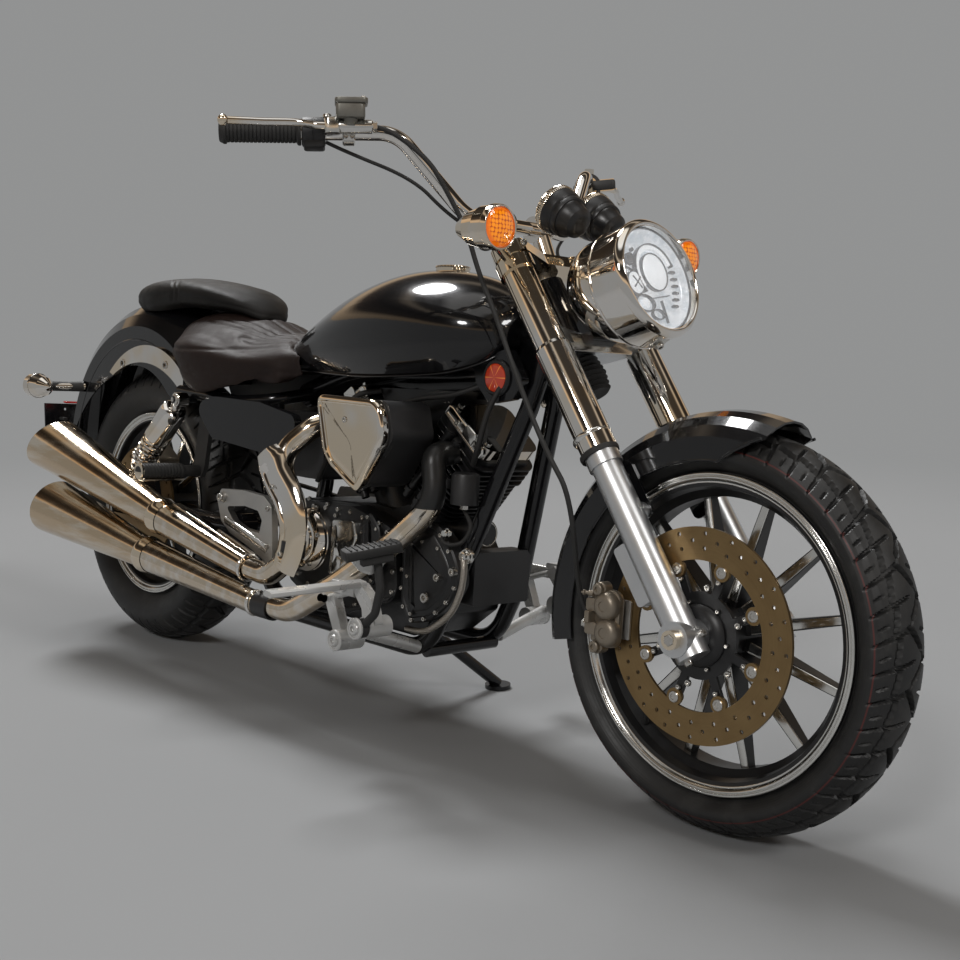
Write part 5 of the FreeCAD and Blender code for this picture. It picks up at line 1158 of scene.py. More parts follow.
def side_plate(outline, x, levels, side=-1, shares=()):
    """A stepped plate on a plane x, seen from the right (side -1) or the left (side 1); its outline is (y, z)."""
    return relief(np.asarray(outline, float) * [side, 1], (x, 0, 0), Y * side, Z, levels, shares)


def side_bolts(places, x, radius, height, side=-1):
    """Bolts on a plane x at some (y, z) places, each turned a little further."""
    return [stood(bolt_head(radius, height), (x, y, z), X * side, 0.7 * k) for k, (y, z) in enumerate(places)]


def bolts_round(outline, inset, count, x, radius, height, side=-1):
    """Bolts evenly spaced along an outline, set in from it."""
    o = anticlockwise(outline)
    o = offset(o, inset)
    closed = np.vstack([o, o[:1]])
    run = np.concatenate([[0], np.cumsum(np.linalg.norm(np.diff(closed, axis=0), axis=1))])
    at = np.linspace(0, run[-1], count, endpoint=False)
    return side_bolts(zip(np.interp(at, run, closed[:, 0]), np.interp(at, run, closed[:, 1])), x, radius, height, side)


def closed_tube(path, radius, sides=16):
    """A round bead along a closed flat path."""
    p = np.asarray(path, float)
    t = np.roll(p, -1, 0) - np.roll(p, 1, 0)
    t /= np.linalg.norm(t, axis=1)[:, None]
    out = p - p.mean(0)
    b = np.cross(t, out)
    b /= np.linalg.norm(b, axis=1)[:, None]
    o = np.cross(b, t)
    ring_of = circle(radius, sides)
    return grid(p[:, None] + ring_of[None, :, :1] * o[:, None] + ring_of[None, :, 1:] * b[:, None],
                around=True, loop=True)


class Cone:
    """A silencer: a cone from its neck, cut by a slanted plane through its tip."""

    def __init__(self, neck, tip, slant):
        self.neck, self.tip = neck, tip
        self.d, self.length = unit(tip - neck), float(np.linalg.norm(tip - neck))
        s = math.radians(slant)
        self.normal = np.array([0, math.cos(s), math.sin(s)])
        u, v = square_to(self.d)
        a = np.linspace(0, 2 * math.pi, 96, endpoint=False)[:, None]
        self.w = np.cos(a) * u + np.sin(a) * v

    def wall(self, r0, r1, s0, s1):
        """Start radius and slope of a wall whose radius is r0 at s0 and r1 at s1."""
        k = (r1 - r0) / (s1 - s0)
        return r0 - k * s0, k

    def cut(self, wall):
        """How far along the axis each line of a wall meets the slanted plane."""
        r, k = wall
        across = self.w @ self.normal
        return -((self.neck - self.tip) @ self.normal + r * across) / (self.d @ self.normal + k * across)

    def points(self, wall, s):
        r, k = wall
        s = np.broadcast_to(s, len(self.w))[:, None]
        return self.neck + self.d * s + self.w * (r + k * s)

    def rim(self):
        wall = self.wall(NECK_R - 3.2, TIP_R + 8 - 4.0, 0, self.length + 80)
        return closed_tube(self.points(wall, self.cut(wall)), 3.7)

    def bore(self):
        """A lining inside the mouth, a cup with thin walls, soot brown at the mouth and darkened deeper in by painted
        shade.
        """
        s0 = self.length - 58.5
        outer = self.wall(TIP_R - 11.6, TIP_R + 4.4, self.length - 60, self.length + 80)
        inner = (outer[0] - 1.6, outer[1])
        rows = [self.neck + self.d * s0 + self.w * r for r in (0.02, 20, 38)]
        end = self.cut(outer) - 3
        rows += [self.points(outer, s0 + (end - s0) * k) for k in np.linspace(0, 1, 7)]
        rows += [self.points(inner, s0 + 2 + (end - s0 - 2) * k) for k in np.linspace(1, 0, 7)]
        rows += [self.neck + self.d * (s0 + 2) + self.w * r for r in (34, 18, 17)]
        rows += [self.neck + self.d * (s0 + 1) + self.w * 0.02]
        return grid(np.array(rows), around=True)


class CRUISER_OT_exhaust(bpy.types.Operator):
    """Add the silencers' rolled tips and linings, the heat shields, clamps and lips"""
    bl_idname = "cruiser.exhaust"
    bl_label = "Exhaust"
    bl_options = {"REGISTER", "UNDO"}

    def execute(self, context):
        cones = [Cone(UPPER_NECK, UPPER_TIP, UPPER_SLANT), Cone(LOWER_NECK, LOWER_TIP, LOWER_SLANT)]
        made("silencer_rims", joined([c.rim() for c in cones]), chrome(), CHASSIS, "chrome")
        made("silencer_linings", joined([c.bore() for c in cones]), soot_and_painted_shade(), CHASSIS, "cast_black")
        ends = []
        lap = smooth([(-20, 35.2), (-8, 37.2), (2, 38.8), (9, 38.6), (14, 36), (15, 33.6), (13, 33), (6, 35.5),
                      (-6, 35.3)], 40)
        for neck, back in ((UPPER_NECK, np.array([-190.0, -585, 259])), (LOWER_NECK, np.array([-207.0, -640, 202]))):
            ends.append(turned_ring(lap, neck, neck - back, 96))
        for at, toward, r in (((-190, -585, 259), (0, -1, -0.04), 24.6), ((-207, -641, 202), (0, -1, 0), 22.4),
                              ((-190, -722, 292), (0, 0.15, -1), 24.0)):
            ends.append(turned_ring(smooth([(-3, r), (0, r + 2.6), (4, r + 2.6), (6, r), (5, r - 2), (-2, r - 2)], 25),
                                    at, toward, 64))
        made("shield_ends", joined(ends), chrome(), CHASSIS, "chrome")
        ledge = along_path(smooth([(-186, -318, 349), (-183, -430, 321), (-181, -545, 291), (-182, -590, 282)], 40),
                           rounded(19, 5, 2), up=Z)
        low = along_path(smooth([(-196, -270, 266), (-198, -430, 247), (-200, -600, 227)], 40),
                         rounded(10, 4, 1.6), up=Z)
        made("shield_flanges", joined([ledge, low]), chrome(), CHASSIS, "chrome")
        centre = smooth([(-648, 484), (-676, 446), (-713, 408), (-736, 362), (-733, 318), (-717, 279)], 61)
        run = np.linspace(0, 1, len(centre))
        half = np.interp(run, [0, 0.04, 0.1, 0.5, 1], [32, 38, 41, 41, 33])
        s = np.linspace(-1, 1, 25)
        groove = 5.0 * np.clip((0.26 - np.abs(s + 0.18)) / 0.07, 0, 1)[None]
        groove = groove * np.clip(np.minimum((run - 0.10) / 0.05, (0.93 - run) / 0.05), 0, 1)[:, None]
        top = 15.0 * (1 - np.abs(s) ** 3.2)[None] - groove
        under = np.maximum(top - 2.2, -1.0)
        across = half[:, None] * s[None]
        section = np.concatenate([np.stack([across, top], -1),
                                  np.stack([across * 0.97, np.minimum(under, top - 1.6)], -1)[:, ::-1]], 1)
        path = np.column_stack([np.full(len(centre), -201.0), centre])
        made("header_shield", along_path(path, section, up=-X), chrome(), CHASSIS, "chrome")
        clamp = [turned_ring([(0, 21.2), (0, 24), (46, 24), (46, 21.2)], (-207, -655, 202.2), -Y, 48),
                 turned_ring([(0, 21.2), (0, 23.4), (30, 23.4), (30, 21.2)], (-190, -724, 300), (0, -0.1, 1), 48)]
        made("header_clamps", joined(clamp), satin_black(), CHASSIS, "cast_black")
        screws = [stood(bolt_head(4.5, 6), (-218, -668, 224), (-0.5, 0, 1)),
                  stood(bolt_head(4.5, 6), (-214.5, -690, 425), -X), stood(bolt_head(4.5, 6), (-214, -724, 306), -X)]
        made("shield_screws", joined(screws), steel(), CHASSIS, "chrome")
        return {"FINISHED"}


def head_frame(lean):
    """Two directions on a cylinder's right side: forward across its fins, and up its axis."""
    a = math.radians(lean)
    return np.array([0, -math.cos(a), -math.sin(a)]), np.array([0, -math.sin(a), math.cos(a)])


class CRUISER_OT_engine(bpy.types.Operator):
    """Add the engine's covers, rocker strips, bright fin edges, bolts, hoses and fittings"""
    bl_idname = "cruiser.engine"
    bl_label = "Engine"
    bl_options = {"REGISTER", "UNDO"}

    def execute(self, context):
        ringed = [(0, 60), (7, 60), (8.5, 58.6), (11, 58.6), (12, 60), (15, 60), (19, 57), (27, 49), (29, 46), (29, 43),
                  (27, 41.5), (27, 36), (29.5, 34.5), (31, 31), (31.6, 22), (29.8, 20), (29.8, 14), (32.6, 12), (33, 0)]
        clutch = turned(ringed, (CASE_RIGHT - 0.2, -686, 325), -X, 96)
        primary = turned([(0, 74), (10, 74), (12, 71), (14, 71), (20, 64), (22, 58), (20.5, 55), (20.5, 34), (23, 31),
                          (24, 0)], (CASE_LEFT + 0.2, -830, 330), X, 96)
        made("engine_round_covers", joined([clutch, primary]), chrome(), CHASSIS, "chrome",
             replaces=("engine_covers",))
        point = soft([(-756, 371), (-819, 375), (-832, 346), (-809, 297), (-797, 264), (-751, 268), (-757, 303)], 9)
        facet = side_plate(point, CASE_RIGHT - 0.2,
                           [(0, 0), (0, 8), (1.2, 9.4), (4, 10), (9, 10.4), (14, 10.6)], shares=(0.6, 0.3))
        low = facet.points
        low[:, 0] -= np.clip(10 - np.abs(low[:, 1] + 783 + (low[:, 2] - 367) * 0.11), 0, 10) * 0.8 * (low[:, 0] < -127)
        made("pointed_cover", facet, polished_aluminium(), CHASSIS, "engine_alloy")
        gear = soft([(-938, 252), (-934, 368), (-975, 394), (-1022, 398), (-1048, 374), (-1074, 342), (-1088, 302),
                     (-1064, 262), (-1020, 226), (-962, 212)], 16)
        cover = side_plate(gear, -86, [(0, 0), (0, 22), (3, 25), (9, 26), (11, 24), (20, 24), (24, 27), (34, 28)])
        small = soft([(-862, 398), (-890, 372), (-905, 300), (-872, 262), (-842, 300), (-838, 372)], 10)
        plate = side_plate(small, CASE_RIGHT, [(0, 0), (0, 7), (2, 9), (8, 9.6), (10, 8), (16, 8)])
        base = soft([(-700, 240), (-800, 212), (-930, 256), (-918, 246), (-806, 203), (-690, 232)], 4)
        made("engine_black_covers", joined([cover, plate, side_plate(base, CASE_RIGHT, [(0, 0), (0, 4), (1, 5)])]),
             satin_black(), CHASSIS, "engine_black")
        case = soft([(-940, 250), (-925, 372), (-800, 400), (-650, 395), (-604, 320), (-640, 240), (-800, 205)], 30)
        bolts = bolts_round(case, 9, 22, CASE_RIGHT, 4.6, 4) + bolts_round(gear, 5.5, 15, -111, 4.2, 4)
        bolts += bolts_round(small, 5, 8, -127, 3.6, 3)
        bolts += bolts_round(case, 9, 18, CASE_LEFT, 4.6, 4, side=1)
        bolts += side_bolts([(-1009, 266)], -112, 9.5, 8) + side_bolts([(-1038, 306), (-1075, 321)], -112, 7.5, 9)
        bolts += side_bolts([(-966, 354), (-993, 361), (-1033, 355), (-959, 296), (-973, 232)], -113, 3.6, 4)
        bolts += side_bolts([(-759, 378), (-702, 386), (-734, 396), (-677, 400), (-864, 389), (-885, 380)],
                            -119, 4.2, 5)
        angle = np.radians(np.arange(5) * 72 + 20)
        bolts += side_bolts(zip(-686 + 52 * np.cos(angle), 325 + 52 * np.sin(angle)), -141, 4.2, 5)
        bolts.append(stood(hexagon_head(7, 8), (-95, -1070, 433), -Z))
        made("engine_bolts", joined(bolts), steel(), CHASSIS, "chrome")
        strips, fins, tubes, dark = [], [], [], []
        for lean in (FRONT_CYL, REAR_CYL):
            u, a = head_frame(lean)
            at = lambda s, t, x=-66.3: CRANK + u * s + a * t + X * x
            outline = soft(np.array([(-58, 266), (-58, 287), (-48, 291), (52, 291), (60, 284), (60, 270), (52, 266)]),
                           4)
            strips.append(relief(outline, CRANK + X * -66.2, u, a, [(0, 0), (0, 6), (1.5, 8), (3, 8.4), (5, 7.2)]))
            top = soft(np.array([(2, 276), (2, 298), (30, 300), (34, 292), (34, 276)]), 3)
            strips.append(relief(top, CRANK + X * -72, u, a, [(0, 0), (0, 7), (1.2, 8.6), (3, 9)]))
            strips += [stood(hexagon_head(6, 6), at(s, 292, -60), a) for s in (-46, 48)]
            strips.append(stood(bolt_head(5, 5), at(-20, 279, -74.4), -X))
            for k in range(4):
                strip = rounded(27 - 3 * k, 2.6, 1.2)
                for s in (-31, 18 + 2 * k):
                    fins.append(slab(strip, at(s, 216 + 12 * k, -74.0), u, a, 1.2, 0.4, 2))
                    fins.append(slab(rounded(22, 2.6, 1.2), at(s, 202 - 10 * k, -72.0), u, a, 1.2, 0.4, 2))
            for s in (-24, 6):
                tubes.append(tube([at(s, 96, -76), at(s * 0.8, 262, -79)], 7.5, 9))
                for k, t in enumerate((108, 250)):
                    tubes.append(turned([(0, 10), (9, 10), (10, 9), (10, 0)], at(s * (1 - 0.2 * k), t, -76.5), a, 20))
            plug = at(-2, 236, -74)
            dark.append(stood(turned([(0, 9), (10, 9), (12, 6), (30, 5.6), (34, 8), (52, 7.6), (54, 0)],
                                     (0, 0, 0), Z, 20),
                              plug + u * 24, unit(-X - a * 0.5)))
        made("rocker_strips", joined(strips), polished_aluminium(), CHASSIS, "engine_alloy")
        made("bright_fin_edges", joined(fins), polished_aluminium(), CHASSIS, "engine_alloy")
        made("pushrod_tubes", joined(tubes), satin_black(), CHASSIS, "engine_black")
        dark.append(turned([(0, 0), (0, 24), (48, 24), (52, 22), (54, 18), (54, 0)], (-95, -1070, 434), Z, 40))
        dark.append(brick((-108, -1037, 466), (18, 16, 14), Y, Z, 2, 1))
        made("plug_caps_and_sensor", joined(dark), black_plastic(), CHASSIS, "black_plastic")
        banjo = [turned([(0, 0), (0, 13), (4, 13), (5, 11), (9, 11), (9, 9.5), (11, 8),
                         (16, 8), (17, 5), (13, 4), (13, 0)],
                        (-112, -1107, 353), -X, 32),
                 turned([(0, 0), (0, 8), (3, 8), (3, 6.5), (10, 6.5), (12, 5), (12, 0)], (-112, -1054, 384), -X, 20)]
        made("oil_fittings", joined(banjo), polished_aluminium(), CHASSIS, "engine_alloy")
        line = [(-124, -1107, 350), (-125, -1111, 327), (-124, -1104, 291), (-121, -1080, 252), (-116, -1031, 217),
                (-110, -995, 205), (-100, -950, 200)]
        thin = [(-118, -1054, 384), (-121, -1049, 372), (-118, -1064, 366), (-104, -1080, 372), (-96, -1090, 398),
                (-92, -1068, 424), (-88, -1036, 448)]
        made("oil_hose", tube(line, 5.6, 90), braid(), CHASSIS, "chrome")
        made("breather_hose", tube(thin, 3.6, 90), black_rubber(), CHASSIS, "black_rubber")
        badge = (-66.2, -1102, 650)
        made("reflector_cup", turned([(0, 0), (0, 31), (3, 31), (6.5, 28), (6.5, 24.6), (4, 24), (4, 0)],
                                     badge, -X, 64),
             satin_black(), CHASSIS, "cast_black")
        made("side_reflector", turned([(4.2, 0), (4.2, 23.8), (6.6, 23.4), (8, 20), (8.6, 0)], badge, -X, 64),
             red_star(badge), CHASSIS, "red_lens")
        hoses = [tube([(-60, -1128, 668), (-78, -1100, 600), (-80, -1082, 540), (-70, -1060, 500)], 5, 60),
                 tube([(-44, -1060, 640), (-70, -1000, 616), (-84, -930, 604), (-88, -880, 590)], 4.5, 60),
                 tube([(-62, -800, 612), (-86, -760, 600), (-90, -720, 560), (-84, -690, 500), (-92, -660, 430)],
                      5, 60)]
        made("engine_hoses", joined(hoses), black_rubber(), CHASSIS, "black_rubber")
        neat = [brick((-88, -878, 577), (10, 36, 9), Y * 0.4 + Z, X, 3, 1.5),
                turned_ring([(-4, 27), (-4, 29), (4, 29), (4, 27)], (-100, -880, 548), X, 40)]
        made("intake_clamps", joined(neat), steel(), CHASSIS, "chrome")
        end = turned_ring(smooth([(44, 24.4), (48, 25.4), (53, 24.4), (55, 20), (53, 20), (47, 23.6)], 25),
                          (-20, -1002.3, 378), -Y, 48)
        made("filter_rim", end, chrome(), CHASSIS, "chrome")
        return {"FINISHED"}


class CRUISER_OT_covers(bpy.types.Operator):
    """Shape the air cleaner's shield and its seam, the ribs of the castings, and the bolts of the covers and castings
    """
    bl_idname = "cruiser.covers"
    bl_label = "Covers"
    bl_options = {"REGISTER", "UNDO"}

    def execute(self, context):
        outline = soft([(-797, 602), (-973, 601), (-992, 536), (-926, 447), (-913, 441), (-831, 489)], 26, 9)
        face = side_plate(outline, -196.3, [(2, 0), (0, 2), (0, 13), (1.2, 16.4), (3.4, 18.6), (7, 19.6), (9.5, 18.8),
                                            (11.5, 15.6), (13.5, 14.6), (17, 15.2), (22, 15.8)],
                          shares=(0.9, 0.78, 0.64, 0.5, 0.36, 0.22, 0.1))
        p = face.points
        out = np.clip((-205 - p[:, 0]) / 10, 0, 1)
        p[:, 0] += out * np.clip(506 - p[:, 2], 0, 60) * 0.10 + out * np.clip((p[:, 1] + 850) / 60, 0, 1) * 2.5
        made("air_cleaner_cover", face, chrome(), CHASSIS, "chrome", 30, ("air_cleaner_shield",))
        bolt = [stood(bolt_head(5.5, 3), (-211.4, -884, 562), -X)]
        line = side_plate(soft([(-800, 597), (-976, 598), (-994, 537), (-930, 452), (-912, 445), (-836, 491)], 24, 8),
                          -186, [(0, 0), (-1.2, 0.6), (-1.2, 3.4), (0, 4)])
        made("air_cleaner_seam", line, black_rubber(), CHASSIS, "black_rubber")
        for side in (-1, 1):
            bolt.append(stood(bolt_head(9, 6), (side * 161.4, -442, 377), X * side))
            bolt.append(stood(bolt_head(6, 4), (side * 157.4, -600, 300), X * side))
            bolt.append(stood(bolt_head(6, 4), (side * 157.4, -596, 372), X * side))
            bolt.append(stood(bolt_head(5, 3.5), (side * 132.5, -440, 540), X * side))
        made("cover_bolts", joined(bolt), steel(), CHASSIS, "chrome")
        recess = soft([(-448, 326), (-540, 303), (-598, 284), (-600, 300), (-545, 318), (-450, 342)], 6)
        made("casting_ribs", joined([side_plate(recess, s * 157.3, [(0, 0), (1, 1.6), (3, 2.2)], side=s)
                                     for s in (-1, 1)]),
             polished_aluminium(), CHASSIS, "engine_alloy")
        return {"FINISHED"}


# ---------------------------------------------------------------- bars, seats, cords and the rear
BAR_END, BAR_BEND = np.array([-450.0, -830, 1013]), np.array([-229.5, -1001, 1032])
GRIP_AXIS = unit(BAR_BEND - BAR_END)
LEVER_FRONT = np.array([0, -1, 0.15])
LEVER_FRONT = unit(LEVER_FRONT - GRIP_AXIS * (GRIP_AXIS @ LEVER_FRONT))
GRIP_UP = np.cross(LEVER_FRONT, GRIP_AXIS)
CALIPER_TOP = FRONT_AXLE + CALIPER_OUT * 181.3 - X * 101.0


def on_bar(along, front=0.0, up=0.0):
    """A point by the right grip: along the bar from its end, forwards of it and above it."""
    return BAR_END + GRIP_AXIS * along + LEVER_FRONT * front + GRIP_UP * up


class CRUISER_OT_handlebar(bpy.types.Operator):
    """Shape the ribbed grips, the switch housings, the reservoir and the bolts on the bars"""
    bl_idname = "cruiser.handlebar"
    bl_label = "Bar controls"
    bl_options = {"REGISTER", "UNDO"}

    def execute(self, context):
        s = np.linspace(10, 119, 328)
        r = 17.3 - 1.3 * np.clip(np.cos(2 * math.pi * (s - 14) / 6.1) * 2 - 1.1, 0, 1)
        profile = np.vstack([[(-3, 12.7), (-3, 15), (-1.5, 17), (2, 18.5), (4, 19.8), (8, 19.8), (9.5, 17.3)],
                             np.column_stack([s, r]),
                             [(120, 19.5), (122, 21), (125.4, 21), (126, 20), (126, 12.7)]])
        grip = turned_ring(profile, BAR_END, GRIP_AXIS, 48)
        made("grip_rubbers", both_sides(grip), black_rubber(), STEERING, "black_rubber", 30, ("grips",))
        cap = turned([(-2.9, 0), (-2.9, 9), (-1.5, 12), (3, 12.4), (3, 0)], BAR_END, GRIP_AXIS, 40)
        made("bar_end_caps", both_sides(cap), chrome(), STEERING, "chrome")
        house = [turned_ring([(127, 12.7), (127, 20), (129, 23), (132, 24), (144.6, 24), (145.2, 23.2), (146.4, 23.2),
                              (147, 24), (159, 24), (163, 23), (165, 20), (165, 12.7)], BAR_END, GRIP_AXIS, 48),
                 brick(on_bar(147, 2, -17), (34, 30, 22), GRIP_AXIS, LEVER_FRONT, 6, 3),
                 brick(on_bar(149, -18, 6), (26, 20, 16), GRIP_AXIS, GRIP_UP, 5, 3)]
        made("switch_boxes", both_sides(joined(house)), black_plastic(), STEERING, "black_plastic", 35,
             ("switch_housings",))
        keys = [brick(on_bar(141, -27, 8), (8, 10, 5), GRIP_AXIS, GRIP_UP, 2, 1),
                brick(on_bar(155, -27, 4), (9, 7, 5), GRIP_AXIS, GRIP_UP, 2, 1)]
        made("switch_keys", both_sides(joined(keys)), black_rubber(), STEERING, "black_rubber")
        body = [turned_ring([(192, 12.9), (192, 19), (194, 21), (210, 21), (212, 19), (212, 12.9)], BAR_END,
                            GRIP_AXIS, 40),
                turned([(168, 0), (168, 9), (171, 11), (238, 11), (240, 9), (240, 0)], on_bar(0, 32), GRIP_AXIS, 32),
                brick(on_bar(202, 22, 2), (30, 26, 16), GRIP_AXIS, LEVER_FRONT, 6, 2),
                brick(on_bar(176, 34, 0), (26, 22, 26), GRIP_AXIS, LEVER_FRONT, 8, 2),
                stood(turned([(0, 9), (22, 9), (26, 8), (26, 5), (0, 5)], (0, 0, 0), Z, 24), on_bar(202, 0, 8), Z)]
        made("master_cylinder_body", joined(body), polished_aluminium(), STEERING, "satin_aluminium", 35,
             ("brake_master_cylinder",))
        top = on_bar(204, 38, 0) + Z * 26
        back = unit(np.cross(GRIP_AXIS, Z))
        pot = [slab(rounded(46, 40, 7), top - Z * 16, GRIP_AXIS, -back, 24, 3),
               slab(rounded(52, 46, 8), top + Z * 6, GRIP_AXIS, -back, 9, 2.4),
               turned([(-22, 9), (-12, 12), (-12, 0)], top - Z * 4, Z, 24)]
        made("brake_reservoir", joined(pot), grey_metal(), STEERING, "satin_aluminium")
        perch = [brick(on_bar(175, 28), (25, 49, 19), GRIP_AXIS, LEVER_FRONT, 7, 3),
                 turned_ring([(164, 19), (164, 23.6), (167, 25.4), (183, 25.4), (186, 23.6), (186, 19)],
                             BAR_END, GRIP_AXIS, 40)]
        made("clutch_perch_cover", joined(perch).mirrored(), black_plastic(), STEERING, "black_plastic")
        bits = [stood(bolt_head(3.4, 2.2), top + GRIP_AXIS * s * 18 + back * s * 15 + Z * 15, Z) for s in (-1, 1)]
        bits += [stood(bolt_head(4.4, 4), on_bar(a, 23, s * 12), LEVER_FRONT) for a in (197, 207) for s in (-1, 1)]
        bits.append(stood(bolt_head(7, 5), on_bar(168, 36, 13), GRIP_UP))
        bits.append(turned([(238, 9), (246, 9), (247, 7.5), (247, 0), (238, 0)], on_bar(0, 32), GRIP_AXIS, 6))
        made("bar_bolts", joined(bits), steel(), STEERING, "chrome")
        return {"FINISHED"}


class CRUISER_OT_gauges(bpy.types.Operator):
    """Shape the two gauges: stepped black cups, knurled bezels, dials, needles and glasses"""
    bl_idname = "cruiser.gauges"
    bl_label = "Gauges"
    bl_options = {"REGISTER", "UNDO"}

    def execute(self, context):
        d = GAUGE_AXIS
        u, v = square_to(d)
        cups, bezels, dials, glasses = [], [], [], []
        for side in (-1, 1):
            at = GAUGE_MIDDLE + X * side * GAUGE_X
            cups.append(turned([(-34, 0), (-34, 14), (-32, 18), (-26, 25), (-22, 26), (-8, 29), (-5, 31.4), (-5, 33.6),
                                (-2, 34.6), (2, 34.8), (6, 34.4), (8, 36.4), (18, 38.8), (24, 39), (24, 33), (30, 33),
                                (30, 0)], at, d, 64))
            a = np.linspace(0, 2 * math.pi, 288, endpoint=False)[:, None]
            section = np.array([(24.2, 39.4), (26, 40.2), (34, 40.2), (36, 39.4), (37.6, 38), (37.6, 35.4), (35, 34.4),
                                (24.2, 34.4)])
            knurl = np.clip(np.cos(72 * a), -0.4, 0.4) * np.array([0, 1, 1, 0.3, 0, 0, 0, 0])[None]
            spin = np.cos(a)[..., None] * u + np.sin(a)[..., None] * v
            points = at + section[None, :, :1] * d + (section[None, :, 1] + knurl)[..., None] * spin
            bezels.append(grid(points, around=True, loop=True))
            dials.append(turned([(30.2, 0), (30.2, 34.2), (31, 34.2), (31, 0)], at, d, 64))
            dials.append(turned([(31.1, 0), (31.1, 5), (33, 4.4), (33.4, 0)], at, d, 24))
            needle = unit(u * 0.6 + v * side)
            dials.append(slab(np.array([(-1.6, -7), (1.6, -7), (0.5, 27), (-0.5, 27)]),
                              at + d * 32, np.cross(needle, d), needle, 0.8, 0.2, 2))
            glasses.append(turned([(34.6, 0), (34.6, 34), (35.2, 34.6), (36.4, 30), (37, 0)], at, d, 64))
        made("gauge_cups", joined(cups), satin_black(), STEERING, "cast_black", 30, ("gauges",))
        made("gauge_bezels", joined(bezels), chrome(), STEERING, "chrome", 30)
        made("gauge_dials", joined(dials), dial(), STEERING, "black_plastic")
        made("gauge_glasses", joined(glasses), clear_glass(), STEERING, "lens")
        return {"FINISHED"}


VOXEL = 0.0055          # edge of the remeshed seats' faces, in metres
EDGE_SMOOTHS = 16       # passes that round the plain pads' edges
MOVE_SMOOTHS = 30       # passes that even out the cloth's movement, so that no wrinkle is left
PRESSURE, STIFFNESS, CLOTH_FRAMES = 4.0, 18, 20
SHRINK = 0.002          # how much smaller a pad starts than it ends, in metres
CHANNEL_WIDTH, STRAP_EDGE_WIDTH = 3.0, 2.6


def cad_object(node):
    """The object that the frame made for a node."""
    return next(o for o in bpy.data.objects if o.get("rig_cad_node") == node)


def swollen(node, cap, more=()):
    """A cushion's surface: the frame's plain pad and more shapes, remeshed finely and blown up like cloth.

    No point moves further than the cap, in metres.
    """
    mesh = cad_object(node).data.copy()
    bm = bmesh.new()
    bm.from_mesh(mesh)
    for shape in more:
        extra = mesh_of("extra", placed(shape.points), shape.faces)
        bm.from_mesh(extra)
        bpy.data.meshes.remove(extra)
    bm.to_mesh(mesh)
    bm.free()
    obj = linked(node + "_cloth", mesh)
    remesh = obj.modifiers.new("remesh", "REMESH")
    remesh.mode, remesh.voxel_size, remesh.use_smooth_shade = "VOXEL", VOXEL, True
    graph = bpy.context.evaluated_depsgraph_get()
    fine = bpy.data.meshes.new_from_object(obj.evaluated_get(graph))
    obj.modifiers.clear()
    obj.data = fine
    bm = bmesh.new()
    bm.from_mesh(fine)
    for _ in range(EDGE_SMOOTHS):
        bmesh.ops.smooth_vert(bm, verts=bm.verts, factor=0.5, use_axis_x=True, use_axis_y=True, use_axis_z=True)
    bm.to_mesh(fine)
    bm.free()
    start = values(fine.vertices, "co", 3)
    small = start - values(fine.vertices, "normal", 3) * SHRINK
    fine.vertices.foreach_set("co", small.ravel())
    cloth = obj.modifiers.new("cloth", "CLOTH")
    c = cloth.settings
    c.quality, c.mass, c.use_pressure, c.uniform_pressure_force = 6, 0.3, True, PRESSURE
    c.tension_stiffness = c.compression_stiffness = STIFFNESS
    c.effector_weights.gravity = 0.0
    cloth.point_cache.frame_start, cloth.point_cache.frame_end = 1, CLOTH_FRAMES
    for frame_at in range(1, CLOTH_FRAMES + 1):
        bpy.context.scene.frame_set(frame_at)
    graph = bpy.context.evaluated_depsgraph_get()
    end = values(obj.evaluated_get(graph).to_mesh().vertices, "co", 3)
    end -= (end - small).mean(0)
    obj.modifiers.clear()
    bpy.context.scene.frame_set(1)
    edges = values(fine.edges, "vertices", 2, int)
    a, b = edges.T
    degree = np.bincount(edges.ravel(), minlength=len(start))[:, None]
    move = end - small
    for _ in range(MOVE_SMOOTHS):
        around = np.zeros_like(move)
        np.add.at(around, a, move[b])
        np.add.at(around, b, move[a])
        move = 0.4 * move + 0.6 * around / degree
    size = np.linalg.norm(move, axis=1)[:, None]
    small = small + move * np.minimum(1, cap / np.maximum(size, 1e-9))
    points = (small - SHIFT) @ UPRIGHT * 1000
    corners = values(fine.loops, "vertex_index", 1, int)
    starts, totals = (values(fine.polygons, key, 1, int) for key in ("loop_start", "loop_total"))
    bpy.data.objects.remove(obj)
    return Shape(points, [corners[starts[totals == n][:, None] + np.arange(n)] for n in np.unique(totals)])


def near_lines(points, lines):
    """Each point's distance from the nearest of some polylines, in plan."""
    best = np.full(len(points), 1e9)
    for line in lines:
        line = np.asarray(line, float)
        for a, b in zip(line[:-1], line[1:]):
            d = b - a
            t = np.clip(((points[:, :2] - a) @ d) / (d @ d + 1e-9), 0, 1)
            best = np.minimum(best, np.linalg.norm(points[:, :2] - a - t[:, None] * d, axis=1))
    return best


def normals(shape):
    """Outward unit normals at a closed shape's points."""
    mesh = mesh_of("measured", shape.points, shape.faces)
    normal = values(mesh.vertices, "normal", 3)
    bpy.data.meshes.remove(mesh)
    return normal if normal[np.argmax(shape.points[:, 2])][2] > 0 else -normal


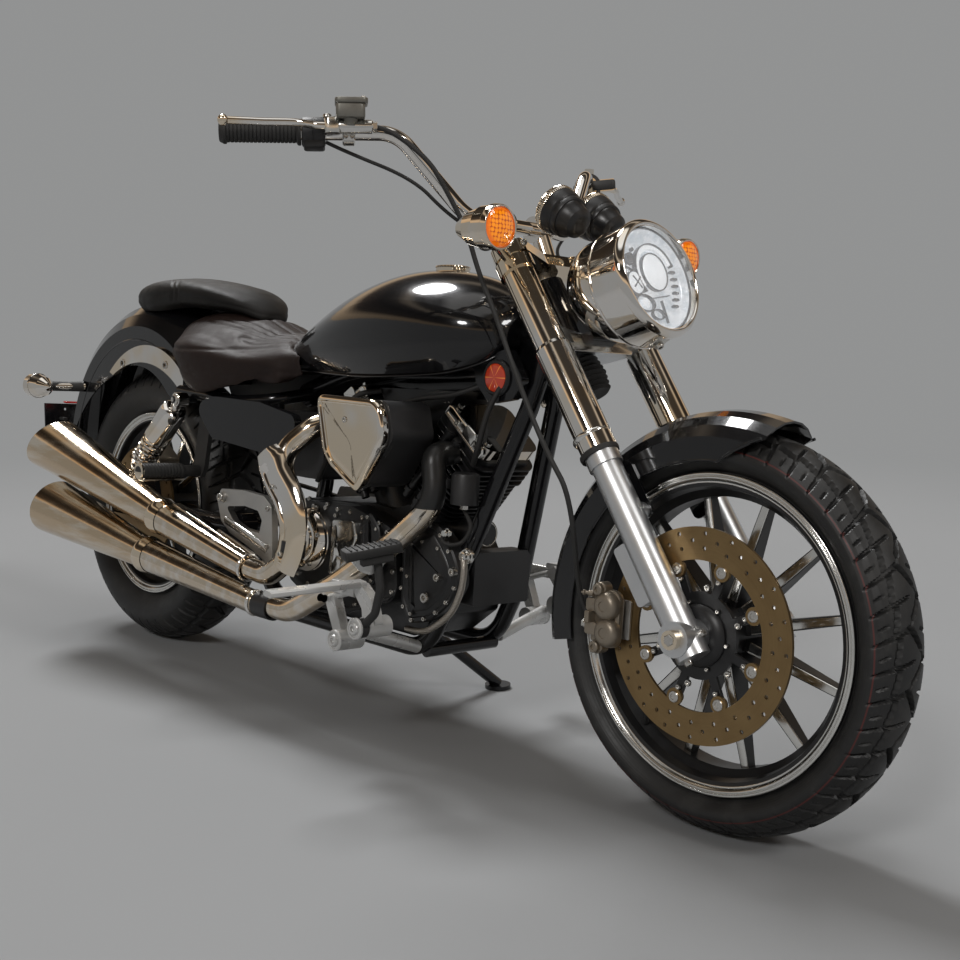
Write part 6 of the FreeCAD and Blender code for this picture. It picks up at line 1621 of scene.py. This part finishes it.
def sewn(shape, lines, seams, depth, above):
    """Presses channels along lines in plan, and seams at heights that depend on y, into a pad."""
    p, normal = shape.points, normals(shape)
    away = near_lines(p, lines)
    top = np.clip((p[:, 2] - above) / 8, 0, 1)
    press = depth * np.exp(-(away / CHANNEL_WIDTH) ** 2) * top * np.clip(normal[:, 2] * 2.5 + 0.2, 0, 1)
    for rows, deep, wide in seams:
        rows = np.asarray(rows, float)
        line = np.abs(p[:, 2] - np.interp(p[:, 1], rows[:, 0], rows[:, 1]))
        press += deep * np.exp(-(line / wide) ** 2) * (np.abs(normal[:, 2]) < 0.9)
    return Shape(p - normal * press[:, None], shape.faces)


def dished(shape):
    """Lowers the rider's seat: a dip before the rear rise, a flat nose, and a top that falls towards its edges."""
    p = shape.points.copy()
    rows = np.array([(-705, 700, 692), (-610, 714, 704), (-531, 723, 707), (-490, 727, 706), (-451, 734, 709),
                     (-415, 740, 722), (-376, 745, 735), (-290, 752, 750), (-210, 736, 734), (-150, 698, 694)], float)
    was, now = np.interp(p[:, 1], rows[:, 0], rows[:, 1]), np.interp(p[:, 1], rows[:, 0], rows[:, 2])
    high = np.clip((p[:, 2] - 640) / np.maximum(was - 640, 1), 0, 1)
    fall = np.interp(p[:, 1], [-640, -560, -470, -380, -250, -160], [2, 8, 16, 22, 20, 6])
    p[:, 2] += high * (now - was) - np.minimum(high * 1.6, 1) * fall * np.minimum(np.abs(p[:, 0]) / 135, 1) ** 2
    return Shape(p, shape.faces)


class CRUISER_OT_seats(bpy.types.Operator):
    """Sew both seats: swollen leather pads with pressed channels, seams and straps"""
    bl_idname = "cruiser.seats"
    bl_label = "Seats"
    bl_options = {"REGISTER", "UNDO"}

    def execute(self, context):
        s = context.scene.cruiser_seats
        lines = []
        for inner, outer, tip in (((20, -500, 17, -420, 16, -300, 20, -212),
                                   (32, -510, 50, -430, 64, -320, 60, -214), -190),
                                  ((46, -516, 64, -440, 80, -340, 82, -282),
                                   (52, -522, 76, -450, 98, -350, 99, -285), -262),
                                  ((68, -530, 84, -480, 101, -430, 104, -414),
                                   (74, -534, 94, -495, 112, -440, 114, -418), -404)):
            a, b = np.reshape(inner, (4, 2)), np.reshape(outer, (4, 2))
            half = loop_line(np.vstack([a, [[(a[-1, 0] + b[-1, 0]) / 2, tip]], b[::-1]]))
            lines += [half, half * [-1, 1]]
        rim = [(-705, 692), (-646, 688), (-583, 686), (-534, 682), (-483, 676), (-376, 668), (-261, 666), (-201, 670),
               (-150, 672)]
        low = [(-705, 640), (-555, 631), (-505, 622), (-426, 613), (-325, 615), (-272, 625), (-234, 646), (-150, 690)]
        skirt = [brick((k * 118, -530, 618), (14, 76, 38), X, Y, 5, 3) for k in (-1, 1)]
        round_y, round_z = np.meshgrid(np.linspace(-math.pi / 2, math.pi / 2, 26), np.linspace(0, 2 * math.pi, 49)[:-1],
                                       indexing="ij")
        dome = np.stack([138 * np.cos(round_y) * np.cos(round_z), 152 * np.sin(round_y),
                         62 * np.cos(round_y) * np.sin(round_z)], -1)
        skirt.append(grid(dome[1:-1] + (0, -268, 692), around=True))
        rider = swollen("rider_seat", s.swell / 1000, skirt)
        rider = sewn(dished(rider), lines, ((rim, 2.4, 3.0), (low, 1.6, 1.8)), s.channels, 664)
        t = np.linspace(-135, 135, 40)
        nose = [np.column_stack([t, -598 + 0 * t + k]) for k in (-7, 7)]
        rider = strapped(rider, nose, 2.2)
        pan = np.array([(-590, 634), (-560, 552), (-470, 540), (-230, 548), (-190, 612), (-200, 634), (-380, 630)],
                       float)
        made("seat_pan", slab(pan, np.zeros(3), Y, Z, 44, 3), black_plastic(), CHASSIS, "black_plastic")
        obj = made("rider_seat_leather", rider, seat_brown(), CHASSIS, "seat_brown", 60, ("rider_seat",))
        smooth_more(obj)
        pillion = swollen("pillion_seat", s.swell / 1000)
        p = pillion.points.copy()
        narrow = 1 - 0.30 * np.clip((-235 - p[:, 1]) / 140, 0, 1) ** 1.3
        crown = np.interp(p[:, 1], [-372, -330, -230, -110, 0, 82, 132], [748, 780, 808, 820, 816, 800, 776])
        thin = np.interp(p[:, 1], [-372, -300, -150, -50, 30], [0.80, 0.62, 0.62, 0.85, 1.0])
        p[:, 2] = crown - (crown - p[:, 2]) * np.where(p[:, 2] < crown, thin, 1)
        pillion = Shape(p * np.column_stack([narrow, 1 + 0 * narrow, 1 + 0 * narrow]), pillion.faces)
        seam = [(-372, 744), (-330, 758), (-230, 774), (-110, 782), (0, 776), (82, 772), (132, 766)]
        pillion = sewn(pillion, [], ((seam, 1.6, 2.0),), 0, 770)
        strap = [np.column_stack([t, -62 - 70 * (t / 100) ** 2 + k]) for k in (-9, 9)]
        pillion = strapped(pillion, strap, 3.0)
        obj = made("pillion_seat_leather", pillion, seat_black(), CHASSIS, "seat_black", 60, ("pillion_seat",))
        smooth_more(obj)
        return {"FINISHED"}


def loop_line(points):
    """A smooth plan line through points."""
    return smooth(np.column_stack([points, 0 * points[:, 0]]), 60)[:, :2]


def strapped(shape, edges, depth):
    """Presses both edges of a band that goes over a pad and down its sides."""
    p, normal = shape.points, normals(shape)
    away = near_lines(p, edges)
    return Shape(p - normal * (depth * np.exp(-(away / STRAP_EDGE_WIDTH) ** 2) * (normal[:, 2] > -0.4))[:, None],
                 shape.faces)


def smooth_more(obj):
    """One level of subdivision, the same on screen and in a render."""
    mod = obj.modifiers.new("subdivision", "SUBSURF")
    mod.levels = mod.render_levels = 1


class CRUISER_OT_tank(bpy.types.Operator):
    """Add the tank's seam flange, a gusset under the tank, and the filler cap's knurl and lock"""
    bl_idname = "cruiser.tank"
    bl_label = "Tank"
    bl_options = {"REGISTER", "UNDO"}

    def execute(self, context):
        rows = np.array([(-1106, 41, 706), (-1080, 71, 676), (-1020, 105, 652), (-930, 125, 641), (-820, 125, 635),
                         (-700, 107, 635), (-600, 83, 637), (-530, 66, 640)], float)
        path = smooth(np.column_stack([-rows[:, 1] - 1, rows[:, 0], rows[:, 2] + 1.5]), 90)
        seam = along_path(path, rounded(9, 2.6, 1.1), up=Z)
        made("tank_seam", both_sides(seam), black_paint(), CHASSIS, "black_paint")
        gusset = np.array([(-1085, 690), (-1010, 662), (-900, 650), (-640, 632), (-545, 596), (-590, 556), (-700, 548),
                           (-800, 556), (-880, 596), (-960, 606), (-1075, 616)], float)
        made("spine_gusset", slab(gusset, np.zeros(3), Y, Z, 26, 3), gloss_black(), CHASSIS, "frame_paint")
        base, d = np.array([0, -905.0, 834]), unit((0, 0.03, 1))
        u, v = square_to(d)
        a = np.linspace(0, 2 * math.pi, 216, endpoint=False)[:, None]
        section = np.array([(5, 31.2), (6.5, 31.8), (8.4, 31), (9.2, 29), (9.2, 20), (8.4, 18), (8.4, 0.02)])
        knurl = np.clip(np.cos(36 * a), -0.3, 0.3) * 0.9 * np.array([0.6, 1, 0.5, 0, 0, 0, 0])[None]
        spin = np.cos(a)[..., None] * u + np.sin(a)[..., None] * v
        top = base + section[None, :, :1] * d + (section[None, :, 1] + knurl)[..., None] * spin
        cap = Shape(np.concatenate([top, base + 5.0 * d + 0.02 * spin[:, :1]], 1).reshape(-1, 3),
                    grid(np.zeros((216, 8, 3)), loop=True).faces)
        lock = [turned([(8.5, 0), (8.5, 8), (9.4, 7.6), (9.6, 0)], base, d, 32), cap]
        made("filler_cap_top", joined(lock), chrome(), CHASSIS, "chrome")
        return {"FINISHED"}


class CRUISER_OT_shocks(bpy.types.Operator):
    """Wind the rear springs and shape the shock absorbers' covers, rods and eyes"""
    bl_idname = "cruiser.shocks"
    bl_label = "Rear shocks"
    bl_options = {"REGISTER", "UNDO"}

    def execute(self, context):
        low, high = np.array([-150.0, -104, 408]), np.array([-150.0, -256, 560])
        d = unit(high - low)
        length = float(np.linalg.norm(high - low))
        t = np.linspace(0, 1, 340)
        u, v = square_to(d)
        angle = t * 2 * math.pi * 7.5
        helix = low + (22 + t * 78)[:, None] * d + 23.2 * (np.cos(angle)[:, None] * u + np.sin(angle)[:, None] * v)
        coil = along_path(helix, circle(4.1, 10))
        body = [turned([(14, 0), (14, 15), (17, 27), (22, 28), (24, 26), (24, 14), (96, 14), (96, 0)], low, d, 40),
                turned([(92, 20), (92, 27), (94, 28.5), (98, 28.9), (104, 28.4), (178, 28),
                        (186, 25), (190, 18), (190, 0),
                        (100, 0), (100, 20)], low, d, 64)]
        eyes = [turned([(-13, 7), (-13, 14), (-12, 15), (12, 15), (13, 14), (13, 7)], at, X, 40) for at in (low, high)]
        eyes.append(turned([(length - 26, 0), (length - 26, 11), (length, 9), (length, 0)], low, d, 24))
        eyes.append(turned([(0, 0), (0, 9), (16, 12), (16, 0)], low, d, 24))
        made("shock_bodies", both_sides(joined(body + eyes + [coil])), chrome(), CHASSIS, "chrome", 35,
             ("shock_absorbers",))
        nuts = [turned([(13, 0), (13, 11), (15, 12), (17, 9), (17, 5), (20, 5), (21, 0)], at, -X, 24)
                for at in (low, high)]
        nuts.append(turned([(24, 10), (24, 13.6), (60, 13.6), (62, 12), (62, 10)], low, d, 32))
        made("shock_nuts", both_sides(joined(nuts)), steel(), CHASSIS, "chrome")
        return {"FINISHED"}


class CRUISER_OT_footrests(bpy.types.Operator):
    """Add pedal rubbers, ringed bolts, peg rubbers and end caps"""
    bl_idname = "cruiser.footrests"
    bl_label = "Footrests and pedals"
    bl_options = {"REGISTER", "UNDO"}

    def execute(self, context):
        across = unit((-1, 0.38, -0.2))
        up = np.array([-0.2, 0, 1.0])
        up = unit(up - across * (across @ up))
        side = np.cross(up, across)
        at = np.array([-278.0, -1054, 362])
        rubber = [brick(at + up * 1.5, (97, 37, 16), across, side, 8, 4)]
        rubber += [brick(at + up * 10 + across * k, (3.4, 30, 3.0), across, side, 1, 0.8)
                   for k in np.linspace(-38, 38, 9)]
        made("pedal_rubbers", both_sides(joined(rubber)), black_rubber(), CHASSIS, "black_rubber")
        web = soft([(-38, 0), (38, 0), (20, -26), (4, -34), (-14, -28)], 5)
        plate = slab(web, at - up * 7 - side * 4, across, up, 7, 1.5)
        slot = slab(rounded(22, 7, 3) + (0, -13), at - up * 7 - side * 4.3, across, up, 7.6, 0.6)
        rings = []
        for x, (y, z) in ((-254.5, (-946, 194)), (-270.2, (-1016, 228))):
            rings.append(turned([(0, 18.4), (3, 18.4), (5, 16.8), (5, 14), (3.4, 13.2),
                                 (3.4, 10.6), (6.4, 10), (8.4, 8.4),
                                 (8.4, 5), (5, 4.6), (5, 0), (0, 0)], (x, y, z), -X, 40))
        hinge = [turned([(-6, 7), (-6, 0), (6, 0), (6, 7)], (-252, -900, 258), Y, 16),
                 stood(bolt_head(6, 5), (-246.5, -950, 282), -X)]
        made("control_bolts", both_sides(joined(rings + hinge)), bright_casting(), CHASSIS, "satin_aluminium")
        made("pedal_webs", both_sides(plate), bright_casting(), CHASSIS, "satin_aluminium")
        made("pedal_slots", both_sides(slot), satin_black(), CHASSIS, "cast_black")
        peg = [turned([(0, 0), (0, 13.4), (2, 14.6), (94, 14.6), (96, 13.4), (96, 0)], PEG, -X, 40)]
        peg += [turned_ring([(k, 14.4), (k + 0.8, 16), (k + 3.4, 16), (k + 4.2, 14.4)], PEG, -X, 40)
                for k in np.arange(6, 90, 7.4)]
        made("peg_rubbers", both_sides(joined(peg)), black_rubber(), CHASSIS, "black_rubber")
        cap = [turned([(96, 0), (96, 15.4), (98, 16.4), (101, 16.4), (102, 14), (102, 0)], PEG, -X, 40),
               brick((-208, -291, 398), (96, 24, 5), X, Y, 3, 1.4)]
        made("peg_caps", both_sides(joined(cap)), chrome(), CHASSIS, "chrome")
        return {"FINISHED"}


def cord(name, points, radius, node, material):
    """A held hose or cable on one smooth curve that goes back into the machine."""
    curve = bpy.data.curves.new(name, "CURVE")
    curve.dimensions, curve.bevel_depth, curve.bevel_resolution = "3D", radius / 1000, 4
    curve.resolution_u, curve.use_fill_caps = 10, True
    spline = curve.splines.new("NURBS")
    places = placed(points)
    spline.points.add(len(places) - 1)
    spline.points.foreach_set("co", np.column_stack([places, np.ones(len(places))]).ravel())
    spline.order_u, spline.use_endpoint_u = 3, True
    curve.materials.append(material)
    obj = linked(name, curve)
    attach(obj, STEERING)
    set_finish(obj, "black_rubber")
    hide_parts(node)
    tuple(places[0])
    return obj


class CRUISER_OT_cords(bpy.types.Operator):
    """Run the brake hose and the two control cables"""
    bl_idname = "cruiser.cords"
    bl_label = "Hose and cables"
    bl_options = {"REGISTER", "UNDO"}

    def execute(self, context):
        start = on_bar(240.3, 32)
        hose = [start, start + GRIP_AXIS * 22, (-222, -1072, 988), (-196, -1092, 940), (-166, -1112, 880),
                (-150, -1128, 815), (-150, -1172, 750), (-154, -1216, 680), (-157, -1262, 610), (-158, -1312, 540),
                (-152, -1360, 480), CALIPER_TOP + CALIPER_OUT * 26, CALIPER_TOP]
        cord("brake_hose_line", np.array(hose), 4, "brake_hose", black_rubber())
        middle = [(-205, -1020, 962), (-150, -1040, 915), (-96, -1066, 884)]
        foot = fork(-75, -44, 687.2)
        for name, side, leaves, drop, length in (("throttle_cable", 1, 166.4, 14, 0.371),
                                                 ("clutch_cable", -1, 187.5, 5, 0.353)):
            first = BAR_END + GRIP_AXIS * leaves - Z * 15
            points = np.array([first, first + GRIP_AXIS * 30 - Z * drop] + middle + [foot + FORK_UP * 42, foot])
            cord(name + "_line", points * [side, 1, 1], 3, name, black_rubber())
        return {"FINISHED"}


class CRUISER_OT_tail(bpy.types.Operator):
    """Add the tail's reflector strip, the bracket rubbers, the rear fender's bead and the rails' washers"""
    bl_idname = "cruiser.tail"
    bl_label = "Tail"
    bl_options = {"REGISTER", "UNDO"}

    def execute(self, context):
        washers = [turned_ring([(0, 5.4), (0, 9), (1.6, 9), (2, 8.4), (2, 5.6)], (-111.4, y, z), -X, 32)
                   for y, z in ((-125, 628), (58, 625))]
        made("rail_washers", both_sides(joined(washers)), steel(), CHASSIS, "chrome")
        edge = np.radians(np.linspace(-59, 93.6, 90))
        path = np.array([0, 15.0, 422]) + np.stack([0 * edge - 100.9, 258 * np.sin(edge), 258 * np.cos(edge)], -1)
        made("rear_fender_bead", both_sides(along_path(path, circle(2.2, 10), up=X)), black_paint(), CHASSIS,
             "black_paint")
        blocks = [brick((s * 36, 483.5, 470), (12, 8, 30), X, Z, 3, 1.5) for s in (-1, 1)]
        made("plate_rubbers", joined(blocks), black_rubber(), CHASSIS, "black_rubber")
        strip = brick((0, 490.2, 512), (60, 5, 16), X, Z, 4, 1.5)
        made("rear_reflector", strip, red_lens(), CHASSIS, "red_lens")
        return {"FINISHED"}


# ---------------------------------------------------------------- settings
class CruiserSeats(bpy.types.PropertyGroup):
    """How full and how deeply sewn the seats are."""
    swell: bpy.props.FloatProperty(name="Swell", description="Most that the padding swells, in millimetres",
                                   default=6.0, min=0, max=16)
    channels: bpy.props.FloatProperty(name="Channels", description="Depth of the sewn channels, in millimetres",
                                      default=3.4, min=0, max=8)


class CruiserStage(bpy.types.PropertyGroup):
    """Where the machine is seen from, and its light."""
    focal: bpy.props.FloatProperty(
        name="Focal length", description="Lens of the camera on a 36 mm sensor", default=49.65, min=10)
    turn: bpy.props.FloatProperty(
        name="Camera turn", description="Turn of the look direction about the vertical", default=math.radians(-44.06),
        unit="ROTATION")
    dip: bpy.props.FloatProperty(
        name="Camera dip", description="How far the camera looks down", default=math.radians(8.30), unit="ROTATION")
    light: bpy.props.FloatProperty(
        name="Light", description="Strength of the soft lamps", default=1.0, min=0)
    grey: bpy.props.FloatProperty(
        name="Floor", description="Grey of the floor and the backdrop", default=0.283, min=0, max=1)


CAMERA_PLACE = np.array([-1.5679, -2.6701, 0.8035])    # metres from the frame's shift
FLOOR_FLAT, FLOOR_RISE, FLOOR_HIGH = 6.5, 3.0, 3.6     # metres: flat radius, width and height of the rising rim


class CRUISER_OT_camera(bpy.types.Operator):
    """Set the camera that the main picture is taken from"""
    bl_idname = "cruiser.camera"
    bl_label = "Camera"
    bl_options = {"REGISTER", "UNDO"}

    def execute(self, context):
        s = context.scene.cruiser_stage
        data = bpy.data.cameras.new("camera")
        data.lens, data.sensor_width, data.sensor_fit = s.focal, 36.0, "HORIZONTAL"
        data.clip_start, data.clip_end = 0.05, 60.0
        cam = linked("camera", data)
        cam.location = CAMERA_PLACE + SHIFT
        cam.rotation_euler = (math.pi / 2 - s.dip, 0, s.turn)
        context.scene.camera = cam
        return {"FINISHED"}


def sun(name, source, energy, spread, color):
    """A far soft lamp that shines from a direction; spread is its apparent width in degrees."""
    data = bpy.data.lights.new(name, "SUN")
    data.energy, data.angle, data.color = energy, math.radians(spread), color
    linked(name, data).rotation_euler = (-Vector(source)).to_track_quat("-Z", "Y").to_euler()


def floor_finish(grey):
    """Grey that takes the shadow near the machine and is even far from it."""
    f = Finish("floor")
    place = f.add("ShaderNodeTexCoord", out="Object")
    tone = f.noise(place, 1.2, 4.0)
    x, y, _ = f.split(place)
    far = f.ramp((x * x + y * y) ** 0.5, 1.9, 4.4)
    seen = [f.add("ShaderNodeLightPath", out=name) for name in
            ("Is Camera Ray", "Is Glossy Ray", "Is Transmission Ray")]
    seen = seen[0].math("MAXIMUM", seen[1]).math("MAXIMUM", seen[2])
    matt = f.add("ShaderNodeBsdfPrincipled", None, {
        "Base Color": f.mix(tone, (grey * 0.93, grey * 0.95, grey * 0.97), (grey * 0.98, grey, grey * 1.02)),
        "Roughness": 0.9,
        "Specular IOR Level": 0.1})
    even = f.add("ShaderNodeEmission", None, {"Color": (grey * 1.01, grey * 1.02, grey * 1.02, 1), "Strength": 1.0})
    f.add_output(f.add("ShaderNodeMixShader", None, {0: far * seen, 1: matt, 2: even}))
    return f.material


class CRUISER_OT_stage(bpy.types.Operator):
    """Build the plain floor, the soft lamps and the warm room that the chrome mirrors"""
    bl_idname = "cruiser.stage"
    bl_label = "Stage"
    bl_options = {"REGISTER", "UNDO"}

    def execute(self, context):
        s = context.scene.cruiser_stage
        steps = np.linspace(0, 1, 65)[:, None]
        turn = np.linspace(0, 2 * math.pi, 97)[:-1][None]
        bend = np.clip((steps - 0.7) / 0.3, 0, 1) * math.pi / 2
        out = 0.2 + np.minimum(steps / 0.7, 1) * (FLOOR_FLAT - 0.2) + FLOOR_RISE * np.sin(bend)
        up = FLOOR_HIGH * (1 - np.cos(bend))
        points = np.stack([out * np.cos(turn), out * np.sin(turn), up + 0 * turn], -1)
        shape = joined([grid(points, around=True, ends=False), Shape(points[0], [np.arange(96)[None]])])
        mesh = mesh_of("floor", shape.points, shape.faces)
        mesh.shade_smooth()
        floor = linked("floor", mesh)
        mesh.materials.append(floor_finish(s.grey))
        floor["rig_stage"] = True
        sun("above", (0.20, 0.70, 1.0), 2.5 * s.light, 17, (0.99, 0.995, 1.0))
        sun("key", (-0.95, -0.30, 0.75), 0.9 * s.light, 11, (1.0, 0.99, 0.98))
        sun("front", (0.10, -1.0, 0.85), 0.75 * s.light, 13, (1.0, 0.99, 0.98))
        world = bpy.data.worlds.new("room")
        context.scene.world = world
        world.use_nodes = True
        w = Finish.__new__(Finish)
        w.tree = world.node_tree
        w.tree.nodes.clear()
        up = w.split(w.add("ShaderNodeTexCoord"))[2]
        sky = w.add("ShaderNodeValToRGB", {"stops": [
            (0.0, (0.20, 0.15, 0.11)), (0.60, (0.40, 0.30, 0.20)), (0.68, (0.68, 0.50, 0.33)),
            (0.72, (0.06, 0.045, 0.035)), (0.80, (0.02, 0.017, 0.014)),
            (0.84, (0.06, 0.05, 0.04)), (0.87, (0.55, 0.45, 0.34)),
            (0.90, (0.05, 0.04, 0.03)), (0.955, (0.04, 0.035, 0.03)), (0.975, (1.0, 0.98, 0.95)),
            (1.0, (0.95, 0.93, 0.90))]}, {"Fac": up * 0.5 + 0.5})
        back = w.add("ShaderNodeBackground", None, {"Color": sky, "Strength": 1.0})
        node = w.tree.nodes.new("ShaderNodeOutputWorld")
        w.tree.links.new(back.out, node.inputs["Surface"])
        context.scene.view_settings.view_transform = "Standard"
        return {"FINISHED"}


NODE_FINISHES = {
    "black_rubber": black_rubber, "tyre": black_rubber, "cast_black": satin_black, "disc_steel": steel,
    "satin_aluminium": satin_aluminium, "chrome": chrome, "black_paint": black_paint, "frame_paint": gloss_black,
    "lens": lamp_white, "black_plastic": black_plastic, "bronze_metal": bronze_paint, "seat_brown": seat_brown,
    "seat_black": seat_black, "red_lens": red_lens, "engine_alloy": cast_aluminium, "engine_black": satin_black,
}
OWN_FINISHES = {  # CAD nodes whose finish depends on where they are
    "front_tyre": lambda: tyre_rubber(270.0, tuple(FRONT_AXLE)),
    "rear_tyre": lambda: tyre_rubber(0.0, tuple(REAR_AXLE)),
    "front_brake_disc": lambda: brake_steel(tuple(FRONT_AXLE)),
    "rear_brake_disc": lambda: brake_steel(tuple(REAR_AXLE)),
    "silencers": silencer_chrome, "exhaust_pipes": header_chrome, "fender_rails": chrome, "side_covers": gloss_black,
    "forward_controls": bright_casting,
}


class CRUISER_OT_cad_finish(bpy.types.Operator):
    """Give every shape that comes from the frame its own finish"""
    bl_idname = "cruiser.cad_finish"
    bl_label = "Frame finishes"
    bl_options = {"REGISTER", "UNDO"}

    def execute(self, context):
        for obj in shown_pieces():
            if "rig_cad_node" not in obj:
                continue
            name = obj.get("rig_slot") or obj.data.materials[0].name
            obj.data.materials.clear()
            own = OWN_FINISHES.get(obj["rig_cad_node"], NODE_FINISHES[name])
            obj.data.materials.append(own())
            obj.data.set_sharp_from_angle(angle=math.radians(32))
        return {"FINISHED"}


OPERATORS = (
    CRUISER_OT_camera, CRUISER_OT_stage, CRUISER_OT_cad_finish, CRUISER_OT_tyres, CRUISER_OT_wheels,
    CRUISER_OT_headlight, CRUISER_OT_indicators, CRUISER_OT_fork, CRUISER_OT_caliper, CRUISER_OT_exhaust,
    CRUISER_OT_engine, CRUISER_OT_covers, CRUISER_OT_handlebar, CRUISER_OT_gauges, CRUISER_OT_seats,
    CRUISER_OT_tank, CRUISER_OT_shocks, CRUISER_OT_footrests, CRUISER_OT_cords, CRUISER_OT_tail,
)


class CRUISER_PT_sidebar(bpy.types.Panel):
    """Lists what can be built, in order"""
    bl_label = "Cruiser motorcycle"
    bl_idname = "CRUISER_PT_sidebar"
    bl_space_type = "VIEW_3D"
    bl_region_type = "UI"
    bl_category = "Cruiser"

    def draw(self, context):
        for group in (context.scene.cruiser_stage, context.scene.cruiser_seats):
            for name in type(group).__annotations__:
                self.layout.prop(group, name)
        for operator in OPERATORS:
            self.layout.operator(operator.bl_idname)


CLASSES = (CruiserStage, CruiserSeats, *OPERATORS, CRUISER_PT_sidebar)


def register():
    """Adds the settings, the operators and the panel to Blender."""
    for cls in CLASSES:
        bpy.utils.register_class(cls)
    bpy.types.Scene.cruiser_stage = bpy.props.PointerProperty(type=CruiserStage)
    bpy.types.Scene.cruiser_seats = bpy.props.PointerProperty(type=CruiserSeats)


def unregister():
    """Takes away what register() added."""
    del bpy.types.Scene.cruiser_stage, bpy.types.Scene.cruiser_seats
    for cls in reversed(CLASSES):
        bpy.utils.unregister_class(cls)


def main():
    """Builds everything in order."""
    register()
    for operator in OPERATORS:
        area, name = operator.bl_idname.split(".")
        getattr(getattr(bpy.ops, area), name)()


if __name__ == "__main__":
    main()
